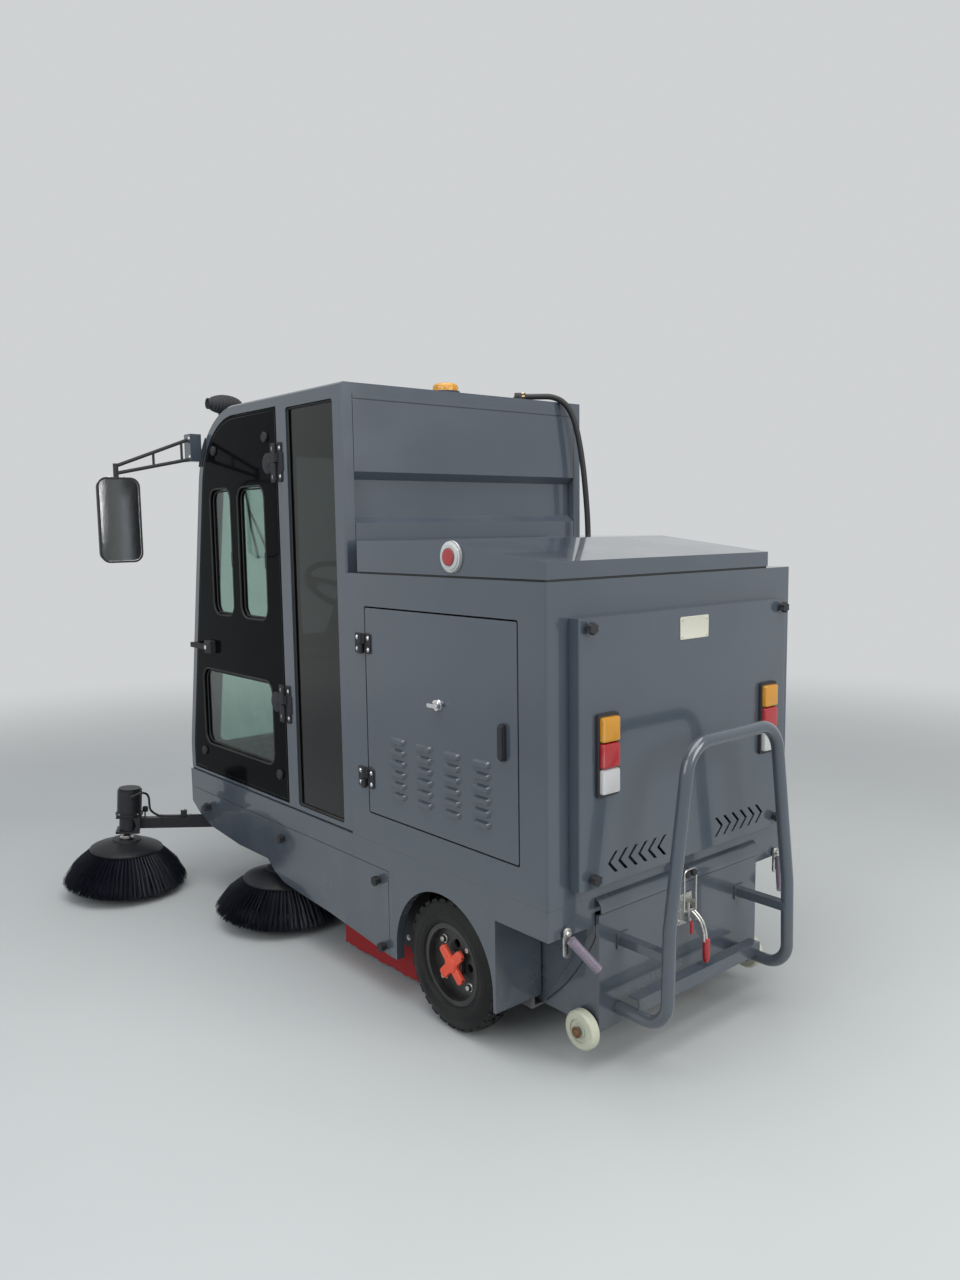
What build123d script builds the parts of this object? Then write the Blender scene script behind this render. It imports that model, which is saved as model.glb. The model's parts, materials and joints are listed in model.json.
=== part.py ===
from build123d import *
import math
import os

# Compact three-wheel road sweeper with a closed cab, four side brushes, a roller
# brush and a dust bin on two rollers that pulls out at the back.
# The model is drawn with +X to the vehicle's left, -Y to its front and +Z up, with
# the ground at Z = 0 and the back of the upper body at Y = 0. Each piece is then
# moved so that the origin is under the middle of the whole vehicle. Millimetres.

# Driving sizes
BODY_WIDTH = 1118
BODY_LENGTH = 942
BODY_TOP_Z = 1390
CAB_WIDTH = 1108
CAB_LENGTH = 1275
CAB_TOP_Z = 2006
SEAM_Z = 508
TYRE_R = 207.5
BRUSH_R = 254
HOUSING_HALF = 388
BIN_HALF_WIDTH = 370

BODY_HALF = BODY_WIDTH / 2
CAB_HALF = CAB_WIDTH / 2
CAB_REAR_Y = -BODY_LENGTH
CAB_FRONT_Y = CAB_REAR_Y - CAB_LENGTH

# Clearances
GAP = 5
PANEL_GAP = 2
HINGE_GAP = 1
BEARING_CLEARANCE = 0.5

# Upper body
BODY_WALL = 25
BODY_CORNER_R = 8
LID_OPENING_MARGIN = 32
HATCH_OPENING_MARGIN = 40

# Cab
CAB_FOOT_Z = SEAM_Z + 123
CAB_LEAN_DEG = 9.7
CAB_FOOT_R = 300
CAB_CORNER_R = 335
CAB_PILLAR = 40
CAB_PILLAR_EDGE = 6
CAB_SKIN = 35
CAB_ROOF_JOINT_Y = CAB_FRONT_Y + 517
CAB_INNER_X = CAB_HALF - CAB_PILLAR
CAB_SIDE_X = (CAB_INNER_X, CAB_HALF)
REAR_POST_WIDTH = 58
MID_POST_Y = (CAB_REAR_Y - 431, CAB_REAR_Y - 363)
WINDOW_CORNER_R = 45
GLASS = 5
GLASS_INSET = 12
QUARTER_CORNER_R = 12
QUARTER_Y = (MID_POST_Y[1], CAB_REAR_Y - REAR_POST_WIDTH)
QUARTER_Z = (SEAM_Z + 22, CAB_TOP_Z - 48)
WINDOW_CUT_DEPTH = 360
FRONT_WINDOWS = (
    # low Z, high Z, half width
    (SEAM_Z + 92, SEAM_Z + 452, CAB_HALF - 124),
    (SEAM_Z + 542, CAB_TOP_Z - 156, CAB_HALF - 99),
)

# Rear wall of the cab with its sloped cross groove
REAR_PANEL_DEPTH = 40
GROOVE_DEPTH = 30
GROOVE_SILL = 24
GROOVE_Z = (BODY_TOP_Z + 160, BODY_TOP_Z + 305, BODY_TOP_Z + 330)
REAR_PANEL_SEAM = (CAB_TOP_Z - 50, 4)

# Cab doors
DOOR_REVEAL = 37
DOOR_SILL_Z = SEAM_Z + 15
DOOR_THICKNESS = 30
DOOR_REAR_Y = MID_POST_Y[0] - GAP
DOOR_WINDOWS = (
    # distances ahead of the door's rear edge, low Z, high Z
    ((377, 547), SEAM_Z + 692, SEAM_Z + 1184),
    ((107, 311), SEAM_Z + 692, SEAM_Z + 1184),
    ((97, 677), SEAM_Z + 142, SEAM_Z + 455),
)
GLASS_CAPS = (
    # distance ahead of the door's rear edge, Z
    (496, SEAM_Z + 1337),
    (79, SEAM_Z + 1359),
    (696, SEAM_Z + 102),
    (55, SEAM_Z + 114),
)
GLASS_CAP_R = 19
GLASS_CAP_HEIGHT = 9
DOOR_HANDLE_Y = (DOOR_REAR_Y - 732, DOOR_REAR_Y - 560)
DOOR_HANDLE_Z = SEAM_Z + 552
DOOR_HANDLE_SIZE = (30, 26)
DOOR_HANDLE_GRIP = (15, 10)

# Hinges of the cab doors and the service doors
HINGE_BARREL_R = 8
HINGE_STANDOFF = 12
HINGE_HEIGHT = 64
HINGE_LEAF = 4
HINGE_LEAF_LENGTH = 43
HINGE_WEB = 18
CAB_HINGE_Z = (SEAM_Z + 389, SEAM_Z + 1264)
DOOR_HINGE = (CAB_HALF + HINGE_STANDOFF, MID_POST_Y[0])

# Service doors in the upper body
SERVICE_DOOR_Y = (CAB_REAR_Y + 104, -108)
SERVICE_DOOR_Z = (SEAM_Z + 97, BODY_TOP_Z - 104)
SERVICE_CORNER_R = 8
SERVICE_HINGE = (BODY_HALF + HINGE_STANDOFF, SERVICE_DOOR_Y[0] - 8)
SERVICE_LEAF_START = 8 + GAP
SERVICE_HINGE_Z = (SERVICE_DOOR_Z[0] + 117, SERVICE_DOOR_Z[1] - 121)
LOUVRE_COLUMNS = 4
LOUVRE_ROWS = 6
LOUVRE_FIRST = (SERVICE_DOOR_Y[1] - 158, SERVICE_DOOR_Z[0] + 263)
LOUVRE_PITCH = (134, 35)
LOUVRE_LENGTH = 80
LOUVRE_HEIGHT = 24
LOUVRE_DEPTH = 9
LOUVRE_MOUTH = 7
LOUVRE_TAPER_DEG = 32
LOCK_CENTRE = (SERVICE_DOOR_Y[1] - 352, SERVICE_DOOR_Z[0] + 407)
LOCK_R = 17
LOCK_BAR = (52, 13, 24)
PULL_Y = SERVICE_DOOR_Y[1] - 62
PULL_Z = (SERVICE_DOOR_Z[0] + 288, SERVICE_DOOR_Z[0] + 393)
PULL_SIZE = (22, 16)

# Lid over the battery compartment
LID_X = (-BODY_HALF + 127, BODY_HALF)
LID_FRONT_Y = CAB_REAR_Y + 72
LID_BOTTOM_Z = BODY_TOP_Z + 6
LID_TOP_Z = BODY_TOP_Z + 105
LID_BREAK_Y = LID_FRONT_Y + 440
LID_REAR_Z = LID_TOP_Z - 53
LID_WALL = 18
LID_HINGE_Y = LID_FRONT_Y - 14
LID_HINGE_Z = LID_TOP_Z - 16
LID_HINGE_X = (LID_X[0] + 182, LID_X[1] - 179)
LID_KNUCKLE = 28
LID_LUG = 16
LID_LAMP = (LID_BREAK_Y + 48, LID_BOTTOM_Z + 54)
LID_LAMP_RINGS = (
    # radius, height over the lid's side
    (46, 8),
    (38, 12),
    (25, 17),
)
SEAL_WIDTH = 12
SEAL_INSET = 3

# Rear cover with its arrow slots, and the lamps on it
HATCH_HALF_WIDTH = BODY_HALF - 81
HATCH_Z = (SEAM_Z + 44, BODY_TOP_Z - 98)
HATCH_DEPTH = 40
HATCH_SKIN = 6
HATCH_CORNER_R = 5
PLATE_X = (-68, 63)
PLATE_Z = (HATCH_Z[1] - 89, HATCH_Z[1] - 24)
PLATE_THICKNESS = 2
CHEVRON_COUNT = 6
CHEVRON_TIP_X = 368
CHEVRON_PITCH = 42
CHEVRON_REACH = 30
CHEVRON_HALF_HEIGHT = 30
CHEVRON_Z = HATCH_Z[0] + 57
CHEVRON_SLOT = 12.5
TAIL_LAMP_X = (334, 417)
TAIL_LAMP_Z = (HATCH_Z[0] + 252, HATCH_Z[0] + 480)
TAIL_LAMP_BASE = 10
TAIL_LENS_HEIGHT = 13
TAIL_LENS_EDGE = 5
TAIL_LENS_COUNT = 3
TAIL_LENS_MARGIN = 7
TAIL_LENS_GAP = 3

# Lower skirt and the removable panels under it
SKIRT_THICKNESS = 30
ACCESS_PANEL_THICKNESS = 16
SKIRT_BAND_Z = 430
SKIRT_REAR_BAND_Z = SKIRT_BAND_Z - 7
SKIRT_REAR_Y = -216
SKIRT_FOOT_Z = 143
ARCH_CENTRE = (-464, 193)
ARCH_R = TYRE_R + 29
SKIRT_SPLIT_Y = ARCH_CENTRE[0] - ARCH_R - 38
MUDGUARD_INNER_X = BODY_HALF - 134
MUDGUARD_THICKNESS = 14
ACCESS_PANEL_EDGE = (
    # distance behind the cab's front, Z, along the lower edge from front to back
    (0, 364),
    (67, 324),
    (180, 287),
    (433, 266),
    (667, 268),
    (719, 230),
    (787, 206),
    (904, 195),
    (1111, 183),
    (1361, 157),
)
APRON_FOOT_Z = ACCESS_PANEL_EDGE[0][1]

# Head lamps in the front panel
HEADLAMP_X = 380
HEADLAMP_Z = (APRON_FOOT_Z + SEAM_Z) / 2
HEADLAMP_RINGS = (
    # radius, height ahead of the panel
    (58, 12),
    (49, 18),
    (30, 22),
)

# Rear valance with its rolled lip over the bin
LIP_HALF_WIDTH = BIN_HALF_WIDTH + 6
LIP_Z = (SEAM_Z - 46, SEAM_Z - 3)
LIP_REACH = 24
LIP_SHEET = 4
HOOK_X = 16
HOOK_R = 7
HOOK_LENGTH = 20
HOOK_Z = LIP_Z[1] - 12

# Chassis
RAIL_WIDTH = 58
RAIL_X = (BODY_HALF - SKIRT_THICKNESS - HINGE_GAP - RAIL_WIDTH, BODY_HALF - SKIRT_THICKNESS - HINGE_GAP)
RAIL_Z = (SEAM_Z - 60, SEAM_Z)
TUNNEL_RAIL_X = (HOUSING_HALF + 2, HOUSING_HALF + 40)
CROSS_TUBE = 44
CROSS_Z = (SEAM_Z - 40, SEAM_Z)
FLOOR_SHEET = 14

# Wheels with ten-inch rims
TYRE_HALF = 52.5
RIM_FLANGE_R = 127
RIM_BEAD_R = 119
RIM_HALF = TYRE_HALF * 0.72
TYRE_SECTION = (
    # share of the half width, distance inside the tread
    (0.64, TYRE_R - RIM_BEAD_R),
    (0.64, TYRE_R - RIM_FLANGE_R - BEARING_CLEARANCE),
    (0.76, TYRE_R - RIM_FLANGE_R - BEARING_CLEARANCE),
    (1.0, 50),
    (0.93, 24),
    (0.78, 8),
    (0.5, 0),
)
TREAD_GROOVES = (
    # centre as a share of the half width, half width, depth
    (-0.3, 4, 7),
    (0.3, 4, 7),
)
RIM_DISC = 8
RIM_DISC_X = 4
RIM_HOLES = 4
RIM_HOLE_R = 14
RIM_HOLE_RING_R = 60
HUB_R = 42
HUB_X = (-18, 30)
HUB_SPINDLE_X = 22
WHEEL_NUTS = 4
WHEEL_NUT_R = 11
WHEEL_NUT_RING_R = 84
WHEEL_NUT_HEIGHT = 12
CAP_ARMS = 4
CAP_ARM = (64, 28, 10)
SPINDLE_R = 17
REAR_WHEEL_X = BODY_HALF - 58
REAR_AXLE_Y = ARCH_CENTRE[0] + 19
AXLE_PLATE_X = (REAR_WHEEL_X - 93, REAR_WHEEL_X - 79)
AXLE_PLATE_HALF = 75
BACKPLATE_R = 80
BACKPLATE_WIDTH = 14
SPINDLE_END = 10
FRONT_AXLE_Y = CAB_FRONT_Y + 397
TRAIL = 40
HEAD_Y = FRONT_AXLE_Y - TRAIL
FORK_LEG_X = (TYRE_HALF + 7.5, TYRE_HALF + 21.5)
FORK_LEG_HALF = 32
FORK_CROWN_Z = (TYRE_R * 2 + 9, TYRE_R * 2 + 25)
FORK_CROWN_REACH = 45
FORK_NUT_R = 24
FORK_NUT_WIDTH = 12
KINGPIN_R = 26
HEAD_R = 48
HEAD_PLATE = (90, 60, 120)

# Cross tubes of the chassis, by their front faces
CROSS_TUBES_Y = (
    CAB_FRONT_Y + SKIRT_THICKNESS,
    HEAD_Y - HEAD_PLATE[1],
    CAB_REAR_Y - 538,
    CAB_REAR_Y - 418,
    CAB_REAR_Y + 42,
    ARCH_CENTRE[0] - 36,
    ARCH_CENTRE[0] + 164,
    -BODY_WALL - CROSS_TUBE,
)

# Side brushes: disc of bristles on a hub under a motor on a lifting arm
BRUSH_REST_LIFT_DEG = 4
BRUSH_WIDEST_RISE = 39
BRUSH_RIM_DROP = 14
BRUSH_INNER_R = BRUSH_R - 62
BRUSH_HUB_R = BRUSH_R - 105
BRUSH_HUB_Z = 156
BRUSH_HUB_SHEET = 18
BRUSH_DOME = (BRUSH_HUB_R - 25, BRUSH_HUB_Z + 14)
BRUSH_TOP_Z = BRUSH_HUB_Z + 32
BRUSH_BOSS_R = 60
BRUSH_BOSS_Z = BRUSH_TOP_Z + 6
BRUSH_SHAFT_R = 14
BRUSH_SHAFT_TOP_Z = 218
MOTOR_R = 50
MOTOR_CAP = (44, 8)
MOTOR_OFFSET = 8
MOTOR_FLANGE = (6, 5)
BRACKET_HALF = 42
BRACKET_SHEET = 10
BRACKET_Z = (BRUSH_SHAFT_TOP_Z + 6, 300)
ARM_HEIGHT = 44
ARM_DEPTH = 32
ARM_SPRING_LUG = (26, 30, 12)
PIVOT_R = 12
PIVOT_WALL = 8
PIVOT_LENGTH = 90
PIVOT_Z = 262
EAR_THICKNESS = 10
EAR_HALF = 28
SIDE_BRUSHES = (
    # name, centre x, centre y, pivot x, pivot y, motor height, bristle drop, all with the arm level
    ("front", BODY_HALF + 258, CAB_FRONT_Y - 97, BODY_HALF - 159, CAB_FRONT_Y + 107, 115, 168),
    ("mid", BODY_HALF - 81, CAB_FRONT_Y + 637, BODY_HALF - 259, CAB_FRONT_Y + 737, 76, 150),
)

# Roller brush and its housing
HOUSING_PLATE = 10
HOUSING_Y = (CAB_REAR_Y - 358, CAB_REAR_Y + 7)
HOUSING_FOOT_Z = 60
HOUSING_TOP_Z = CROSS_Z[0]
ROLLER_Y = (HOUSING_Y[0] + HOUSING_Y[1]) / 2
ROLLER_R = 145
ROLLER_Z = ROLLER_R + 6
ROLLER_HALF = HOUSING_HALF - HOUSING_PLATE - 16
ROLLER_CORE_R = 60
ROLLER_SHAFT_R = 18
ROLLER_ROWS = 12
ROLLER_ROW_HALF = 11
ROLLER_ROW_END = 8
ROLLER_ROW_ROOT = 6
RUBBER_X = (RAIL_X[0] + 35, RAIL_X[0] + 41)
RUBBER_Y = (HOUSING_Y[0] + 10, SKIRT_SPLIT_Y + 15)
RUBBER_FOOT_Z = 24

# Dust bin on its two rollers
BIN_FRONT_Y = HOUSING_Y[1] + 75
BIN_REAR_Y = 14
BIN_Z = (118, 450)
BIN_WALL = 12
BIN_FRONT_LIP_Z = 230
BIN_PLATE_OVERLAP = 5
BIN_CHEEK = 3
BIN_CHEEK_EDGE = (
    # Y, Z along the cheek's front edge from the top down
    (BIN_REAR_Y - 19, BIN_Z[1]),
    (BIN_REAR_Y - 19, BIN_Z[1] - 34),
    (BIN_REAR_Y - 232, BIN_Z[0]),
)
BIN_ROLLER_R = 57
BIN_ROLLER_WIDTH = 32
BIN_ROLLER_X = BIN_HALF_WIDTH + 26
BIN_ROLLER_Y = BIN_REAR_Y - 44
BIN_ROLLER_Z = 113
BIN_ROLLER_EDGE = 6
BIN_ROLLER_RECESS = (34, 22, 4)
BIN_STUB_R = 9
BIN_STUB_NUT = (13, 8)
BIN_BRACKET = (30, 20, 60)
BIN_GUIDE_FOOT = 22
BIN_GUIDE_WALL_X = (AXLE_PLATE_X[0] - 12, AXLE_PLATE_X[0])
BIN_GUIDE_Y = (BIN_FRONT_Y + 10, SKIRT_REAR_Y - 10)
BIN_GUIDE_Z = (BIN_Z[0] - 14, BIN_Z[0] - 6)
BIN_GUIDE_TOP_Z = BIN_Z[0] + 62

# Bin handle
HANDLE_TUBE_R = 19
HANDLE_Y = BIN_REAR_Y + 174
HANDLE_POINTS = (
    # x, y, z, bend radius, for the left half from the bin face to the top bend
    (BIN_HALF_WIDTH - 78, BIN_REAR_Y, 160, 0),
    (BIN_HALF_WIDTH - 78, HANDLE_Y, 160, 75),
    (BIN_HALF_WIDTH - 86, HANDLE_Y, 440, 150),
    (BIN_HALF_WIDTH - 165, HANDLE_Y, 942, 95),
)
STEP_BAR_Y = (BIN_REAR_Y + 36, BIN_REAR_Y + 76)
STEP_BAR_Z = (170, 210)
STEP_BAR_SHEET = 5
STRUT_X = HANDLE_POINTS[2][0] - 5
STRUT_Z = 360
STRUT_SIZE = (30, 26)
STRUT_TAB = (46, 5)

# Toggle latch on the bin
LATCH_BASE = (68, 8, 95)
LATCH_BASE_Z = 330
LATCH_BODY = (40, 30, 64)
LATCH_WIRE_R = 3
LATCH_WIRE_X = HOOK_X + HOOK_R + 5
LATCH_WIRE_Y = BIN_REAR_Y + 24
LATCH_PIVOT_Z = 378
LATCH_LOOP_TOP_Z = HOOK_Z + HOOK_R + 6
LATCH_ARM_R = 7
LATCH_ARM = (
    # x, distance behind the bin's face, z
    (-8, 40, 372),
    (-22, 62, 340),
    (-26, 66, 292),
)
LATCH_GRIP_R = 12
LATCH_GRIP_END_Z = 222
LATCH_TIP = (12, 40, 352, 312)
LATCH_TIP_R = 6

# Small levers under the corners of the valance
LEVER_X = 496
LEVER_Y = 4
LEVER_BOLT = (14, 14)
LEVER_PLATE = (24, 6, 84)
LEVER_PLATE_TOP_Z = SKIRT_REAR_BAND_Z + 28
LEVER_SLEEVE = (-58, 46, -86)
LEVER_SLEEVE_R = 13

# Driver's place
SEAT_Y = (CAB_REAR_Y - 558, CAB_REAR_Y - 118)
SEAT_HALF_WIDTH = 230
SEAT_Z = (SEAM_Z + 342, SEAM_Z + 457)
SEAT_BACK_Y = (CAB_REAR_Y - 168, CAB_REAR_Y - 68)
SEAT_BACK_TOP_Z = SEAT_Z[1] + 505
SEAT_EDGE_R = 30
PEDESTAL_INSET = 30
STEERING_CENTRE = (0, CAB_FRONT_Y + 417, SEAM_Z + 782)
STEERING_R = 185
STEERING_RIM_R = 13
STEERING_RIM_SIDES = 10
STEERING_TILT_DEG = 32
STEERING_SPOKES = (90, 210, 330)
SPOKE_SIZE = (26, 8)
STEERING_HUB = (38, 26)
SPINNER = (20, 34)
COLUMN_R = 26
COLUMN_TOP = 30
COLUMN_LENGTH = 420
CONSOLE_HALF_WIDTH = 170
CONSOLE_PROFILE = (
    # distance behind the cab's front, height over the floor
    (117, 0),
    (117, 470),
    (170, 502),
    (257, 440),
    (257, 0),
)
PEDAL_X = (235, 330)
PEDAL_SIZE = (62, 92, 8)
PEDAL_Y = CAB_FRONT_Y + 190
PEDAL_Z = SEAM_Z + FLOOR_SHEET + 70
PEDAL_TILT_DEG = 40
PEDAL_ARM_R = 7

# Battery pack
BATTERY_X = (20, 500)
BATTERY_Y = (LID_FRONT_Y + 80, -170)
BATTERY_HEIGHT = 260

# Mirrors
MIRROR_ROOT = (CAB_HALF + 46, CAB_FRONT_Y + 207, CAB_TOP_Z - 146)
MIRROR_BRACKET = (-30, 25, -50, 58)
MIRROR_BAND = (2, 30)
MIRROR_BAND_REACH = (70, -70, 62)
MIRROR_PLATE = 4
MIRROR_HEAD_X = (MIRROR_ROOT[0] + 176, MIRROR_ROOT[0] + 346)
MIRROR_HEAD_Y = (MIRROR_ROOT[1] - 115, MIRROR_ROOT[1] - 70)
MIRROR_HEAD_Z = (MIRROR_ROOT[2] - 448, MIRROR_ROOT[2] - 114)
MIRROR_CORNER_R = 38
MIRROR_RECESS = (7, 4)
MIRROR_TAPER_DEG = 14
MIRROR_BAR_R = 7
MIRROR_POST_R = 10
MIRROR_LINK_R = 5
MIRROR_BAR_REACH = 40
MIRROR_TIP_Z = (MIRROR_HEAD_Z[1] + 16, MIRROR_HEAD_Z[1] + 44)
MIRROR_LINKS = (0.12, 0.5)

# Beacon, mist fan and hose
BEACON_CENTRE = (70, CAB_REAR_Y - 68)
BEACON_RINGS = (
    # radius, height over the roof
    (52, 10),
    (46, 28),
    (40, 36),
    (26, 40),
)
FAN_CENTRE = (CAB_HALF - 99, CAB_FRONT_Y + 242, CAB_TOP_Z - 2)
FAN_R = 72
FAN_RINGS = 7
FAN_RING_STEP = 5
FAN_BARREL_LENGTH = 66
FAN_DOME_LENGTH = 80
FAN_FOOT = (25, 40, 160)
HOSE_R = 11
HOSE_BEND_SHARE = 0.45
HOSE_POINTS = (
    (-322, CAB_REAR_Y - 70, CAB_TOP_Z + 20),
    (-366, CAB_REAR_Y - 40, CAB_TOP_Z + 21),
    (-410, CAB_REAR_Y - 8, CAB_TOP_Z + 21),
    (-446, CAB_REAR_Y + 22, CAB_TOP_Z - 3),
    (-474, CAB_REAR_Y + 39, CAB_TOP_Z - 56),
    (-497, CAB_REAR_Y + 46, CAB_TOP_Z - 141),
    (-516, CAB_REAR_Y + 49, CAB_TOP_Z - 241),
    (-529, CAB_REAR_Y + 51, CAB_TOP_Z - 346),
    (-536, CAB_REAR_Y + 54, CAB_TOP_Z - 446),
    (-537, CAB_REAR_Y + 56, CAB_TOP_Z - 526),
    (-537, CAB_REAR_Y + 56, BODY_TOP_Z + 24),
)
GLAND_WALL = 5
GLAND_LENGTH = 40
GLAND_FOOT = (24, 16)

# Star knobs on the lower panels and on the rear cover
KNOB_R = 17
KNOB_VALLEY_R = 13
KNOB_LOBES = 6
KNOB_LENGTH = 24
SIDE_KNOBS = (
    # Y, Z on both sides of the vehicle
    (CAB_FRONT_Y + 170, SKIRT_BAND_Z - 58),
    (CAB_FRONT_Y + 799, SKIRT_BAND_Z - 49),
    (SKIRT_SPLIT_Y - 52, SKIRT_BAND_Z - 42),
    (SKIRT_SPLIT_Y - 27, SKIRT_FOOT_Z + 27),
)
HATCH_KNOBS = (
    # X, Z, mirrored to the right
    (HATCH_HALF_WIDTH - 33, HATCH_Z[1] - 26),
    (HATCH_HALF_WIDTH - 48, HATCH_Z[0] + 30),
)



def raised_brush_reach(centre_x, centre_y, pivot_x, pivot_y, bristle_drop):
    """Foremost Y of a brush whose arm is raised as it parks."""
    run = math.hypot(centre_x - pivot_x, centre_y - pivot_y)
    ahead = (centre_y - pivot_y) / run
    lift = math.radians(BRUSH_REST_LIFT_DEG)
    below = PIVOT_Z - (BRUSH_HUB_Z - bristle_drop + BRUSH_WIDEST_RISE)
    middle_y = pivot_y + ahead * (run * math.cos(lift) + below * math.sin(lift))
    return middle_y - BRUSH_R * math.sqrt(1 - (ahead * math.sin(lift)) ** 2)


FRONT_REACH_Y = raised_brush_reach(*SIDE_BRUSHES[0][1:5], SIDE_BRUSHES[0][6])
REAR_REACH_Y = HANDLE_Y + HANDLE_TUBE_R
ORIGIN_Y = (FRONT_REACH_Y + REAR_REACH_Y) / 2


def block(x_range, y_range, z_range):
    """Box between two corners."""
    spans = [(min(r), max(r)) for r in (x_range, y_range, z_range)]
    size = [high - low for low, high in spans]
    centre = [(high + low) / 2 for low, high in spans]
    return Pos(*centre) * Box(*size)


def rod(start, end, radius):
    """Round bar from one point to another."""
    start, end = Vector(*start), Vector(*end)
    plane = Plane(origin=start, z_dir=end - start)
    return extrude(plane * Circle(radius), amount=(end - start).length)


def disc_x(x_range, y, z, radius):
    """Disc or bar lying along X."""
    return rod((min(x_range), y, z), (max(x_range), y, z), radius)


def disc_z(x, y, z_range, radius):
    """Disc or bar standing along Z."""
    return rod((x, y, min(z_range)), (x, y, max(z_range)), radius)


def side_solid(face, x_range):
    """Solid from a face drawn in the YZ plane."""
    low, high = min(x_range), max(x_range)
    return extrude(Plane.YZ.offset(low) * face, amount=high - low)


def closed_face(points):
    """Face inside a closed line through points."""
    return make_face(Polyline(*points, close=True))


def rounded_window(first, second, radius=WINDOW_CORNER_R):
    """Rectangle with round corners between two ranges."""
    centre = (sum(first) / 2, sum(second) / 2)
    size = (max(first) - min(first), max(second) - min(second))
    return Pos(*centre) * RectangleRounded(*size, radius)


def stepped_rings(plane, rings):
    """Coaxial discs that rise from a plane, from rows of radius and height."""
    shape = None
    for radius, height in rings:
        disc = extrude(plane * Circle(radius), amount=height)
        shape = disc if shape is None else shape + disc
    return shape


def both_sides(shape):
    """The shape and its mirror image across the vehicle's middle."""
    return shape, mirror(shape, about=Plane.YZ)


def cab_outline(inset, rear_y, bottom_z):
    """Side outline of the cab, moved inwards by inset at the front and the top."""
    lean = math.radians(CAB_LEAN_DEG)
    front_y = CAB_FRONT_Y + inset
    top_z = CAB_TOP_Z - inset
    foot_z = CAB_FOOT_Z - inset * math.tan(lean / 2)
    crown_y = front_y + (top_z - foot_z) * math.tan(lean)
    points = (
        (rear_y, bottom_z),
        (front_y, bottom_z),
        (front_y, foot_z),
        (crown_y, top_z),
        (rear_y, top_z),
    )
    radii = [0, 0, CAB_FOOT_R, CAB_CORNER_R - inset, 0]
    return make_face(FilletPolyline(*points, radius=radii, close=True))


def cab_side():
    """Left side frame of the cab, with its door opening and quarter window."""
    frame = side_solid(cab_outline(0, CAB_REAR_Y, SEAM_Z), CAB_SIDE_X)
    doorway = side_solid(cab_outline(DOOR_REVEAL, MID_POST_Y[0], DOOR_SILL_Z), CAB_SIDE_X)
    quarter = side_solid(rounded_window(QUARTER_Y, QUARTER_Z, QUARTER_CORNER_R), CAB_SIDE_X)
    frame = frame - doorway - quarter
    outer_face = frame.faces().sort_by(Axis.X)[-1]
    return chamfer(outer_face.outer_wire().edges(), CAB_PILLAR_EDGE)


def cab_band(outer, inner, half_width):
    """Sheet that follows the cab's front and roof between two insets."""
    face = cab_outline(outer, CAB_REAR_Y, SEAM_Z) - cab_outline(inner, CAB_REAR_Y + 1, SEAM_Z - 1)
    return side_solid(face, (-half_width, half_width))


def front_window_cutters():
    """Blocks that cut the two front windows."""
    plane = Plane(origin=(0, CAB_FRONT_Y - 1, 0), x_dir=(1, 0, 0), z_dir=(0, -1, 0))
    return [
        extrude(plane * rounded_window((-half_width, half_width), (low_z, high_z)), amount=-WINDOW_CUT_DEPTH)
        for low_z, high_z, half_width in FRONT_WINDOWS
    ]


def cab_front():
    """Front wall of the cab with its two windows cut."""
    wall = cab_band(0, CAB_SKIN, CAB_INNER_X)
    wall &= block((-CAB_INNER_X, CAB_INNER_X), (CAB_FRONT_Y, CAB_ROOF_JOINT_Y), (SEAM_Z, CAB_TOP_Z))
    for cutter in front_window_cutters():
        wall -= cutter
    return wall


def cab_roof():
    """Roof panel between the side frames."""
    return block(
        (-CAB_INNER_X, CAB_INNER_X),
        (CAB_ROOF_JOINT_Y, CAB_REAR_Y),
        (CAB_TOP_Z - CAB_SKIN, CAB_TOP_Z),
    )


def cab_glazing():
    """Front panes and the two quarter panes."""
    sheet = cab_band(GLASS_INSET, GLASS_INSET + GLASS, CAB_INNER_X)
    panes = [sheet & cutter for cutter in front_window_cutters()]
    quarter = rounded_window(QUARTER_Y, QUARTER_Z, QUARTER_CORNER_R)
    pane_x = (CAB_HALF - GLASS_INSET - GLASS, CAB_HALF - GLASS_INSET)
    panes.extend(both_sides(side_solid(quarter, pane_x)))
    return Compound(children=[solid for pane in panes for solid in pane.solids()])


def cab_rear_panel():
    """Rear wall of the cab with its sloped cross groove."""
    wall = block(
        (-CAB_INNER_X + PANEL_GAP, CAB_INNER_X - PANEL_GAP),
        (CAB_REAR_Y - REAR_PANEL_DEPTH, CAB_REAR_Y),
        (SEAM_Z, CAB_TOP_Z - CAB_SKIN),
    )
    low_z, bend_z, high_z = GROOVE_Z
    seam_z, seam_depth = REAR_PANEL_SEAM
    wall -= block((-CAB_INNER_X, CAB_INNER_X), (CAB_REAR_Y - seam_depth, CAB_REAR_Y), (seam_z - seam_depth, seam_z))
    groove = closed_face((
        (CAB_REAR_Y, low_z),
        (CAB_REAR_Y - GROOVE_DEPTH, low_z + GROOVE_SILL),
        (CAB_REAR_Y - GROOVE_DEPTH, bend_z),
        (CAB_REAR_Y, high_z),
    ))
    return wall - side_solid(groove, (-CAB_INNER_X, CAB_INNER_X))


def cab_door():
    """Left cab door, a black panel with its windows cut and its hinge halves."""
    door_x = (CAB_HALF - DOOR_THICKNESS, CAB_HALF)
    door = side_solid(cab_outline(DOOR_REVEAL + GAP, DOOR_REAR_Y, DOOR_SILL_Z + GAP), door_x)
    for window in door_window_faces():
        door -= side_solid(window, door_x)
    for z in CAB_HINGE_Z:
        door += hinge_half(DOOR_HINGE, CAB_HALF, z, (-HINGE_LEAF_LENGTH, -GAP), barrel=-1)
    return door


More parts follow.
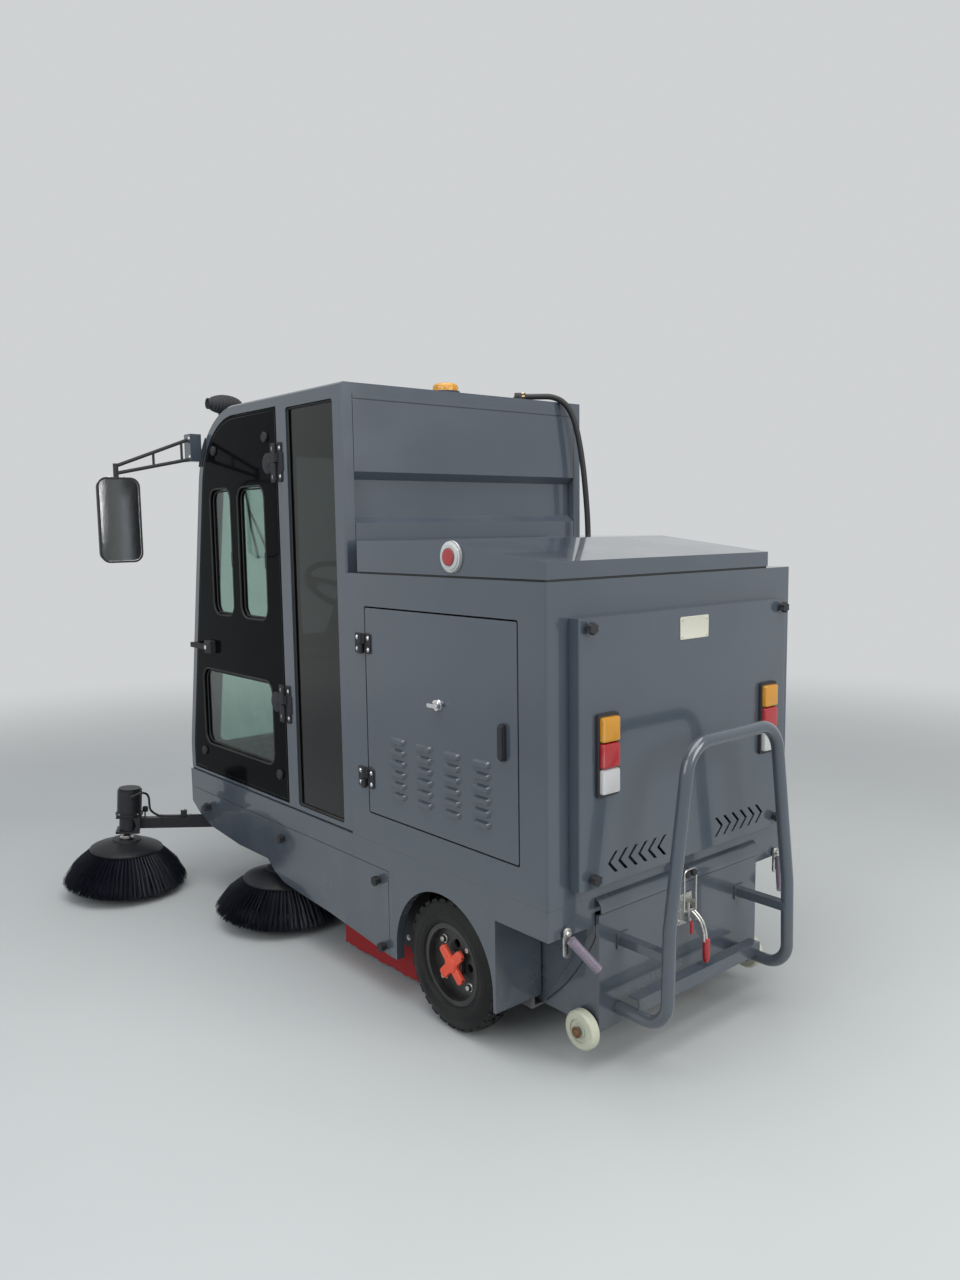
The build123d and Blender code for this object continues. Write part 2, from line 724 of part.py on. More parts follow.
def door_window_faces():
    """Outlines of the door's two upper panes and its lower pane."""
    return [
        rounded_window((DOOR_REAR_Y - far, DOOR_REAR_Y - near), (low_z, high_z))
        for (near, far), low_z, high_z in DOOR_WINDOWS
    ]


def cab_door_glass():
    """Panes of the left cab door."""
    middle = CAB_HALF - DOOR_THICKNESS / 2
    pane_x = (middle - GLASS / 2, middle + GLASS / 2)
    return Compound(children=[side_solid(face, pane_x) for face in door_window_faces()])


def cab_door_fittings():
    """Round glass caps and the lever handle of the left cab door."""
    pieces = []
    for ahead, z in GLASS_CAPS:
        cap = disc_x((CAB_HALF, CAB_HALF + GLASS_CAP_HEIGHT), DOOR_REAR_Y - ahead, z, GLASS_CAP_R)
        pieces.append(chamfer(cap.edges().group_by(Axis.X)[-1], GLASS_CAP_HEIGHT / 3))
    front_y, rear_y = DOOR_HANDLE_Y
    depth, height = DOOR_HANDLE_SIZE
    grip_depth, grip_half = DOOR_HANDLE_GRIP
    low_z, high_z = DOOR_HANDLE_Z - height, DOOR_HANDLE_Z + height
    lock = block((CAB_HALF, CAB_HALF + depth), (rear_y - 2 * height, rear_y), (low_z, high_z))
    lock = chamfer(lock.edges().group_by(Axis.X)[-1], GLASS_CAP_HEIGHT)
    grip_z = (DOOR_HANDLE_Z - grip_half, DOOR_HANDLE_Z + grip_half)
    grip = block((CAB_HALF + depth - grip_depth, CAB_HALF + depth), (front_y, rear_y - height), grip_z)
    foot = block((CAB_HALF, CAB_HALF + depth), (front_y, front_y + height), grip_z)
    pieces.append(lock + grip + foot)
    return Compound(children=pieces)


def hinge_half(axis_xy, face_x, centre_z, leaf_y, barrel):
    """One half of a side hinge: leaf on the wall, web and barrel.

    leaf_y is measured from the hinge axis. barrel is +1 for the upper half of the pin, -1 for the lower.
    """
    x, y = axis_xy
    half = HINGE_HEIGHT / 2
    barrel_z = (centre_z + barrel * HINGE_GAP, centre_z + barrel * half)
    leaf_z = (centre_z - half, centre_z + half)
    leaf = block((face_x, face_x + HINGE_LEAF), (y + leaf_y[0], y + leaf_y[1]), leaf_z)
    web = block((face_x, x), (y, y + math.copysign(HINGE_WEB, sum(leaf_y))), barrel_z)
    return leaf + web + disc_z(x, y, barrel_z, HINGE_BARREL_R)


def body_box():
    """Hollow upper body with side, top and rear openings."""
    box = block((-BODY_HALF, BODY_HALF), (-BODY_LENGTH, 0), (SEAM_Z, BODY_TOP_Z))
    box = fillet(box.edges().filter_by(Axis.Z).group_by(Axis.Y)[-1], BODY_CORNER_R)
    inner_x = BODY_HALF - BODY_WALL
    box -= block(
        (-inner_x, inner_x),
        (-BODY_LENGTH + BODY_WALL, -BODY_WALL),
        (SEAM_Z + BODY_WALL, BODY_TOP_Z - BODY_WALL),
    )
    doorway = rounded_window(SERVICE_DOOR_Y, SERVICE_DOOR_Z, SERVICE_CORNER_R)
    box -= side_solid(doorway, (-BODY_HALF, BODY_HALF))
    box -= block(
        (LID_X[0] + LID_OPENING_MARGIN, LID_X[1] - LID_OPENING_MARGIN),
        (LID_FRONT_Y + LID_OPENING_MARGIN, -LID_OPENING_MARGIN),
        (BODY_TOP_Z - BODY_WALL, BODY_TOP_Z),
    )
    box -= block(
        (-HATCH_HALF_WIDTH + HATCH_OPENING_MARGIN, HATCH_HALF_WIDTH - HATCH_OPENING_MARGIN),
        (-BODY_WALL, 0),
        (HATCH_Z[0] + HATCH_OPENING_MARGIN, HATCH_Z[1] - HATCH_OPENING_MARGIN),
    )
    return box


def service_door():
    """Left service door with its pressed louvres and hinge halves."""
    span_y = (SERVICE_DOOR_Y[0] + GAP, SERVICE_DOOR_Y[1] - GAP)
    span_z = (SERVICE_DOOR_Z[0] + GAP, SERVICE_DOOR_Z[1] - GAP)
    panel = rounded_window(span_y, span_z, SERVICE_CORNER_R - PANEL_GAP)
    door = side_solid(panel, (BODY_HALF - BODY_WALL, BODY_HALF))
    first_y, first_z = LOUVRE_FIRST
    pitch_y, pitch_z = LOUVRE_PITCH
    hood = louvre()
    for column in range(LOUVRE_COLUMNS):
        for row in range(LOUVRE_ROWS):
            door += Pos(BODY_HALF, first_y - column * pitch_y, first_z - row * pitch_z) * hood
    for z in SERVICE_HINGE_Z:
        door += hinge_half(SERVICE_HINGE, BODY_HALF, z, (SERVICE_LEAF_START, HINGE_LEAF_LENGTH), barrel=1)
    return door


def louvre():
    """One pressed louvre: a hood with round ends, tapered in and open along its lower edge."""
    slot = Plane.YZ * SlotOverall(LOUVRE_LENGTH, LOUVRE_HEIGHT)
    hood = extrude(slot, amount=LOUVRE_DEPTH, taper=LOUVRE_TAPER_DEG)
    return hood - block((0, LOUVRE_DEPTH), (-LOUVRE_LENGTH, LOUVRE_LENGTH), (-LOUVRE_HEIGHT, -LOUVRE_MOUTH))


def service_fittings():
    """Turn lock and pull handle of the left service door."""
    y, z = LOCK_CENTRE
    length, width, depth = LOCK_BAR
    lock = disc_x((BODY_HALF, BODY_HALF + depth / 2), y, z, LOCK_R)
    bar_y, bar_z = (y - length / 2, y + length / 2), (z - width / 2, z + width / 2)
    lock += block((BODY_HALF, BODY_HALF + depth), bar_y, bar_z)
    width, depth = PULL_SIZE
    outline = rounded_window((PULL_Y - width / 2, PULL_Y + width / 2), PULL_Z, width / 3)
    pull = side_solid(outline, (BODY_HALF, BODY_HALF + depth))
    pull = chamfer(pull.faces().sort_by(Axis.X)[-1].edges(), depth / 4)
    return Compound(children=[lock, pull])


def lid():
    """Top lid, hollow below, sloping down to the back."""
    outer = (
        (LID_FRONT_Y, LID_BOTTOM_Z),
        (LID_FRONT_Y, LID_TOP_Z),
        (LID_BREAK_Y, LID_TOP_Z),
        (0, LID_REAR_Z),
        (0, LID_BOTTOM_Z),
    )
    inner = (
        (LID_FRONT_Y + LID_WALL, LID_BOTTOM_Z),
        (LID_FRONT_Y + LID_WALL, LID_TOP_Z - LID_WALL),
        (LID_BREAK_Y, LID_TOP_Z - LID_WALL),
        (-LID_WALL, LID_REAR_Z - LID_WALL),
        (-LID_WALL, LID_BOTTOM_Z),
    )
    shell = side_solid(closed_face(outer), LID_X)
    shell -= side_solid(closed_face(inner), (LID_X[0] + LID_WALL, LID_X[1] - LID_WALL))
    shell += stepped_rings(Plane(origin=(LID_X[1], *LID_LAMP), z_dir=(1, 0, 0)), LID_LAMP_RINGS)
    for x in LID_HINGE_X:
        lug_z = (LID_HINGE_Z - LID_LUG / 2, LID_HINGE_Z + LID_LUG / 2)
        shell += block((x, x + LID_KNUCKLE), (LID_HINGE_Y, LID_FRONT_Y), lug_z)
        shell += disc_x((x, x + LID_KNUCKLE), LID_HINGE_Y, LID_HINGE_Z, HINGE_BARREL_R)
    return shell


def lid_seal():
    """Rubber seal on the body top under the lid's rim."""
    seal_z = (BODY_TOP_Z, LID_BOTTOM_Z - BEARING_CLEARANCE)
    outer_x = (LID_X[0] + SEAL_INSET, LID_X[1] - SEAL_INSET)
    outer_y = (LID_FRONT_Y + SEAL_INSET, -SEAL_INSET)
    inner_x = (outer_x[0] + SEAL_WIDTH, outer_x[1] - SEAL_WIDTH)
    inner_y = (outer_y[0] + SEAL_WIDTH, outer_y[1] - SEAL_WIDTH)
    return block(outer_x, outer_y, seal_z) - block(inner_x, inner_y, seal_z)


def rear_hatch():
    """Removable rear cover, a shallow tray with two rows of arrow slots."""
    tray = block((-HATCH_HALF_WIDTH, HATCH_HALF_WIDTH), (0, HATCH_DEPTH), HATCH_Z)
    tray = fillet(tray.edges().filter_by(Axis.Z).group_by(Axis.Y)[-1], HATCH_CORNER_R)
    tray -= block(
        (-HATCH_HALF_WIDTH + HATCH_SKIN, HATCH_HALF_WIDTH - HATCH_SKIN),
        (0, HATCH_DEPTH - HATCH_SKIN),
        (HATCH_Z[0] + HATCH_SKIN, HATCH_Z[1] - HATCH_SKIN),
    )
    plane = Plane(origin=(0, HATCH_DEPTH, 0), x_dir=(1, 0, 0), z_dir=(0, -1, 0))
    for side in (1, -1):
        for index in range(CHEVRON_COUNT):
            slot = chevron(side, CHEVRON_TIP_X - index * CHEVRON_PITCH)
            tray -= extrude(plane * slot, amount=HATCH_SKIN)
    return tray + block(PLATE_X, (HATCH_DEPTH, HATCH_DEPTH + PLATE_THICKNESS), PLATE_Z)


def chevron(side, tip):
    """Arrow-shaped slot that points outwards."""
    back = tip - CHEVRON_REACH
    high_z, low_z = CHEVRON_Z + CHEVRON_HALF_HEIGHT, CHEVRON_Z - CHEVRON_HALF_HEIGHT
    return closed_face((
        (side * tip, CHEVRON_Z),
        (side * back, high_z),
        (side * (back - CHEVRON_SLOT), high_z),
        (side * (tip - CHEVRON_SLOT), CHEVRON_Z),
        (side * (back - CHEVRON_SLOT), low_z),
        (side * back, low_z),
    ))


def tail_lamps():
    """Two upright rear lamp clusters, each a base with three lenses."""
    face_y = HATCH_DEPTH + TAIL_LAMP_BASE
    lamp = block(TAIL_LAMP_X, (HATCH_DEPTH, face_y), TAIL_LAMP_Z)
    pitch = (TAIL_LAMP_Z[1] - TAIL_LAMP_Z[0] - 2 * TAIL_LENS_MARGIN) / TAIL_LENS_COUNT
    for index in range(TAIL_LENS_COUNT):
        low_z = TAIL_LAMP_Z[0] + TAIL_LENS_MARGIN + index * pitch
        lens = block(
            (TAIL_LAMP_X[0] + TAIL_LENS_MARGIN, TAIL_LAMP_X[1] - TAIL_LENS_MARGIN),
            (face_y, face_y + TAIL_LENS_HEIGHT),
            (low_z + TAIL_LENS_GAP / 2, low_z + pitch - TAIL_LENS_GAP / 2),
        )
        lamp += chamfer(lens.edges().group_by(Axis.Y)[-1], TAIL_LENS_EDGE)
    return Compound(children=both_sides(lamp))


def skirt():
    """Left skirt: the long upper band and the wheel arch part behind it."""
    x_range = (BODY_HALF - SKIRT_THICKNESS, BODY_HALF)
    plate = side_solid(closed_face((
        (CAB_FRONT_Y, SEAM_Z),
        (CAB_FRONT_Y, SKIRT_BAND_Z),
        (SKIRT_SPLIT_Y, SKIRT_BAND_Z),
        (SKIRT_SPLIT_Y, SKIRT_FOOT_Z),
        (SKIRT_REAR_Y, SKIRT_FOOT_Z),
        (SKIRT_REAR_Y, SKIRT_REAR_BAND_Z),
        (-BODY_WALL, SKIRT_REAR_BAND_Z),
        (-BODY_WALL, SEAM_Z),
    )), x_range)
    arch_y, arch_z = ARCH_CENTRE
    plate -= disc_x(x_range, arch_y, arch_z, ARCH_R)
    plate -= block(x_range, (arch_y - ARCH_R, arch_y + ARCH_R), (SKIRT_FOOT_Z, arch_z))
    mudguard = block(
        (MUDGUARD_INNER_X, x_range[0]),
        (SKIRT_REAR_Y - MUDGUARD_THICKNESS, SKIRT_REAR_Y),
        (SKIRT_FOOT_Z, SKIRT_REAR_BAND_Z),
    )
    return plate + mudguard


def access_panel():
    """Left removable panel under the skirt band."""
    top_z = SKIRT_BAND_Z - PANEL_GAP
    rear_y = SKIRT_SPLIT_Y - PANEL_GAP
    edge = [(CAB_FRONT_Y + back, z) for back, z in ACCESS_PANEL_EDGE]
    points = (*edge, (rear_y, SKIRT_FOOT_Z), (rear_y, top_z), (CAB_FRONT_Y, top_z))
    return side_solid(closed_face(points), (BODY_HALF - ACCESS_PANEL_THICKNESS, BODY_HALF))


def front_apron():
    """Front panel between the two skirts."""
    half = BODY_HALF - SKIRT_THICKNESS
    return block((-half, half), (CAB_FRONT_Y, CAB_FRONT_Y + SKIRT_THICKNESS), (APRON_FOOT_Z, SEAM_Z))


def headlamps():
    """Two round head lamps on the front panel."""
    plane = Plane(origin=(HEADLAMP_X, CAB_FRONT_Y, HEADLAMP_Z), z_dir=(0, -1, 0))
    return Compound(children=both_sides(stepped_rings(plane, HEADLAMP_RINGS)))


def rear_valance():
    """Rear band under the upper body with the rolled lip over the bin and the latch hooks."""
    band = block((-BODY_HALF, BODY_HALF), (-BODY_WALL, 0), (SKIRT_REAR_BAND_Z, SEAM_Z))
    low, high = LIP_Z
    band -= block((-LIP_HALF_WIDTH, LIP_HALF_WIDTH), (-BODY_WALL, 0), (SKIRT_REAR_BAND_Z, low))
    lip = lip_section(LIP_REACH, high, low) - lip_section(LIP_REACH - LIP_SHEET, high - LIP_SHEET, low)
    band += side_solid(lip, (-LIP_HALF_WIDTH, LIP_HALF_WIDTH))
    for side in (1, -1):
        start = (side * HOOK_X, 0, HOOK_Z)
        band += rod(start, (side * HOOK_X, LIP_REACH + HOOK_LENGTH, HOOK_Z), HOOK_R)
    return band


def lip_section(reach, high, low):
    """Quarter-round section of the lip, in the YZ plane."""
    arc = ThreePointArc((0, high), (reach * 0.7, low + (high - low) * 0.7), (reach, low))
    return make_face(Curve() + [arc, Polyline((reach, low), (0, low), (0, high))])


def chassis_frame():
    """Welded tube frame with the steering head, rear axle brackets and arm hangers."""
    frame = block((-RAIL_X[1], -RAIL_X[0]), (CROSS_TUBES_Y[0], -BODY_WALL), RAIL_Z)
    frame += block(RAIL_X, (CROSS_TUBES_Y[0], -BODY_WALL), RAIL_Z)
    for y in CROSS_TUBES_Y:
        frame += block((-RAIL_X[0], RAIL_X[0]), (y, y + CROSS_TUBE), CROSS_Z)
    tunnel_y = (CROSS_TUBES_Y[4], -BODY_WALL)
    for side in (1, -1):
        frame += block((side * TUNNEL_RAIL_X[0], side * TUNNEL_RAIL_X[1]), tunnel_y, CROSS_Z)
        frame += axle_bracket(side) + bin_guide(side)
    for row in SIDE_BRUSHES:
        for hanger in both_sides(arm_hanger(*row[1:5])):
            frame += hanger
    half_width, ahead, behind = HEAD_PLATE
    frame += block((-half_width, half_width), (HEAD_Y - ahead, HEAD_Y + behind), CROSS_Z)
    frame += disc_z(0, HEAD_Y, (FORK_CROWN_Z[1] + GAP, CROSS_Z[1]), HEAD_R)
    return frame - disc_z(0, HEAD_Y, (FORK_CROWN_Z[1], CROSS_Z[1]), KINGPIN_R + BEARING_CLEARANCE)


def axle_bracket(side):
    """Rear wheel bracket with its brake back plate and spindle."""
    inner, outer = AXLE_PLATE_X
    corners = (
        (REAR_AXLE_Y - AXLE_PLATE_HALF * 1.6, CROSS_Z[0]),
        (REAR_AXLE_Y - AXLE_PLATE_HALF, TYRE_R - AXLE_PLATE_HALF),
        (REAR_AXLE_Y + AXLE_PLATE_HALF, TYRE_R - AXLE_PLATE_HALF),
        (REAR_AXLE_Y + AXLE_PLATE_HALF * 1.6, CROSS_Z[0]),
    )
    plate = side_solid(closed_face(corners), (side * inner, side * outer))
    drum = disc_x((side * outer, side * (outer + BACKPLATE_WIDTH)), REAR_AXLE_Y, TYRE_R, BACKPLATE_R)
    spindle = disc_x((side * outer, side * (REAR_WHEEL_X + SPINDLE_END)), REAR_AXLE_Y, TYRE_R, SPINDLE_R)
    return plate + drum + spindle


def bin_guide(side):
    """Angle that carries one lower edge of the dust bin, on the axle bracket."""
    foot_x = BIN_HALF_WIDTH - BIN_GUIDE_FOOT
    inner, outer = BIN_GUIDE_WALL_X
    ledge = block((side * foot_x, side * outer), BIN_GUIDE_Y, BIN_GUIDE_Z)
    return ledge + block((side * inner, side * outer), BIN_GUIDE_Y, (BIN_GUIDE_Z[0], BIN_GUIDE_TOP_Z))


def arm_hanger(centre_x, centre_y, pivot_x, pivot_y):
    """Pin and two ears that carry a brush arm under the chassis."""
    heading = math.degrees(math.atan2(centre_y - pivot_y, centre_x - pivot_x))
    ear_y = PIVOT_LENGTH / 2 + GAP
    outer_y = ear_y + EAR_THICKNESS
    top = CROSS_Z[0] - PIVOT_Z
    hanger = Rot(90, 0, 0) * Cylinder(PIVOT_R, 2 * outer_y)
    for side in (1, -1):
        hanger += block((-EAR_HALF, EAR_HALF), (side * ear_y, side * outer_y), (-EAR_HALF, top))
    hanger += block((-EAR_HALF, EAR_HALF), (-outer_y, outer_y), (top - EAR_THICKNESS, top))
    return Pos(pivot_x, pivot_y, PIVOT_Z) * Rot(0, 0, heading) * hanger


def tyre(centre_x, axle_y):
    """One tyre with two tread grooves, revolved about its axle."""
    outer_half = [(share * TYRE_HALF, TYRE_R - depth) for share, depth in TYRE_SECTION]
    section = [(-x, r) for x, r in outer_half]
    for share, half, depth in TREAD_GROOVES:
        centre = share * TYRE_HALF
        section += [
            (centre - half, TYRE_R),
            (centre - half, TYRE_R - depth),
            (centre + half, TYRE_R - depth),
            (centre + half, TYRE_R),
        ]
    section += reversed(outer_half)
    return Pos(centre_x, axle_y, TYRE_R) * revolve(closed_face(section), Axis.X)


def rim(centre_x, axle_y, outer_side, through):
    """Pressed rim with holes, hub and nuts, and a cross cap unless the axle goes right through.

    outer_side is +1 for a wheel that faces the left and -1 for one that faces the right.
    """
    section = (
        (-RIM_HALF, RIM_BEAD_R - RIM_DISC),
        (-RIM_HALF, RIM_FLANGE_R),
        (-RIM_HALF + PANEL_GAP * 2, RIM_FLANGE_R),
        (-RIM_HALF + PANEL_GAP * 2, RIM_BEAD_R),
        (RIM_HALF - PANEL_GAP * 2, RIM_BEAD_R),
        (RIM_HALF - PANEL_GAP * 2, RIM_FLANGE_R),
        (RIM_HALF, RIM_FLANGE_R),
        (RIM_HALF, RIM_BEAD_R - RIM_DISC),
    )
    body = revolve(closed_face(section), Axis.X)
    disc = disc_x((RIM_DISC_X, RIM_DISC_X + RIM_DISC), 0, 0, RIM_BEAD_R - RIM_DISC / 2)
    for index in range(RIM_HOLES):
        hole = disc_x((RIM_DISC_X, RIM_DISC_X + RIM_DISC), RIM_HOLE_RING_R, 0, RIM_HOLE_R)
        disc -= Rot(360 / RIM_HOLES * index, 0, 0) * hole
    body += disc + disc_x(HUB_X, 0, 0, HUB_R)
    nut_x = (RIM_DISC_X + RIM_DISC, RIM_DISC_X + RIM_DISC + WHEEL_NUT_HEIGHT)
    nut = side_solid(Pos(WHEEL_NUT_RING_R, 0) * RegularPolygon(WHEEL_NUT_R, 6), nut_x)
    for index in range(WHEEL_NUTS):
        body += Rot(360 / WHEEL_NUTS * (index + 0.5), 0, 0) * nut
    if through:
        body -= disc_x(HUB_X, 0, 0, SPINDLE_R + BEARING_CLEARANCE)
    else:
        length, width, height = CAP_ARM
        arm = block((HUB_X[1], HUB_X[1] + height), (-length, length), (-width / 2, width / 2))
        for index in range(CAP_ARMS // 2):
            body += Rot(45 + 360 / CAP_ARMS * index, 0, 0) * arm
        body -= disc_x((HUB_X[0], HUB_SPINDLE_X), 0, 0, SPINDLE_R + BEARING_CLEARANCE)
    if outer_side < 0:
        body = mirror(body, about=Plane.YZ)
    return Pos(centre_x, axle_y, TYRE_R) * body


def steering_fork():
    """Front fork with its crown, kingpin, legs and axle."""
    inner, outer = FORK_LEG_X
    crown_y = (HEAD_Y - FORK_CROWN_REACH, FRONT_AXLE_Y + FORK_LEG_HALF)
    fork = block((-outer, outer), crown_y, FORK_CROWN_Z)
    fork += disc_z(0, HEAD_Y, (FORK_CROWN_Z[1], CROSS_Z[1] - GAP), KINGPIN_R)
    leg = closed_face((
        (FRONT_AXLE_Y - FORK_LEG_HALF, TYRE_R - FORK_LEG_HALF),
        (FRONT_AXLE_Y + FORK_LEG_HALF, TYRE_R - FORK_LEG_HALF),
        (FRONT_AXLE_Y + FORK_LEG_HALF, FORK_CROWN_Z[0]),
        (HEAD_Y - FORK_CROWN_REACH, FORK_CROWN_Z[0]),
    ))
    for side in (1, -1):
        fork += side_solid(leg, (side * inner, side * outer))
        fork += disc_x((side * outer, side * (outer + FORK_NUT_WIDTH)), FRONT_AXLE_Y, TYRE_R, FORK_NUT_R)
    return fork + disc_x((-outer, outer), FRONT_AXLE_Y, TYRE_R, SPINDLE_R)


def on_raised_arm(shape, centre_x, centre_y, pivot_x, pivot_y):
    """Shape drawn along +X from the arm's pivot, turned to the brush and raised as it parks."""
    heading = math.degrees(math.atan2(centre_y - pivot_y, centre_x - pivot_x))
    return Pos(pivot_x, pivot_y, PIVOT_Z) * Rot(0, 0, heading) * Rot(0, -BRUSH_REST_LIFT_DEG, 0) * shape


def side_brush(centre_x, centre_y, pivot_x, pivot_y, bristle_drop):
    """Side brush: hub disc, bristle cone and drive shaft, revolved."""
    under_hub_z = BRUSH_HUB_Z - BRUSH_HUB_SHEET
    tip_z = BRUSH_HUB_Z - bristle_drop
    section = closed_face((
        (0, under_hub_z),
        (BRUSH_HUB_R - BRUSH_HUB_SHEET, under_hub_z),
        (BRUSH_INNER_R, tip_z),
        (BRUSH_R - BRUSH_RIM_DROP, tip_z),
        (BRUSH_R, tip_z + BRUSH_WIDEST_RISE),
        (BRUSH_HUB_R, BRUSH_HUB_Z),
        BRUSH_DOME,
        (BRUSH_BOSS_R, BRUSH_TOP_Z),
        (BRUSH_BOSS_R, BRUSH_BOSS_Z),
        (BRUSH_SHAFT_R, BRUSH_BOSS_Z),
        (BRUSH_SHAFT_R, BRUSH_SHAFT_TOP_Z),
        (0, BRUSH_SHAFT_TOP_Z),
    ))
    length = math.hypot(centre_x - pivot_x, centre_y - pivot_y)
    brush = Pos(length, 0, -PIVOT_Z) * revolve(Plane.XZ * section, Axis.Z)
    return on_raised_arm(brush, centre_x, centre_y, pivot_x, pivot_y)


def brush_arm(centre_x, centre_y, pivot_x, pivot_y, motor_height):
    """Lifting arm with its pivot tube, motor bracket, motor and spring lug."""
    length = math.hypot(centre_x - pivot_x, centre_y - pivot_y)
    low, high = BRACKET_Z[0] - PIVOT_Z, BRACKET_Z[1] - PIVOT_Z
    back = length - BRACKET_HALF
    arm_y, arm_z = (-ARM_DEPTH / 2, ARM_DEPTH / 2), (-ARM_HEIGHT / 2, ARM_HEIGHT / 2)
    bar = block((0, back - BRACKET_SHEET), arm_y, arm_z)
    half = (-BRACKET_HALF, BRACKET_HALF)
    bracket = block((back - BRACKET_SHEET, length + BRACKET_HALF), half, (low, high))
    bracket -= block((back, length + BRACKET_HALF), half, (low + BRACKET_SHEET, high - BRACKET_SHEET))
    motor_x = length - MOTOR_OFFSET
    cap_r, cap_height = MOTOR_CAP
    flange_reach, flange_height = MOTOR_FLANGE
    motor = disc_z(motor_x, 0, (high, high + motor_height - cap_height), MOTOR_R)
    motor += disc_z(motor_x, 0, (high, high + flange_height), MOTOR_R + flange_reach)
    motor += disc_z(motor_x, 0, (high, high + motor_height), cap_r)
    lug_length, lug_height, lug_width = ARM_SPRING_LUG
    lug_x = (length / 2 - lug_length / 2, length / 2 + lug_length / 2)
    lug = block(lug_x, (-lug_width / 2, lug_width / 2), (ARM_HEIGHT / 2, ARM_HEIGHT / 2 + lug_height))
    pivot = Rot(90, 0, 0) * Cylinder(PIVOT_R + PIVOT_WALL, PIVOT_LENGTH)
    arm = bar + bracket + motor + lug + pivot
    arm -= Rot(90, 0, 0) * Cylinder(PIVOT_R + BEARING_CLEARANCE, PIVOT_LENGTH)
    return on_raised_arm(arm, centre_x, centre_y, pivot_x, pivot_y)


def roller_brush():
    """Main roller brush with rows of bristles along its core."""
    core = disc_x((-ROLLER_HALF, ROLLER_HALF), 0, 0, ROLLER_CORE_R)
    row_x = (-ROLLER_HALF + ROLLER_ROW_END, ROLLER_HALF - ROLLER_ROW_END)
    row = block(row_x, (-ROLLER_ROW_HALF, ROLLER_ROW_HALF), (ROLLER_CORE_R - ROLLER_ROW_ROOT, ROLLER_R))
    for index in range(ROLLER_ROWS):
        core += Rot(360 / ROLLER_ROWS * index, 0, 0) * row
    shaft_half = HOUSING_HALF - PANEL_GAP
    core += disc_x((-shaft_half, shaft_half), 0, 0, ROLLER_SHAFT_R)
    return Pos(0, ROLLER_Y, ROLLER_Z) * core


def brush_housing():
    """Side plates, front plate and hood of the roller brush."""
    plate_z = (HOUSING_FOOT_Z, HOUSING_TOP_Z)
    front_y, rear_y = HOUSING_Y
    housing = block((-HOUSING_HALF, HOUSING_HALF), HOUSING_Y, (HOUSING_TOP_Z - HOUSING_PLATE, HOUSING_TOP_Z))
    housing += block((-HOUSING_HALF, HOUSING_HALF), (front_y, front_y + HOUSING_PLATE), plate_z)
    for side in (1, -1):
        housing += block((side * HOUSING_HALF, side * (HOUSING_HALF - HOUSING_PLATE)), HOUSING_Y, plate_z)
    bore_r = ROLLER_SHAFT_R + BEARING_CLEARANCE
    return housing - disc_x((-HOUSING_HALF, HOUSING_HALF), ROLLER_Y, ROLLER_Z, bore_r)


def rubber_skirts():
    """Rubber dust skirts that hang from the frame on both sides of the roller brush."""
    return Compound(children=both_sides(block(RUBBER_X, RUBBER_Y, (RUBBER_FOOT_Z, RAIL_Z[0]))))


def dust_bin():
    """Open-topped dust bin with its rear plate, cheek plates and roller stubs."""
    bin_box = block((-BIN_HALF_WIDTH, BIN_HALF_WIDTH), (BIN_FRONT_Y, BIN_REAR_Y), BIN_Z)
    inner_x = (-BIN_HALF_WIDTH + BIN_WALL, BIN_HALF_WIDTH - BIN_WALL)
    inner_y = (BIN_FRONT_Y + BIN_WALL, BIN_REAR_Y - BIN_WALL)
    bin_box -= block(inner_x, inner_y, (BIN_Z[0] + BIN_WALL, BIN_Z[1]))
    bin_box -= block(inner_x, (BIN_FRONT_Y, BIN_FRONT_Y + BIN_WALL), (BIN_FRONT_LIP_Z, BIN_Z[1]))
    plate_half = BIN_HALF_WIDTH + BIN_PLATE_OVERLAP
    plate_z = (BIN_Z[0] - BIN_PLATE_OVERLAP, BIN_Z[1] + BIN_PLATE_OVERLAP)
    bin_box += block((-plate_half, plate_half), (BIN_REAR_Y - BIN_WALL, BIN_REAR_Y), plate_z)
    cheek = closed_face((*BIN_CHEEK_EDGE, (BIN_REAR_Y, BIN_Z[0]), (BIN_REAR_Y, BIN_Z[1])))
    ahead, below, above = BIN_BRACKET
    nut_r, nut_width = BIN_STUB_NUT
    stub_end = BIN_ROLLER_X + BIN_ROLLER_WIDTH / 2
    for side in (1, -1):
        bin_box += side_solid(cheek, (side * BIN_HALF_WIDTH, side * (BIN_HALF_WIDTH + BIN_CHEEK)))
        bin_box += disc_x((side * BIN_HALF_WIDTH, side * stub_end), BIN_ROLLER_Y, BIN_ROLLER_Z, BIN_STUB_R)
        nut_x = (side * (stub_end + HINGE_GAP), side * (stub_end + HINGE_GAP + nut_width))
        bin_box += disc_x((side * stub_end, nut_x[0]), BIN_ROLLER_Y, BIN_ROLLER_Z, BIN_STUB_R)
        bin_box += disc_x(nut_x, BIN_ROLLER_Y, BIN_ROLLER_Z, nut_r)
        bin_box += block(
            (side * (BIN_HALF_WIDTH - BIN_WALL), side * BIN_HALF_WIDTH),
            (BIN_ROLLER_Y - ahead, BIN_ROLLER_Y + ahead),
            (BIN_ROLLER_Z - below, BIN_Z[0] + above),
        )
    return bin_box


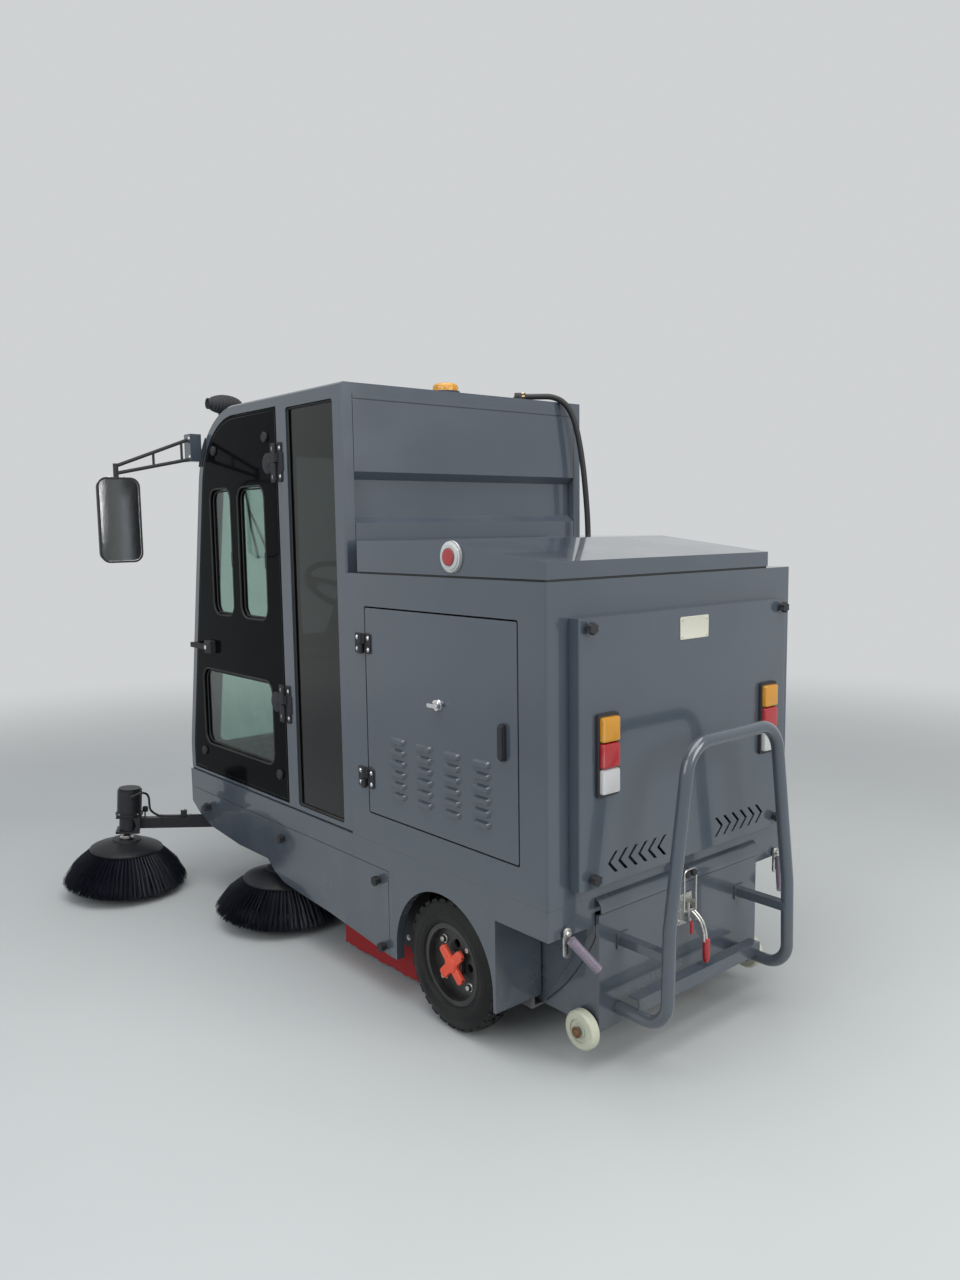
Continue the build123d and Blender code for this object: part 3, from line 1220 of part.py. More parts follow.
def bin_roller(side):
    """Nylon roller beside the bin, with chamfered edges and a recess round its hub."""
    half = BIN_ROLLER_WIDTH / 2
    outer, inner, depth = BIN_ROLLER_RECESS
    section = closed_face((
        (-half, BIN_STUB_R + BEARING_CLEARANCE),
        (-half, BIN_ROLLER_R - BIN_ROLLER_EDGE),
        (-half + BIN_ROLLER_EDGE, BIN_ROLLER_R),
        (half - BIN_ROLLER_EDGE, BIN_ROLLER_R),
        (half, BIN_ROLLER_R - BIN_ROLLER_EDGE),
        (half, outer),
        (half - depth, outer),
        (half - depth, inner),
        (half, inner),
        (half, BIN_STUB_R + BEARING_CLEARANCE),
    ))
    wheel = revolve(section, Axis.X)
    if side < 0:
        wheel = mirror(wheel, about=Plane.YZ)
    return Pos(side * BIN_ROLLER_X, BIN_ROLLER_Y, BIN_ROLLER_Z) * wheel


def bin_handle():
    """Bent tube handle with its step bar and struts."""
    left = [(x, y, z) for x, y, z, _ in HANDLE_POINTS]
    right = [(-x, y, z) for x, y, z in reversed(left)]
    bends = [radius for _, _, _, radius in HANDLE_POINTS[1:]]
    path = FilletPolyline(*left, *right, radius=[*bends, *reversed(bends)])
    tube = sweep(Plane(origin=left[0], z_dir=(0, 1, 0)) * Circle(HANDLE_TUBE_R), path=path)
    leg_x = HANDLE_POINTS[1][0]
    step_x = (-leg_x, leg_x)
    frame = tube + block(step_x, STEP_BAR_Y, (STEP_BAR_Z[1] - STEP_BAR_SHEET, STEP_BAR_Z[1]))
    frame += block(step_x, (STEP_BAR_Y[1] - STEP_BAR_SHEET, STEP_BAR_Y[1]), STEP_BAR_Z)
    width, height = STRUT_SIZE
    tab, tab_sheet = STRUT_TAB
    strut_z = (STRUT_Z - height / 2, STRUT_Z + height / 2)
    tab_z = (STRUT_Z - tab / 2, STRUT_Z + tab / 2)
    for x in (-STRUT_X, STRUT_X):
        frame += block((x - width / 2, x + width / 2), (BIN_REAR_Y, HANDLE_Y), strut_z)
        frame += block((x - tab / 2, x + tab / 2), (BIN_REAR_Y, BIN_REAR_Y + tab_sheet), tab_z)
    return frame


def bin_latch():
    """Toggle latch on the bin: base, body, wire loop to the hooks, lever and grips."""
    width, depth, height = LATCH_BASE
    base_y = (BIN_REAR_Y, BIN_REAR_Y + depth)
    latch = block((-width / 2, width / 2), base_y, (LATCH_BASE_Z, LATCH_BASE_Z + height))
    width, reach, body_height = LATCH_BODY
    body_z = LATCH_BASE_Z + (height - body_height) / 2
    body_y = (base_y[1], base_y[1] + reach)
    latch += block((-width / 2, width / 2), body_y, (body_z, body_z + body_height))
    pivot = ((-LATCH_WIRE_X, LATCH_WIRE_Y, LATCH_PIVOT_Z), (LATCH_WIRE_X, LATCH_WIRE_Y, LATCH_PIVOT_Z))
    top = ((-LATCH_WIRE_X, LATCH_WIRE_Y, LATCH_LOOP_TOP_Z), (LATCH_WIRE_X, LATCH_WIRE_Y, LATCH_LOOP_TOP_Z))
    for start, end in (pivot, (pivot[0], top[0]), (pivot[1], top[1]), top):
        latch += rod(start, end, LATCH_WIRE_R)
    for x in (-LATCH_WIRE_X, LATCH_WIRE_X):
        for z in (LATCH_PIVOT_Z, LATCH_LOOP_TOP_Z):
            latch += Pos(x, LATCH_WIRE_Y, z) * Sphere(LATCH_WIRE_R)
    points = [(x, BIN_REAR_Y + behind, z) for x, behind, z in LATCH_ARM]
    for start, end in zip(points, points[1:]):
        latch += rod(start, end, LATCH_ARM_R) + Pos(*end) * Sphere(LATCH_ARM_R)
    x, y, z = points[-1]
    latch += rod((x, y, z), (x, y, LATCH_GRIP_END_Z), LATCH_GRIP_R)
    x, behind, high_z, low_z = LATCH_TIP
    latch += block((x - LATCH_TIP_R, x + LATCH_TIP_R), body_y, (high_z - LATCH_TIP_R, high_z))
    return latch + rod((x, BIN_REAR_Y + behind, high_z), (x, BIN_REAR_Y + behind, low_z), LATCH_TIP_R)


def corner_levers():
    """Small levers under the corners of the valance: bolt, slotted plate and sleeve."""
    radius, length = LEVER_BOLT
    width, sheet, height = LEVER_PLATE
    bolt_z = LEVER_PLATE_TOP_Z - width / 2
    lever = rod((LEVER_X, 0, bolt_z), (LEVER_X, LEVER_Y + sheet + length, bolt_z), radius)
    plate = Pos(LEVER_X, LEVER_Y, LEVER_PLATE_TOP_Z - height / 2) * Rot(90, 0, 0) * extrude(
        SlotOverall(height, width, rotation=90), amount=-sheet
    )
    slot = Pos(LEVER_X, LEVER_Y, LEVER_PLATE_TOP_Z - height / 2) * Rot(90, 0, 0) * extrude(
        SlotOverall(height / 2, width / 3, rotation=90), amount=-sheet
    )
    start = (LEVER_X, LEVER_Y + sheet + LEVER_SLEEVE_R, bolt_z - radius)
    end = tuple(value + offset for value, offset in zip(start, LEVER_SLEEVE))
    lever += plate - slot + rod(start, end, LEVER_SLEEVE_R)
    return Compound(children=both_sides(lever))


def driver_seat():
    """Seat cushion and back."""
    cushion = block((-SEAT_HALF_WIDTH, SEAT_HALF_WIDTH), SEAT_Y, SEAT_Z)
    back = block((-SEAT_HALF_WIDTH, SEAT_HALF_WIDTH), SEAT_BACK_Y, (SEAT_Z[0], SEAT_BACK_TOP_Z))
    pads = [fillet(pad.edges().filter_by(Axis.X), SEAT_EDGE_R) for pad in (cushion, back)]
    return pads[0] + pads[1]


def cab_floor():
    """Cab floor with the seat pedestal, console, steering column and pedals."""
    floor_z = (SEAM_Z, SEAM_Z + FLOOR_SHEET)
    floor_y = (CAB_FRONT_Y + CAB_SKIN, CAB_REAR_Y - REAR_PANEL_DEPTH)
    floor = block((-CAB_INNER_X, CAB_INNER_X), floor_y, floor_z)
    pedestal_y = (SEAT_Y[0] + PEDESTAL_INSET, SEAT_BACK_Y[1])
    floor += block((-SEAT_HALF_WIDTH, SEAT_HALF_WIDTH), pedestal_y, (SEAM_Z, SEAT_Z[0]))
    console = closed_face([(CAB_FRONT_Y + behind, SEAM_Z + height) for behind, height in CONSOLE_PROFILE])
    floor += side_solid(console, (-CONSOLE_HALF_WIDTH, CONSOLE_HALF_WIDTH))
    tilt = math.radians(STEERING_TILT_DEG)
    way = Vector(0, math.sin(tilt), math.cos(tilt))
    centre = Vector(*STEERING_CENTRE)
    floor += rod(tuple(centre - way * COLUMN_LENGTH), tuple(centre - way * COLUMN_TOP), COLUMN_R)
    for x in PEDAL_X:
        pad = Pos(x, PEDAL_Y, PEDAL_Z) * Rot(PEDAL_TILT_DEG, 0, 0) * Box(*PEDAL_SIZE)
        floor += pad + rod((x, PEDAL_Y, floor_z[0]), (x, PEDAL_Y, PEDAL_Z), PEDAL_ARM_R)
    return floor


def steering_wheel():
    """Three-spoke steering wheel with a spinner knob."""
    ring_r = STEERING_R - STEERING_RIM_R
    section = Plane.XZ * (Pos(ring_r, 0) * RegularPolygon(STEERING_RIM_R, STEERING_RIM_SIDES))
    hub_r, hub_height = STEERING_HUB
    wheel = revolve(section, Axis.Z) + Pos(0, 0, -hub_height / 2) * Cylinder(hub_r, hub_height)
    width, height = SPOKE_SIZE
    for angle in STEERING_SPOKES:
        wheel += Rot(0, 0, angle) * block((0, ring_r), (-width / 2, width / 2), (-height, 0))
    knob_r, knob_height = SPINNER
    wheel += Pos(ring_r, 0, knob_height / 2 + STEERING_RIM_R / 2) * Cylinder(knob_r, knob_height)
    return Pos(*STEERING_CENTRE) * Rot(-STEERING_TILT_DEG, 0, 0) * wheel


def battery_pack():
    """Traction battery block in the upper body."""
    base = SEAM_Z + BODY_WALL
    return block(BATTERY_X, BATTERY_Y, (base, base + BATTERY_HEIGHT))


def mirror_set(side):
    """Outside mirror with its painted bracket and two-bar arm, side +1 for the left and -1 for the right."""
    x, y, z = MIRROR_ROOT
    x *= side
    ahead, behind, below, above = MIRROR_BRACKET
    arm = block((side * CAB_HALF, x), (y + ahead, y + behind), (z + below, z + above))
    outer, inner = MIRROR_BAND
    band = cab_outline(outer, CAB_REAR_Y, SEAM_Z) - cab_outline(inner, CAB_REAR_Y, SEAM_Z)
    reach, low, high = MIRROR_BAND_REACH
    plate = side_solid(band, (side * CAB_HALF, side * (CAB_HALF + MIRROR_PLATE)))
    arm += plate & block((side * CAB_HALF, x), (y + ahead, y + reach), (z + low, z + high))
    tip = (side * sum(MIRROR_HEAD_X) / 2, sum(MIRROR_HEAD_Y) / 2)
    root_x = x - side * MIRROR_POST_R
    bars = [
        (Vector(root_x, y, z - MIRROR_BAR_REACH), Vector(*tip, MIRROR_TIP_Z[0])),
        (Vector(root_x, y, z + MIRROR_BAR_REACH), Vector(*tip, MIRROR_TIP_Z[1])),
    ]
    for start, end in bars:
        arm += rod(tuple(start), tuple(end), MIRROR_BAR_R)
    for share in MIRROR_LINKS:
        low_end, high_end = (start + (end - start) * share for start, end in bars)
        arm += rod(tuple(low_end), tuple(high_end), MIRROR_LINK_R)
    post_z = (MIRROR_HEAD_Z[1] - MIRROR_POST_R, MIRROR_TIP_Z[1] + MIRROR_POST_R)
    arm += disc_z(*tip, post_z, MIRROR_POST_R)
    return arm + both_sides(mirror_head())[side < 0]


def mirror_head():
    """Mirror housing, tapered towards the front, with a recess for the glass."""
    plane = Plane(origin=(0, MIRROR_HEAD_Y[1], 0), x_dir=(1, 0, 0), z_dir=(0, -1, 0))
    head = extrude(
        plane * rounded_window(MIRROR_HEAD_X, MIRROR_HEAD_Z, MIRROR_CORNER_R),
        amount=MIRROR_HEAD_Y[1] - MIRROR_HEAD_Y[0],
        taper=MIRROR_TAPER_DEG,
    )
    rim_width, depth = MIRROR_RECESS
    glass_x = (MIRROR_HEAD_X[0] + rim_width, MIRROR_HEAD_X[1] - rim_width)
    glass_z = (MIRROR_HEAD_Z[0] + rim_width, MIRROR_HEAD_Z[1] - rim_width)
    glass = plane * rounded_window(glass_x, glass_z, MIRROR_CORNER_R - rim_width)
    return head - extrude(glass, amount=depth)


def beacon():
    """Low amber beacon with its stepped lens."""
    return stepped_rings(Plane(origin=(*BEACON_CENTRE, CAB_TOP_Z), z_dir=(0, 0, 1)), BEACON_RINGS)


def mist_fan():
    """Small ribbed dust-damping fan on the roof corner."""
    x, y, z = FAN_CENTRE
    section = [(0, 0), (FAN_R - FAN_RING_STEP, 0)]
    dome_y = FAN_BARREL_LENGTH
    for index in range(FAN_RINGS):
        share = index / FAN_RINGS
        radius = FAN_R * math.sqrt(1 - share**2)
        near = dome_y + FAN_DOME_LENGTH * (index - 0.5) / FAN_RINGS
        far = dome_y + FAN_DOME_LENGTH * index / FAN_RINGS
        step_r = radius - FAN_RING_STEP
        section += [(step_r, near), (radius, near), (radius, far), (step_r, far)]
    section += [(0, section[-1][1])]
    fan = Pos(x, y - FAN_BARREL_LENGTH, z) * revolve(closed_face(section), Axis.Y)
    half_width, length, below = FAN_FOOT
    foot = block((x - half_width, x + half_width), (y - length, y), (z - below, z))
    return fan + (foot - side_solid(cab_outline(0, CAB_REAR_Y, SEAM_Z), (x - half_width, x + half_width)))


def roof_hose():
    """Water hose over the roof's rear edge, straight runs joined by arcs."""
    points = [Vector(*point) for point in HOSE_POINTS]
    radii = []
    for before, corner, after in zip(points, points[1:], points[2:]):
        first = corner - before
        second = after - corner
        turn = math.radians(first.get_angle(second))
        radii.append(HOSE_BEND_SHARE * min(first.length, second.length) / math.tan(turn / 2))
    path = FilletPolyline(*points, radius=radii)
    tube = sweep(Plane(origin=points[0], z_dir=points[1] - points[0]) * Circle(HOSE_R), path=path)
    print("hose bend radii", [round(radius) for radius in radii])
    print("hose volume share", round(tube.volume / (math.pi * HOSE_R**2 * path.length), 4))
    print("hose length", round(path.length))
    return tube


def hose_glands():
    """Roof and body glands at the two ends of the hose."""
    first, second = (Vector(*point) for point in HOSE_POINTS[:2])
    way = (first - second).normalized()
    foot_length, foot_half = GLAND_FOOT
    roof = rod(tuple(first), tuple(first + way * GLAND_LENGTH), HOSE_R + GLAND_WALL)
    x, y, z = first + way * foot_length
    roof += block((x - foot_half, x + foot_half), (y - foot_half, y + foot_half), (CAB_TOP_Z, z))
    x, y, z = HOSE_POINTS[-1]
    return [roof, rod((x, y, BODY_TOP_Z), (x, y, z), HOSE_R + GLAND_WALL)]


def star_knob(plane):
    """Star-shaped hand knob that rises from a plane."""
    points = []
    for index in range(2 * KNOB_LOBES):
        radius = KNOB_VALLEY_R if index % 2 else KNOB_R
        angle = math.pi * index / KNOB_LOBES
        points.append((radius * math.cos(angle), radius * math.sin(angle)))
    head = extrude(plane.offset(KNOB_LENGTH / 3) * closed_face(points), amount=KNOB_LENGTH * 2 / 3)
    return head + extrude(plane * Circle(KNOB_VALLEY_R - PANEL_GAP), amount=KNOB_LENGTH / 2)


def small_hardware():
    """Star knobs, hose glands and the fixed halves of the door and lid hinges."""
    pieces = hose_glands()
    for y, z in SIDE_KNOBS:
        pieces.extend(both_sides(star_knob(Plane(origin=(BODY_HALF, y, z), z_dir=(1, 0, 0)))))
    for x, z in HATCH_KNOBS:
        pieces.extend(both_sides(star_knob(Plane(origin=(x, HATCH_DEPTH, z), z_dir=(0, 1, 0)))))
    for z in CAB_HINGE_Z:
        half = hinge_half(DOOR_HINGE, CAB_HALF, z, (HINGE_GAP, HINGE_LEAF_LENGTH), barrel=1)
        pieces.extend(both_sides(half))
    for z in SERVICE_HINGE_Z:
        half = hinge_half(SERVICE_HINGE, BODY_HALF, z, (-HINGE_LEAF_LENGTH, -HINGE_GAP), barrel=-1)
        pieces.extend(both_sides(half))
    for x in LID_HINGE_X:
        post_x = (x + LID_KNUCKLE + PANEL_GAP, x + 2 * LID_KNUCKLE)
        post_y = (LID_HINGE_Y - HINGE_BARREL_R, LID_HINGE_Y + HINGE_BARREL_R)
        post = block(post_x, post_y, (BODY_TOP_Z, LID_HINGE_Z))
        pieces.append(post + disc_x(post_x, LID_HINGE_Y, LID_HINGE_Z, HINGE_BARREL_R))
    return Compound(children=pieces)


def build_nodes():
    """All pieces by name, in the drawing frame."""
    nodes = {
        "chassis_frame": chassis_frame(),
        "cab_floor": cab_floor(),
        "front_apron": front_apron(),
        "headlamps": headlamps(),
        "cab_front": cab_front(),
        "cab_roof": cab_roof(),
        "cab_rear_panel": cab_rear_panel(),
        "cab_glazing": cab_glazing(),
        "driver_seat": driver_seat(),
        "steering_wheel": steering_wheel(),
        "body_box": body_box(),
        "rear_hatch": rear_hatch(),
        "tail_lamps": tail_lamps(),
        "rear_valance": rear_valance(),
        "corner_levers": corner_levers(),
        "battery_pack": battery_pack(),
        "lid": lid(),
        "lid_seal": lid_seal(),
        "beacon": beacon(),
        "mist_fan": mist_fan(),
        "roof_hose": roof_hose(),
        "small_hardware": small_hardware(),
        "brush_housing": brush_housing(),
        "roller_brush": roller_brush(),
        "rubber_skirts": rubber_skirts(),
        "steering_fork": steering_fork(),
        "tyre_front": tyre(0, FRONT_AXLE_Y),
        "rim_front": rim(0, FRONT_AXLE_Y, 1, through=True),
        "dust_bin": dust_bin(),
        "bin_handle": bin_handle(),
        "bin_latch": bin_latch(),
        "cab_sides": Compound(children=both_sides(cab_side())),
        "skirts": Compound(children=both_sides(skirt())),
        "access_panels": Compound(children=both_sides(access_panel())),
        "mirrors": Compound(children=[mirror_set(1), mirror_set(-1)]),
    }
    for side_name, side in (("left", 1), ("right", -1)):
        nodes[f"tyre_rear_{side_name}"] = tyre(side * REAR_WHEEL_X, REAR_AXLE_Y)
        nodes[f"rim_rear_{side_name}"] = rim(side * REAR_WHEEL_X, REAR_AXLE_Y, side, through=False)
        nodes[f"bin_roller_{side_name}"] = bin_roller(side)
    handed = {
        "cab_door": cab_door(),
        "cab_door_glass": cab_door_glass(),
        "cab_door_fittings": cab_door_fittings(),
        "service_door": service_door(),
        "service_fittings": service_fittings(),
    }
    for name, *places, motor_height, bristle_drop in SIDE_BRUSHES:
        handed[f"brush_{name}"] = side_brush(*places, bristle_drop)
        handed[f"arm_{name}"] = brush_arm(*places, motor_height)
    for name, shape in handed.items():
        nodes[f"{name}_left"], nodes[f"{name}_right"] = both_sides(shape)
    return nodes


os.makedirs("parts", exist_ok=True)
for node_name, node_shape in build_nodes().items():
    placed = [Pos(0, -ORIGIN_Y, 0) * solid for solid in node_shape.solids()]
    export_step(placed[0] if len(placed) == 1 else Compound(children=placed), f"parts/{node_name}.step")
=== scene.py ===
"""Dresses the compact road sweeper: finishes, wheels, brushes, cab, covers and bin, in a plain studio."""
import sys
import json
import logging
import math
import random
from dataclasses import dataclass
from enum import Enum
from typing import Iterable, Sequence

import bmesh
import bpy
from mathutils import Matrix, Vector


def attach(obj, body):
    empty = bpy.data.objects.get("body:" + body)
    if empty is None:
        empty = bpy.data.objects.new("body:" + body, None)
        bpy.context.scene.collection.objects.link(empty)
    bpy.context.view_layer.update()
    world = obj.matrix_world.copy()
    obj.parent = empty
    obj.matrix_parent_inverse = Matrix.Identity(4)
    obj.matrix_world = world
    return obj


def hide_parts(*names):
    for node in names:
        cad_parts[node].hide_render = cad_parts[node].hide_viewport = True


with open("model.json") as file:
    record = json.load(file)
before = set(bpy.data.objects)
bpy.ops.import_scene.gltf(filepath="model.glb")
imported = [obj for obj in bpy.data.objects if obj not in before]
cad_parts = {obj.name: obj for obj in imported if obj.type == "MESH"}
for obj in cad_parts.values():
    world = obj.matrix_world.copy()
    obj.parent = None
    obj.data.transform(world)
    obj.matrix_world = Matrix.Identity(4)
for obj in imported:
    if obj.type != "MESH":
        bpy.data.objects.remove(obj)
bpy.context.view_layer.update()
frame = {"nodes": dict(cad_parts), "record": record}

LOG = logging.getLogger("sweeper")

# Shared sizes of the sweeper, in metres, with +X to its left, +Y to its rear and +Z up
BODY_HALF = 0.559
CAB_HALF = 0.554
CAB_FRONT_Y = -1.033
BODY_TOP_Z = 1.390
CAB_TOP_Z = 2.006
CAB_LEAN_DEG = 9.7
COVER_FACE_Y = 1.224
TYRE_R = 0.2075

# Thickness of a covering over a CAD face, and the outward directions of the sweeper's faces
COVERING = 0.0004
LEFTWARD = (1, 0, 0)
FORWARD = (0, -1, 0)
REARWARD = (0, 1, 0)

Flat = tuple[float, float]
Point = tuple[float, float, float]
Colour = tuple[float, float, float, float]
SIDES: tuple[tuple[str, float], ...] = (("left", 1.0), ("right", -1.0))


def rgb(red: float, green: float, blue: float) -> Colour:
    """Colour of a socket from linear red, green and blue."""
    return (red, green, blue, 1.0)


class Sheet:
    """A node tree with short calls for its nodes and links."""

    def __init__(self, tree: bpy.types.NodeTree) -> None:
        """Clears the tree and keeps it."""
        self.tree = tree
        tree.nodes.clear()

    def add(self, kind: str, inputs: dict | None = None, **settings: object) -> bpy.types.Node:
        """Adds a node.

        Args:
            kind: The node's type name without the ShaderNode prefix.
            inputs: Values or output sockets for the node's inputs, by name or index.
            settings: Properties of the node.

        Returns:
            The new node.
        """
        node = self.tree.nodes.new(kind if kind.startswith("NodeGroup") else f"ShaderNode{kind}")
        for key, value in settings.items():
            setattr(node, key, value)
        for key, value in (inputs or {}).items():
            if isinstance(value, bpy.types.NodeSocket):
                self.tree.links.new(value, node.inputs[key])
            else:
                node.inputs[key].default_value = value
        return node

    def math(self, operation: str, *values: object, clamp: bool = False) -> bpy.types.NodeSocket:
        """Result of a math node on values or sockets."""
        inputs = dict(enumerate(values))
        return self.add("Math", inputs, operation=operation, use_clamp=clamp).outputs[0]

    def mix(self, factor: object, first: object, second: object) -> bpy.types.NodeSocket:
        """Colour between two colours by a factor."""
        return self.add("Mix", {0: factor, 6: first, 7: second}, data_type="RGBA").outputs[2]

    def place(self) -> bpy.types.NodeSocket:
        """Coordinates that stay with the object."""
        return self.add("TexCoord").outputs["Object"]

    def noise(self, scale: object, detail: float = 4.0, place: object = None) -> bpy.types.NodeSocket:
        """Noise value at a scale."""
        vector = place if place is not None else self.place()
        return self.add("TexNoise", {"Vector": vector, "Scale": scale, "Detail": detail}).outputs[0]

    def window(self, value: object, low: float, high: float) -> bpy.types.NodeSocket:
        """Value mapped smoothly from 0 at low to 1 at high."""
        node = self.add("MapRange", {0: value, 1: low, 2: high}, interpolation_type="SMOOTHSTEP")
        return node.outputs[0]

    def group(self, tree: bpy.types.NodeTree, inputs: dict) -> bpy.types.Node:
        """Places a shared effect with its values."""
        return self.add("Group", inputs, node_tree=tree)


class Effect:
    """A shared node group with named inputs and outputs, built once."""

    KINDS = {float: "NodeSocketFloat", tuple: "NodeSocketColor", Vector: "NodeSocketVector"}

    def __init__(self, name: str, inputs: dict[str, object], outputs: dict[str, type]) -> None:
        """Makes the group's sockets.

        Args:
            name: The group's name.
            inputs: Default value of each input by name.
            outputs: Type of each output by name.
        """
        self.tree = bpy.data.node_groups.new(name, "ShaderNodeTree")
        self.sheet = Sheet(self.tree)
        for socket, value in inputs.items():
            made = self.tree.interface.new_socket(
                socket, in_out="INPUT", socket_type=self.KINDS[type(value)],
            )
            made.default_value = value
        for socket, kind in outputs.items():
            self.tree.interface.new_socket(socket, in_out="OUTPUT", socket_type=self.KINDS[kind])
        self.given = self.sheet.add("NodeGroupInput").outputs
        self.result = self.sheet.add("NodeGroupOutput").inputs

    def put(self, name: str, socket: bpy.types.NodeSocket) -> None:
        """Sends a socket to an output of the group."""
        self.tree.links.new(socket, self.result[name])


def settled_dust() -> bpy.types.NodeTree:
    """Dust that lies on faces that look up and low on the vehicle.

    Returns:
        The group, with the dusted Colour and the Mask of the dust.
    """
    effect = Effect(
        "settled_dust",
        {"Colour": rgb(0.5, 0.5, 0.5), "Dust": rgb(0.3, 0.28, 0.25), "Amount": 0.3, "Scale": 6.0},
        {"Colour": tuple, "Mask": float},
    )
    sheet, given = effect.sheet, effect.given
    normal = sheet.add("SeparateXYZ", {0: sheet.add("NewGeometry").outputs["Normal"]}).outputs[2]
    height = sheet.add("SeparateXYZ", {0: sheet.place()}).outputs[2]
    up = sheet.window(normal, 0.2, 0.95)
    low = sheet.window(height, 0.75, 0.1)
    lying = sheet.math("MAXIMUM", sheet.math("MULTIPLY", up, 0.55), low)
    broken = sheet.window(sheet.noise(given["Scale"], 8.0), 0.32, 0.72)
    fine = sheet.window(sheet.noise(180.0, 3.0), 0.25, 0.75)
    grains = sheet.math("MULTIPLY", broken, sheet.math("MULTIPLY_ADD", fine, 0.5, 0.5))
    mask = sheet.math("MULTIPLY", sheet.math("MULTIPLY", lying, grains), given["Amount"], clamp=True)
    effect.put("Mask", mask)
    effect.put("Colour", sheet.mix(mask, given["Colour"], given["Dust"]))
    return effect.tree


def edge_wear() -> bpy.types.NodeTree:
    """Worn mask and softened normal along edges.

    Returns:
        The group, with the Mask of the wear and the softened Normal.
    """
    effect = Effect(
        "edge_wear", {"Radius": 0.002, "Amount": 0.5, "Scale": 40.0}, {"Mask": float, "Normal": Vector},
    )
    sheet, given = effect.sheet, effect.given
    soft = sheet.add("Bevel", {"Radius": given["Radius"]}, samples=4).outputs[0]
    sharp = sheet.add("NewGeometry").outputs["Normal"]
    along = sheet.add("VectorMath", {0: soft, 1: sharp}, operation="DOT_PRODUCT").outputs["Value"]
    edge = sheet.window(along, 0.985, 0.86)
    chips = sheet.window(sheet.noise(given["Scale"], 6.0), 0.44, 0.62)
    mask = sheet.math("MULTIPLY", sheet.math("MULTIPLY", edge, chips), given["Amount"], clamp=True)
    effect.put("Mask", mask)
    effect.put("Normal", soft)
    return effect.tree


def fine_grain() -> bpy.types.NodeTree:
    """Grain height, uneven roughness and slow change of tone.

    Returns:
        The group, with the grain's Height, a Roughness between two values and a Tone from 0 to 1.
    """
    effect = Effect(
        "fine_grain",
        {"Scale": 400.0, "Low": 0.3, "High": 0.5, "Patches": 5.0},
        {"Height": float, "Roughness": float, "Tone": float},
    )
    sheet, given = effect.sheet, effect.given
    patches = sheet.window(sheet.noise(given["Patches"], 6.0), 0.3, 0.7)
    reach = sheet.math("SUBTRACT", given["High"], given["Low"])
    effect.put("Height", sheet.noise(given["Scale"], 2.0))
    effect.put("Roughness", sheet.math("MULTIPLY_ADD", patches, reach, given["Low"]))
    effect.put("Tone", patches)
    return effect.tree


DUST = settled_dust()
WEAR = edge_wear()
GRAIN = fine_grain()


@dataclass(frozen=True)
class Finish:
    """A named finish. Its material is built the first time that a piece asks for it."""

    name: str

    def material(self) -> bpy.types.Material:
        """The finish's one material.

        Returns:
            The material.
        """
        found = bpy.data.materials.get(self.name)
        if found is not None:
            return found
        made = bpy.data.materials.new(self.name)
        made.use_nodes = True
        sheet = Sheet(made.node_tree)
        shader = sheet.add("BsdfPrincipled")
        sheet.add("OutputMaterial", {"Surface": shader.outputs[0]})
        self.lay(sheet, shader)
        return made

    def lay(self, sheet: Sheet, shader: bpy.types.Node) -> None:
        """Builds the finish's nodes in front of its shader."""
        raise NotImplementedError


@dataclass(frozen=True)
class CoatedFinish(Finish):
    """Paint, plastic, rubber or vinyl: a colour with grain, worn edges and dust."""

    colour: Colour
    low: float = 0.3
    high: float = 0.5
    coat: float = 0.0
    specular: float = 0.5
    grain: float = 400.0
    bump: float = 0.05
    worn: Colour = rgb(0.2, 0.2, 0.2)
    wear: float = 0.3
    radius: float = 0.0015
    dust: float = 0.3
    contrast: float = 0.12

    def lay(self, sheet: Sheet, shader: bpy.types.Node) -> None:
        """Colour by patches, then wear and dust over it.

        Args:
            sheet: The material's nodes.
            shader: The material's shader.
        """
        grain = sheet.group(GRAIN, {"Scale": self.grain, "Low": self.low, "High": self.high, "Patches": 4.0})
        wear = sheet.group(WEAR, {"Radius": self.radius, "Amount": self.wear, "Scale": 60.0})
        dark = rgb(*(channel * (1 - self.contrast) for channel in self.colour[:3]))
        tone = sheet.mix(grain.outputs["Tone"], dark, self.colour)
        worn = sheet.mix(wear.outputs["Mask"], tone, self.worn)
        dust = sheet.group(DUST, {"Colour": worn, "Amount": self.dust})
        rough = sheet.math("MULTIPLY_ADD", dust.outputs["Mask"], 0.5, grain.outputs["Roughness"], clamp=True)
        bump = sheet.add(
            "Bump",
            {
                "Strength": self.bump, "Distance": 0.001, "Height": grain.outputs["Height"],
                "Normal": wear.outputs["Normal"],
            },
        )
        sheet.tree.links.new(dust.outputs["Colour"], shader.inputs["Base Color"])
        sheet.tree.links.new(rough, shader.inputs["Roughness"])
        sheet.tree.links.new(bump.outputs[0], shader.inputs["Normal"])
        shader.inputs["Coat Weight"].default_value = self.coat
        shader.inputs["Coat Roughness"].default_value = 0.03
        shader.inputs["Specular IOR Level"].default_value = self.specular


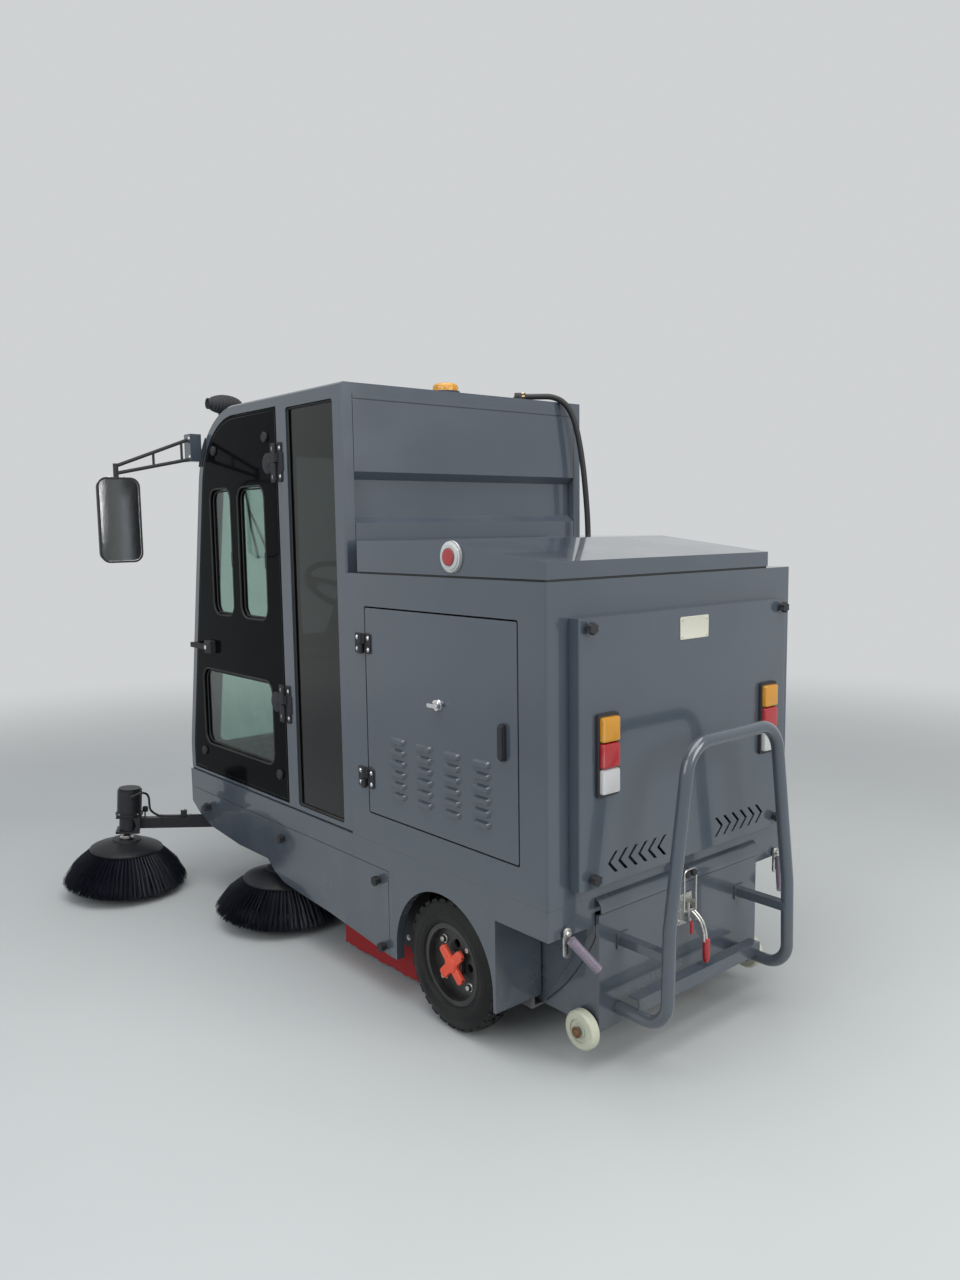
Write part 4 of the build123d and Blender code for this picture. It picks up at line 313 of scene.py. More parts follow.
@dataclass(frozen=True)
class MetalFinish(Finish):
    """Bare or plated metal with brushed lines and tarnish."""

    colour: Colour
    tarnish: Colour
    low: float = 0.2
    high: float = 0.45
    lines: float = 90.0

    def lay(self, sheet: Sheet, shader: bpy.types.Node) -> None:
        """Metal colour with tarnish in patches and fine lines in the height.

        Args:
            sheet: The material's nodes.
            shader: The material's shader.
        """
        grain = sheet.group(GRAIN, {"Scale": 700.0, "Low": self.low, "High": self.high, "Patches": 25.0})
        wear = sheet.group(WEAR, {"Radius": 0.001, "Amount": 0.4, "Scale": 80.0})
        spots = sheet.window(sheet.noise(self.lines, 5.0), 0.5, 0.75)
        colour = sheet.mix(spots, self.colour, self.tarnish)
        bump = sheet.add(
            "Bump",
            {
                "Strength": 0.1, "Distance": 0.0006, "Height": grain.outputs["Height"],
                "Normal": wear.outputs["Normal"],
            },
        )
        sheet.tree.links.new(colour, shader.inputs["Base Color"])
        sheet.tree.links.new(grain.outputs["Roughness"], shader.inputs["Roughness"])
        sheet.tree.links.new(bump.outputs[0], shader.inputs["Normal"])
        shader.inputs["Metallic"].default_value = 1.0


@dataclass(frozen=True)
class GlassFinish(Finish):
    """Tinted glass or clear lens with smears, darker beyond a width of the cab."""

    tint: Colour
    side_tint: Colour | None = None
    roughness: float = 0.02
    smear: float = 0.05
    ribs: float = 0.0
    specular: float = 0.5

    def lay(self, sheet: Sheet, shader: bpy.types.Node) -> None:
        """Tint, smeared roughness and, on a lens, moulded ribs.

        Args:
            sheet: The material's nodes.
            shader: The material's shader.
        """
        grain = sheet.group(
            GRAIN, {"Low": self.roughness, "High": self.roughness + self.smear, "Patches": 9.0},
        )
        colour = sheet.mix(grain.outputs["Tone"], rgb(*(c * 0.94 for c in self.tint[:3])), self.tint)
        if self.side_tint is not None:
            across = sheet.math("ABSOLUTE", sheet.add("SeparateXYZ", {0: sheet.place()}).outputs[0])
            colour = sheet.mix(sheet.window(across, 0.518, 0.522), colour, self.side_tint)
        sheet.tree.links.new(colour, shader.inputs["Base Color"])
        sheet.tree.links.new(grain.outputs["Roughness"], shader.inputs["Roughness"])
        if self.ribs:
            wave = sheet.add(
                "TexWave", {"Vector": sheet.place(), "Scale": self.ribs}, bands_direction="DIAGONAL",
            )
            bump = sheet.add("Bump", {"Strength": 0.4, "Distance": 0.002, "Height": wave.outputs[1]})
            sheet.tree.links.new(bump.outputs[0], shader.inputs["Normal"])
        shader.inputs["Transmission Weight"].default_value = 1.0
        shader.inputs["IOR"].default_value = 1.45
        shader.inputs["Specular IOR Level"].default_value = self.specular


@dataclass(frozen=True)
class LensFinish(Finish):
    """Coloured lamp plastic with moulded ribs, lit from within by what falls on it."""

    colour: Colour
    ribs: float = 160.0
    clear: float = 0.1

    def lay(self, sheet: Sheet, shader: bpy.types.Node) -> None:
        """Colour with deeper lines between the ribs.

        Args:
            sheet: The material's nodes.
            shader: The material's shader.
        """
        wave = sheet.add("TexWave", {"Vector": sheet.place(), "Scale": self.ribs}, bands_direction="Z")
        # painted shade: the lens colour darkened to 45% in the grooves between the ribs
        rib_shade = rgb(*(channel * 0.45 for channel in self.colour[:3]))
        grain = sheet.group(GRAIN, {"Low": 0.06, "High": 0.16, "Patches": 30.0})
        bump = sheet.add("Bump", {"Strength": 0.5, "Distance": 0.0012, "Height": wave.outputs[1]})
        colour = sheet.mix(wave.outputs[1], rib_shade, self.colour)
        sheet.tree.links.new(colour, shader.inputs["Base Color"])
        sheet.tree.links.new(grain.outputs["Roughness"], shader.inputs["Roughness"])
        sheet.tree.links.new(bump.outputs[0], shader.inputs["Normal"])
        shader.inputs["Transmission Weight"].default_value = self.clear
        shader.inputs["Coat Weight"].default_value = 0.6


@dataclass(frozen=True)
class BristleFinish(Finish):
    """Stiff nylon bristles that are dusty towards their tips."""

    colour: Colour
    tip: Colour

    def lay(self, sheet: Sheet, shader: bpy.types.Node) -> None:
        """Colour that changes from bristle to bristle and towards the ground.

        Args:
            sheet: The material's nodes.
            shader: The material's shader.
        """
        place = sheet.place()
        strand = sheet.window(sheet.noise(260.0, 2.0, place), 0.3, 0.7)
        light = rgb(*(channel * 2.0 + 0.002 for channel in self.colour[:3]))
        colour = sheet.mix(strand, self.colour, light)
        height = sheet.add("SeparateXYZ", {0: place}).outputs[2]
        tips = sheet.math(
            "MULTIPLY", sheet.window(height, 0.07, 0.0), sheet.window(sheet.noise(40.0), 0.3, 0.7),
        )
        sheet.tree.links.new(
            sheet.mix(sheet.math("MULTIPLY", tips, 0.6), colour, self.tip), shader.inputs["Base Color"],
        )
        sheet.tree.links.new(sheet.math("MULTIPLY_ADD", strand, 0.2, 0.32), shader.inputs["Roughness"])
        shader.inputs["Specular IOR Level"].default_value = 0.25


class Look(Enum):
    """The sweeper's finishes."""

    PAINT = CoatedFinish(
        "slate_paint", rgb(0.066, 0.083, 0.106), low=0.16, high=0.26, coat=0.7, grain=260.0, bump=0.012,
        worn=rgb(0.26, 0.27, 0.29), wear=0.10, radius=0.0022, dust=0.14, contrast=0.06,
    )
    FRAME = CoatedFinish(
        "frame_paint", rgb(0.070, 0.082, 0.100), low=0.32, high=0.5, coat=0.2, grain=300.0, bump=0.06,
        worn=rgb(0.24, 0.20, 0.17), wear=0.5, dust=0.7,
    )
    DOOR_SHEET = CoatedFinish(
        "door_sheet", rgb(0.0042, 0.0046, 0.0056), low=0.05, high=0.12, specular=0.03, grain=200.0,
        bump=0.004, worn=rgb(0.02, 0.02, 0.02), wear=0.12, dust=0.04, contrast=0.25,
    )
    BLACK_METAL = CoatedFinish(
        "black_metal", rgb(0.016, 0.016, 0.018), low=0.25, high=0.42, coat=0.35, grain=350.0, bump=0.05,
        worn=rgb(0.14, 0.12, 0.10), wear=0.4, dust=0.2,
    )
    RIM = CoatedFinish(
        "rim_black", rgb(0.009, 0.009, 0.010), low=0.30, high=0.42, coat=0.2, grain=400.0, bump=0.05,
        worn=rgb(0.10, 0.085, 0.07), wear=0.35, dust=0.14,
    )
    BLACK_PLASTIC = CoatedFinish(
        "black_plastic", rgb(0.010, 0.010, 0.011), low=0.3, high=0.48, grain=900.0, bump=0.2,
        worn=rgb(0.05, 0.05, 0.05), wear=0.3, dust=0.10,
    )
    DARK_HUB = CoatedFinish(
        "dark_hub", rgb(0.010, 0.011, 0.015), low=0.38, high=0.5, specular=0.22, grain=600.0, bump=0.12,
        worn=rgb(0.05, 0.05, 0.05), wear=0.3, dust=0.07,
    )
    TYRE = CoatedFinish(
        "tyre_rubber", rgb(0.0085, 0.0085, 0.009), low=0.38, high=0.52, specular=0.22, grain=1200.0,
        bump=0.2,
        worn=rgb(0.03, 0.029, 0.028), wear=0.3, dust=0.06, contrast=0.3,
    )
    RUBBER = CoatedFinish(
        "seal_rubber", rgb(0.010, 0.010, 0.010), low=0.45, high=0.65, grain=900.0, bump=0.2,
        worn=rgb(0.05, 0.05, 0.05), wear=0.2, dust=0.3,
    )
    RED_RUBBER = CoatedFinish(
        "red_rubber", rgb(0.29, 0.012, 0.016), low=0.4, high=0.6, grain=500.0, bump=0.15,
        worn=rgb(0.40, 0.10, 0.09), wear=0.5, dust=0.4, contrast=0.25,
    )
    RED_GRIP = CoatedFinish(
        "red_grip", rgb(0.42, 0.006, 0.012), low=0.2, high=0.32, coat=0.6, grain=400.0, bump=0.05,
        worn=rgb(0.50, 0.08, 0.07), wear=0.3, dust=0.1,
    )
    CAP_RED = CoatedFinish(
        "wheel_cap_red", rgb(0.83, 0.085, 0.035), low=0.3, high=0.45, grain=500.0, bump=0.08,
        worn=rgb(0.80, 0.25, 0.15), wear=0.2, dust=0.12,
    )
    NYLON = CoatedFinish(
        "cream_nylon", rgb(0.66, 0.68, 0.53), low=0.3, high=0.5, grain=300.0, bump=0.06,
        worn=rgb(0.35, 0.32, 0.25), wear=0.6, dust=0.5, contrast=0.12,
    )
    PLATE = CoatedFinish(
        "blank_plate", rgb(0.62, 0.62, 0.52), low=0.25, high=0.4, grain=500.0, bump=0.03,
        worn=rgb(0.4, 0.4, 0.36), wear=0.3, dust=0.1,
    )
    WHITE_PLASTIC = CoatedFinish(
        "white_plastic", rgb(0.60, 0.61, 0.60), low=0.25, high=0.4, grain=700.0, bump=0.05,
        worn=rgb(0.45, 0.45, 0.45), wear=0.2, dust=0.2,
    )
    VINYL = CoatedFinish(
        "seat_vinyl", rgb(0.016, 0.016, 0.018), low=0.36, high=0.5, grain=420.0, bump=0.5,
        worn=rgb(0.06, 0.06, 0.06), wear=0.2, dust=0.1,
    )
    SLEEVE = CoatedFinish(
        "violet_sleeve", rgb(0.22, 0.18, 0.24), low=0.15, high=0.25, coat=0.5, grain=300.0, bump=0.05,
        worn=rgb(0.3, 0.28, 0.36), wear=0.2, dust=0.1,
    )
    BATTERY = CoatedFinish(
        "battery_case", rgb(0.03, 0.03, 0.032), low=0.4, high=0.55, grain=500.0, bump=0.1, dust=0.4,
    )
    ZINC = MetalFinish("zinc_plate", rgb(0.62, 0.62, 0.60), rgb(0.42, 0.38, 0.30))
    CHROME = MetalFinish("chrome", rgb(0.80, 0.80, 0.82), rgb(0.62, 0.62, 0.63), low=0.06, high=0.15)
    BRASS = MetalFinish("brass", rgb(0.62, 0.43, 0.16), rgb(0.36, 0.22, 0.08), low=0.2, high=0.4)
    RUST = MetalFinish("rusty_bolt", rgb(0.28, 0.17, 0.10), rgb(0.20, 0.07, 0.03), low=0.5, high=0.8)
    MIRROR = MetalFinish("mirror_glass", rgb(0.86, 0.88, 0.88), rgb(0.80, 0.82, 0.82), low=0.02, high=0.05)
    CAB_GLASS = GlassFinish(
        "cab_glass", rgb(0.40, 0.52, 0.47), side_tint=rgb(0.06, 0.07, 0.07), specular=0.02,
    )
    DOOR_GLASS = GlassFinish("door_glass", rgb(0.62, 0.80, 0.74), specular=0.3)
    CLEAR_LENS = GlassFinish("clear_lens", rgb(0.92, 0.93, 0.94), roughness=0.05, ribs=60.0)
    AMBER = LensFinish("amber_lens", rgb(0.95, 0.42, 0.010))
    RED_LENS = LensFinish("red_lens", rgb(0.62, 0.010, 0.020))
    PALE_LENS = LensFinish("pale_lens", rgb(0.84, 0.85, 0.86))
    BRISTLE = BristleFinish("nylon_bristle", rgb(0.0045, 0.0055, 0.0105), rgb(0.020, 0.020, 0.021))

    def material(self) -> bpy.types.Material:
        """The finish's material."""
        return self.value.material()


SLOT_LOOKS: dict[str, Look] = {
    "body_paint": Look.PAINT,
    "chassis_paint": Look.FRAME,
    "black_panel": Look.DOOR_SHEET,
    "clear_glass": Look.CAB_GLASS,
    "black_metal": Look.BLACK_METAL,
    "black_plastic": Look.BLACK_PLASTIC,
    "bristle": Look.BRISTLE,
    "tyre": Look.TYRE,
    "rim": Look.RIM,
    "nylon": Look.NYLON,
    "red_rubber": Look.RED_RUBBER,
    "zinc": Look.ZINC,
    "lamp": Look.AMBER,
    "hose": Look.RUBBER,
    "seal": Look.RUBBER,
    "seat": Look.VINYL,
    "battery": Look.BATTERY,
}
NODE_LOOKS: dict[str, Look] = {
    "cab_door_glass_left": Look.DOOR_GLASS,
    "cab_door_glass_right": Look.DOOR_GLASS,
}


def dress_nodes() -> None:
    """Gives every carried-over CAD node the look of its slot, or its own."""
    for row in frame["record"]["subparts"]:
        node = row["node"]
        look = NODE_LOOKS.get(node, SLOT_LOOKS[row["material_slot"]])
        mesh = frame["nodes"][node].data
        mesh.materials.clear()
        mesh.materials.append(look.material())
        LOG.info("node %s in %s", node, look.value.name)


def towards(direction: Sequence[float]) -> Matrix:
    """Turn that takes +Z to a direction."""
    return Vector(direction).to_track_quat("Z", "Y").to_matrix().to_4x4()


def ring(count: int, radius: float, start: float = 0.0) -> list[Flat]:
    """Points evenly round a circle in a plane."""
    angles = (start + math.tau * index / count for index in range(count))
    return [(radius * math.cos(angle), radius * math.sin(angle)) for angle in angles]


def rounded(
    low: Flat, high: Flat, radius: float, steps: int = 5,
) -> list[Flat]:
    """Outline of a rectangle with round corners.

    Args:
        low: Lowest corner.
        high: Highest corner.
        radius: Radius of the corners.
        steps: Runs in each corner.

    Returns:
        The outline's points in order.
    """
    centres = (
        (high[0] - radius, high[1] - radius, 0.0),
        (low[0] + radius, high[1] - radius, 90.0),
        (low[0] + radius, low[1] + radius, 180.0),
        (high[0] - radius, low[1] + radius, 270.0),
    )
    points = []
    for x, y, start in centres:
        for step in range(steps + 1):
            angle = math.radians(start + 90.0 * step / steps)
            points.append((x + radius * math.cos(angle), y + radius * math.sin(angle)))
    return points


def laid(outline: Sequence[Flat], place: float, across: int) -> list[Vector]:
    """Outline's points in the plane that lies at a place along X (0), Y (1) or Z (2)."""
    return [Vector((*point[:across], place, *point[across:])) for point in outline]


class Draft:
    """Points and faces of one piece while it is built. Faces take the finish that is in use."""

    def __init__(self) -> None:
        """Starts empty, with the first finish in use."""
        self.points: list[Vector] = []
        self.faces: list[tuple[int, ...]] = []
        self.tones: list[int] = []
        self.tone = 0

    def take(self, points: Iterable[Sequence[float]], faces: Iterable[Sequence[int]]) -> None:
        """Adds points, and faces that count them from 0.

        Args:
            points: The new points.
            faces: The new faces.
        """
        base = len(self.points)
        self.points.extend(Vector(point) for point in points)
        for face in faces:
            self.faces.append(tuple(base + index for index in face))
            self.tones.append(self.tone)

    def rings(self, rows: Sequence[Sequence[Vector]], closed: bool = False, caps: bool = True) -> None:
        """Skin over rows of points that all have the same count.

        Args:
            rows: The rows, each once round the shape.
            closed: True where the last row joins the first.
            caps: True where the open ends are filled.
        """
        count = len(rows[0])
        faces = []
        for row in range(len(rows) - (0 if closed else 1)):
            low, high = row * count, (row + 1) % len(rows) * count
            for index in range(count):
                step = (index + 1) % count
                faces.append((low + index, low + step, high + step, high + index))
        if caps and not closed:
            last = (len(rows) - 1) * count
            faces.append(tuple(range(count - 1, -1, -1)))
            faces.append(tuple(range(last, last + count)))
        self.take([point for row in rows for point in row], faces)

    def lathe(
        self, profile: Sequence[Flat], centre: Point, axis: Point = (0, 0, 1),
        count: int = 48, closed: bool = False, start: float = 0.0,
    ) -> None:
        """Turned shape.

        Args:
            profile: Radius and height of each ring along the axis.
            centre: Where height 0 lies on the axis.
            axis: Direction of the axis.
            count: Points round each ring.
            closed: True for a profile that comes back to its start.
            start: Angle of the first point of each ring.
        """
        turn = Matrix.Translation(centre) @ towards(axis)
        rows = [
            [turn @ Vector((x, y, height)) for x, y in ring(count, max(radius, 1e-5), start)]
            for radius, height in profile
        ]
        self.rings(rows, closed=closed)

    def block(self, low: Point, high: Point, turn: Matrix | None = None) -> None:
        """Box between two opposite corners, turned about the origin where a turn is given.

        Args:
            low: Lowest corner.
            high: Highest corner.
            turn: Turn about the origin.
        """
        low, high = zip(*(sorted(pair) for pair in zip(low, high)))
        outline = ((low[0], low[1]), (high[0], low[1]), (high[0], high[1]), (low[0], high[1]))
        rows = [[Vector((x, y, z)) for x, y in outline] for z in (low[2], high[2])]
        if turn is not None:
            rows = [[turn @ point for point in row] for row in rows]
        self.rings(rows)

    def plate(self, outline: Sequence[Flat], face: float, depths: Sequence[float], across: int) -> None:
        """Plate with an outline between depths from a face, across X (0), Y (1) or Z (2)."""
        self.rings([laid(outline, face + depth, across) for depth in depths])

    def stepped(
        self, low: Flat, high: Flat, radius: float, steps: int, face: float, profile: Sequence[Flat],
    ) -> None:
        """Plate with round corners whose edge is stepped or rounded, on a face that looks along Y.

        Args:
            low: Lowest corner.
            high: Highest corner.
            radius: Radius of the corners.
            steps: Runs in each corner.
            face: Where the face lies.
            profile: Distance from the face and inset of each ring.
        """
        rows = []
        for depth, inset in profile:
            near, far = (low[0] + inset, low[1] + inset), (high[0] - inset, high[1] - inset)
            rows.append(laid(rounded(near, far, radius, steps), face + depth, 1))
        self.rings(rows)

    def prism(
        self, outline: Sequence[Flat], centre: Point, axis: Point, depth: float,
        inset: float = 0.0,
    ) -> None:
        """Plate with an outline, along an axis.

        Args:
            outline: Points of the outline across the axis; the second runs along Z for a level axis.
            centre: Where the outline's origin lies.
            axis: Direction of the plate's thickness.
            depth: The plate's thickness.
            inset: How far the far face is drawn in.
        """
        way = Vector(axis).normalized()
        up = Vector((0, 0, 1)) if abs(way.z) < 0.9 else Vector((0, 1, 0))
        side = up.cross(way).normalized()
        up = way.cross(side)
        base = Vector(centre)
        middle = (
            sum(point[0] for point in outline) / len(outline),
            sum(point[1] for point in outline) / len(outline),
        )
        reach = max(math.dist(point, middle) for point in outline)
        share = 1 - inset / reach
        rows = [[base + side * u + up * v for u, v in outline]]
        rows.append([
            base + way * depth
            + side * (middle[0] + (u - middle[0]) * share)
            + up * (middle[1] + (v - middle[1]) * share)
            for u, v in outline
        ])
        self.rings(rows)

    def tube(
        self, path: Sequence[Sequence[float]], radius: float | Sequence[float], count: int = 12,
        closed: bool = False,
    ) -> None:
        """Round tube along a path.

        Args:
            path: Points of the path.
            radius: Radius, or one for each point.
            count: Points round the tube.
            closed: True for a loop.
        """
        points = [Vector(point) for point in path]
        total = len(points)
        radii = [radius] * total if isinstance(radius, (int, float)) else list(radius)
        rows = []
        across = None
        for index, point in enumerate(points):
            before = points[index - 1] if index or closed else point
            after = points[(index + 1) % total] if index < total - 1 or closed else point
            way = (after - before).normalized()
            if across is None:
                across = way.orthogonal().normalized()
            across = (across - way * across.dot(way)).normalized()
            other = way.cross(across)
            rows.append([point + across * x + other * y for x, y in ring(count, radii[index])])
        self.rings(rows, closed=closed)

    def turn(self, matrix: Matrix) -> None:
        """Moves every point so far by a matrix."""
        self.points = [matrix @ point for point in self.points]

    def bolt(
        self, centre: Point, axis: Point, radius: float = 0.007, height: float = 0.005, sides: int = 6,
    ) -> None:
        """Bolt head on its washer, or a domed screw head where it has many sides.

        Args:
            centre: Middle of its seat.
            axis: Direction that it looks in.
            radius: Radius of the head.
            height: Height of the head.
            sides: Sides of the head.
        """
        self.lathe(
            [(radius * 1.5, 0.0), (radius * 1.5, height * 0.25), (radius * 1.35, height * 0.3)], centre,
            axis, 20,
        )
        head = [(radius, 0.0), (radius, height * 0.8), (radius * 0.82, height)]
        if sides > 8:
            head = [
                (radius, 0.0), (radius, height * 0.35), (radius * 0.8, height * 0.8),
                (radius * 0.4, height),
            ]
        self.lathe(head, centre, axis, sides)

    def piece(
        self, name: str, body: str, looks: Sequence[Look], replaces: Sequence[str] = (),
        bevel: float = 0.0, crease: float = 38.0, slot: str | None = None,
    ) -> bpy.types.Object:
        """Makes the piece and lets it ride on a body.

        Args:
            name: The piece's name.
            body: The body that it moves with.
            looks: Its finishes, in the order of their numbers in the draft.
            replaces: CAD nodes that it stands for.
            bevel: Width of the rounding along its edges.
            crease: Angle over which an edge stays sharp, in degrees.
            slot: The record's material slot; not used.

        Returns:
            The piece.
        """
        mesh = bpy.data.meshes.new(name)
        mesh.from_pydata(self.points, [], self.faces)
        mesh.polygons.foreach_set("material_index", self.tones)
        tidy = bmesh.new()
        tidy.from_mesh(mesh)
        bmesh.ops.recalc_face_normals(tidy, faces=tidy.faces)
        tidy.to_mesh(mesh)
        tidy.free()
        for look in looks:
            mesh.materials.append(look.material())
        mesh.shade_smooth()
        mesh.set_sharp_from_angle(angle=math.radians(crease))
        made = placed(name, mesh)
        if bevel:
            rounding = made.modifiers.new("edges", "BEVEL")
            rounding.width = bevel
            rounding.segments = 2
            rounding.limit_method = "ANGLE"
            rounding.angle_limit = math.radians(50)
            rounding.harden_normals = False
        return settle(made, body, replaces)


def placed(name: str, data: bpy.types.ID) -> bpy.types.Object:
    """New object in the scene from its mesh, curve, lamp or camera data.

    Args:
        name: The object's name.
        data: What it shows.

    Returns:
        The object.
    """
    made = bpy.data.objects.new(name, data)
    bpy.context.scene.collection.objects.link(made)
    return made


def settle(
    made: bpy.types.Object, body: str, replaces: Sequence[str] = (),
) -> bpy.types.Object:
    """Lets a finished object ride on a body and stand for CAD nodes.

    Args:
        made: The object.
        body: The body that it moves with.
        replaces: CAD nodes that it stands for.

    Returns:
        The same object.
    """
    bpy.context.view_layer.update()
    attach(made, body)
    if replaces:
        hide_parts(*replaces)
    LOG.info("piece %s on %s", made.name, body)
    return made


@dataclass
class RoadWheel:
    """Road wheel: a treaded tyre over the CAD rim, with nuts and, at the rear, a red cross cap."""

    name: str
    body: str
    centre: Point
    outward: float
    capped: bool
    blocks: int = 30
    carcass_r: float = 0.1995
    nut_ring_r: float = 0.084
    disc_x: float = 0.012
    hub_x: float = 0.030
    cap_arm: tuple[float, float, float] = (0.0660, 0.0165, 0.011)

    def tyre(self) -> None:
        """Tyre with bulged walls, moulded rings and three rows of tread blocks."""
        draft = Draft()
        wall = (
            (0.1192, 0.0334), (0.1276, 0.0334), (0.1276, 0.0402), (0.131, 0.0448), (0.133, 0.0446),
            (0.137, 0.0478), (0.139, 0.0492), (0.141, 0.0490), (0.148, 0.0510), (0.156, 0.0522),
            (0.158, 0.0525), (0.160, 0.0521), (0.168, 0.0508), (0.171, 0.0506), (0.173, 0.0492),
            (0.181, 0.0462), (0.188, 0.0430),
            (0.1945, 0.0385), (self.carcass_r - 0.002, 0.034), (self.carcass_r, 0.026),
            (self.carcass_r, 0.0),
        )
        profile = [(r, -x) for r, x in wall] + [(r, x) for r, x in reversed(wall[:-1])]
        draft.lathe(profile, self.centre, LEFTWARD, 72, closed=True)
        rows = (
            # inner and outer distance from the middle, skew, half length of a block as a share of the pitch
            (-0.010, 0.010, 0.30, 0.36),
            (0.014, 0.0395, -0.30, 0.35),
            (-0.0395, -0.014, 0.30, 0.35),
        )
        for row, (low, high, skew, share) in enumerate(rows):
            for index in range(self.blocks):
                middle = math.tau * (index + 0.5 * (row > 0)) / self.blocks
                self.tread_block(draft, middle, low, high, skew / self.blocks * math.tau, share)
        draft.piece(f"tyre_tread_{self.name}", self.body, [Look.TYRE], [f"tyre_{self.name}"], slot="tyre")

    def tread_block(
        self, draft: Draft, middle: float, low: float, high: float, skew: float, share: float,
    ) -> None:
        """One tread block, curved with the tyre and lower at the shoulder.

        Args:
            draft: Where it goes.
            middle: Angle of its middle.
            low: Inner edge from the tyre's middle.
            high: Outer edge from the tyre's middle.
            skew: How far it slants.
            share: Half length as a share of the pitch.
        """
        half = math.tau / self.blocks * share
        rows = []
        for drop in (0.004, 0.0):
            row = []
            for x, turn in ((low, -half), (low, half), (high, half), (high, -half)):
                taper = 1 - (0.14 if drop == 0.0 else 0.0)
                angle = middle + turn * taper + skew * (x - (low + high) / 2) / (high - low)
                shoulder = max(0.0, abs(x) - 0.024) * 0.36
                radius = TYRE_R - 0.0004 - shoulder if drop == 0.0 else self.carcass_r - drop - shoulder
                row.append(Vector((
                    self.centre[0] + x,
                    self.centre[1] + radius * math.cos(angle),
                    self.centre[2] + radius * math.sin(angle),
                )))
            rows.append(row)
        draft.rings(rows)

    def fittings(self) -> None:
        """Bright wheel nuts, and the red cross cap over the hub of a rear wheel."""
        draft = Draft()
        side = self.outward
        x, y, z = self.centre
        for u, v in ring(4, self.nut_ring_r, math.pi / 4):
            draft.bolt((x + side * (self.disc_x + COVERING), y + u, z + v), (side, 0, 0), 0.0098, 0.0135)
        if self.capped:
            draft.tone = 1
            face = x + side * self.hub_x
            rows = []
            for depth, inset in ((-0.001, 0.0), (0.0085, 0.0004), (0.0104, 0.0022)):
                rows.append([Vector((face + side * depth, y + u, z + v)) for u, v in self.cross(inset)])
            draft.rings(rows)
            dome = [(0.024, 0.010), (0.0225, 0.0138), (0.010, 0.0152), (0.0, 0.0154)]
            draft.lathe(dome, (face, y, z), (side, 0, 0), 32)
        draft.piece(f"wheel_fittings_{self.name}", self.body, [Look.ZINC, Look.CAP_RED], bevel=0.0008)

    def cross(self, inset: float) -> list[Flat]:
        """Outline of the four-armed cap.

        Args:
            inset: How far the outline is drawn in.

        Returns:
            The outline's points in order.
        """
        length, half, valley = (value + sign * inset for value, sign in zip(self.cap_arm, (-1, -1, 1)))
        tip = 0.009
        edge = []
        for step in range(5):
            angle = math.radians(225 + 45 * step / 4)
            edge.append((half + valley * (1 + math.cos(angle)), half + valley * (1 + math.sin(angle))))
        for step in range(6):
            angle = math.radians(90 - 90 * step / 5)
            edge.append((length - tip + tip * math.cos(angle), half - tip + tip * math.sin(angle)))
        points = []
        for arm in range(4):
            heading = math.radians(45 + 90 * arm)
            east, north = math.cos(heading), math.sin(heading)
            for u, v in [(u, -v) for u, v in edge] + edge[:0:-1]:
                points.append((east * u - north * v, north * u + east * v))
        return points

    def build(self) -> None:
        """Builds the tyre and the fittings."""
        self.tyre()
        self.fittings()


@dataclass(frozen=True)
class ArmPlace:
    """Where one lifting arm hangs, where its brush stands with the arm level, and its heights."""

    name: str
    side: float
    pivot: Flat
    brush: Flat
    motor_height: float
    drop: float
    pivot_z: float = 0.262
    parked_lift: float = math.radians(4)

    @property
    def length(self) -> float:
        """Distance from the pivot to the brush's axis."""
        return math.dist(self.pivot, self.brush)

    def frame(self) -> Matrix:
        """Matrix of the arm's own frame.

        Returns:
            The frame with its origin at the pivot and +X towards the brush, raised as it parks.
        """
        heading = math.atan2(self.brush[1] - self.pivot[1], self.brush[0] - self.pivot[0])
        place = Matrix.Translation((*self.pivot, self.pivot_z)) @ Matrix.Rotation(heading, 4, "Z")
        return place @ Matrix.Rotation(-self.parked_lift, 4, "Y")

    def brush_frame(self) -> Matrix:
        """Frame on the brush's axis, at the ground's height while the arm is level."""
        return self.frame() @ Matrix.Translation((self.length, 0.0, -self.pivot_z))


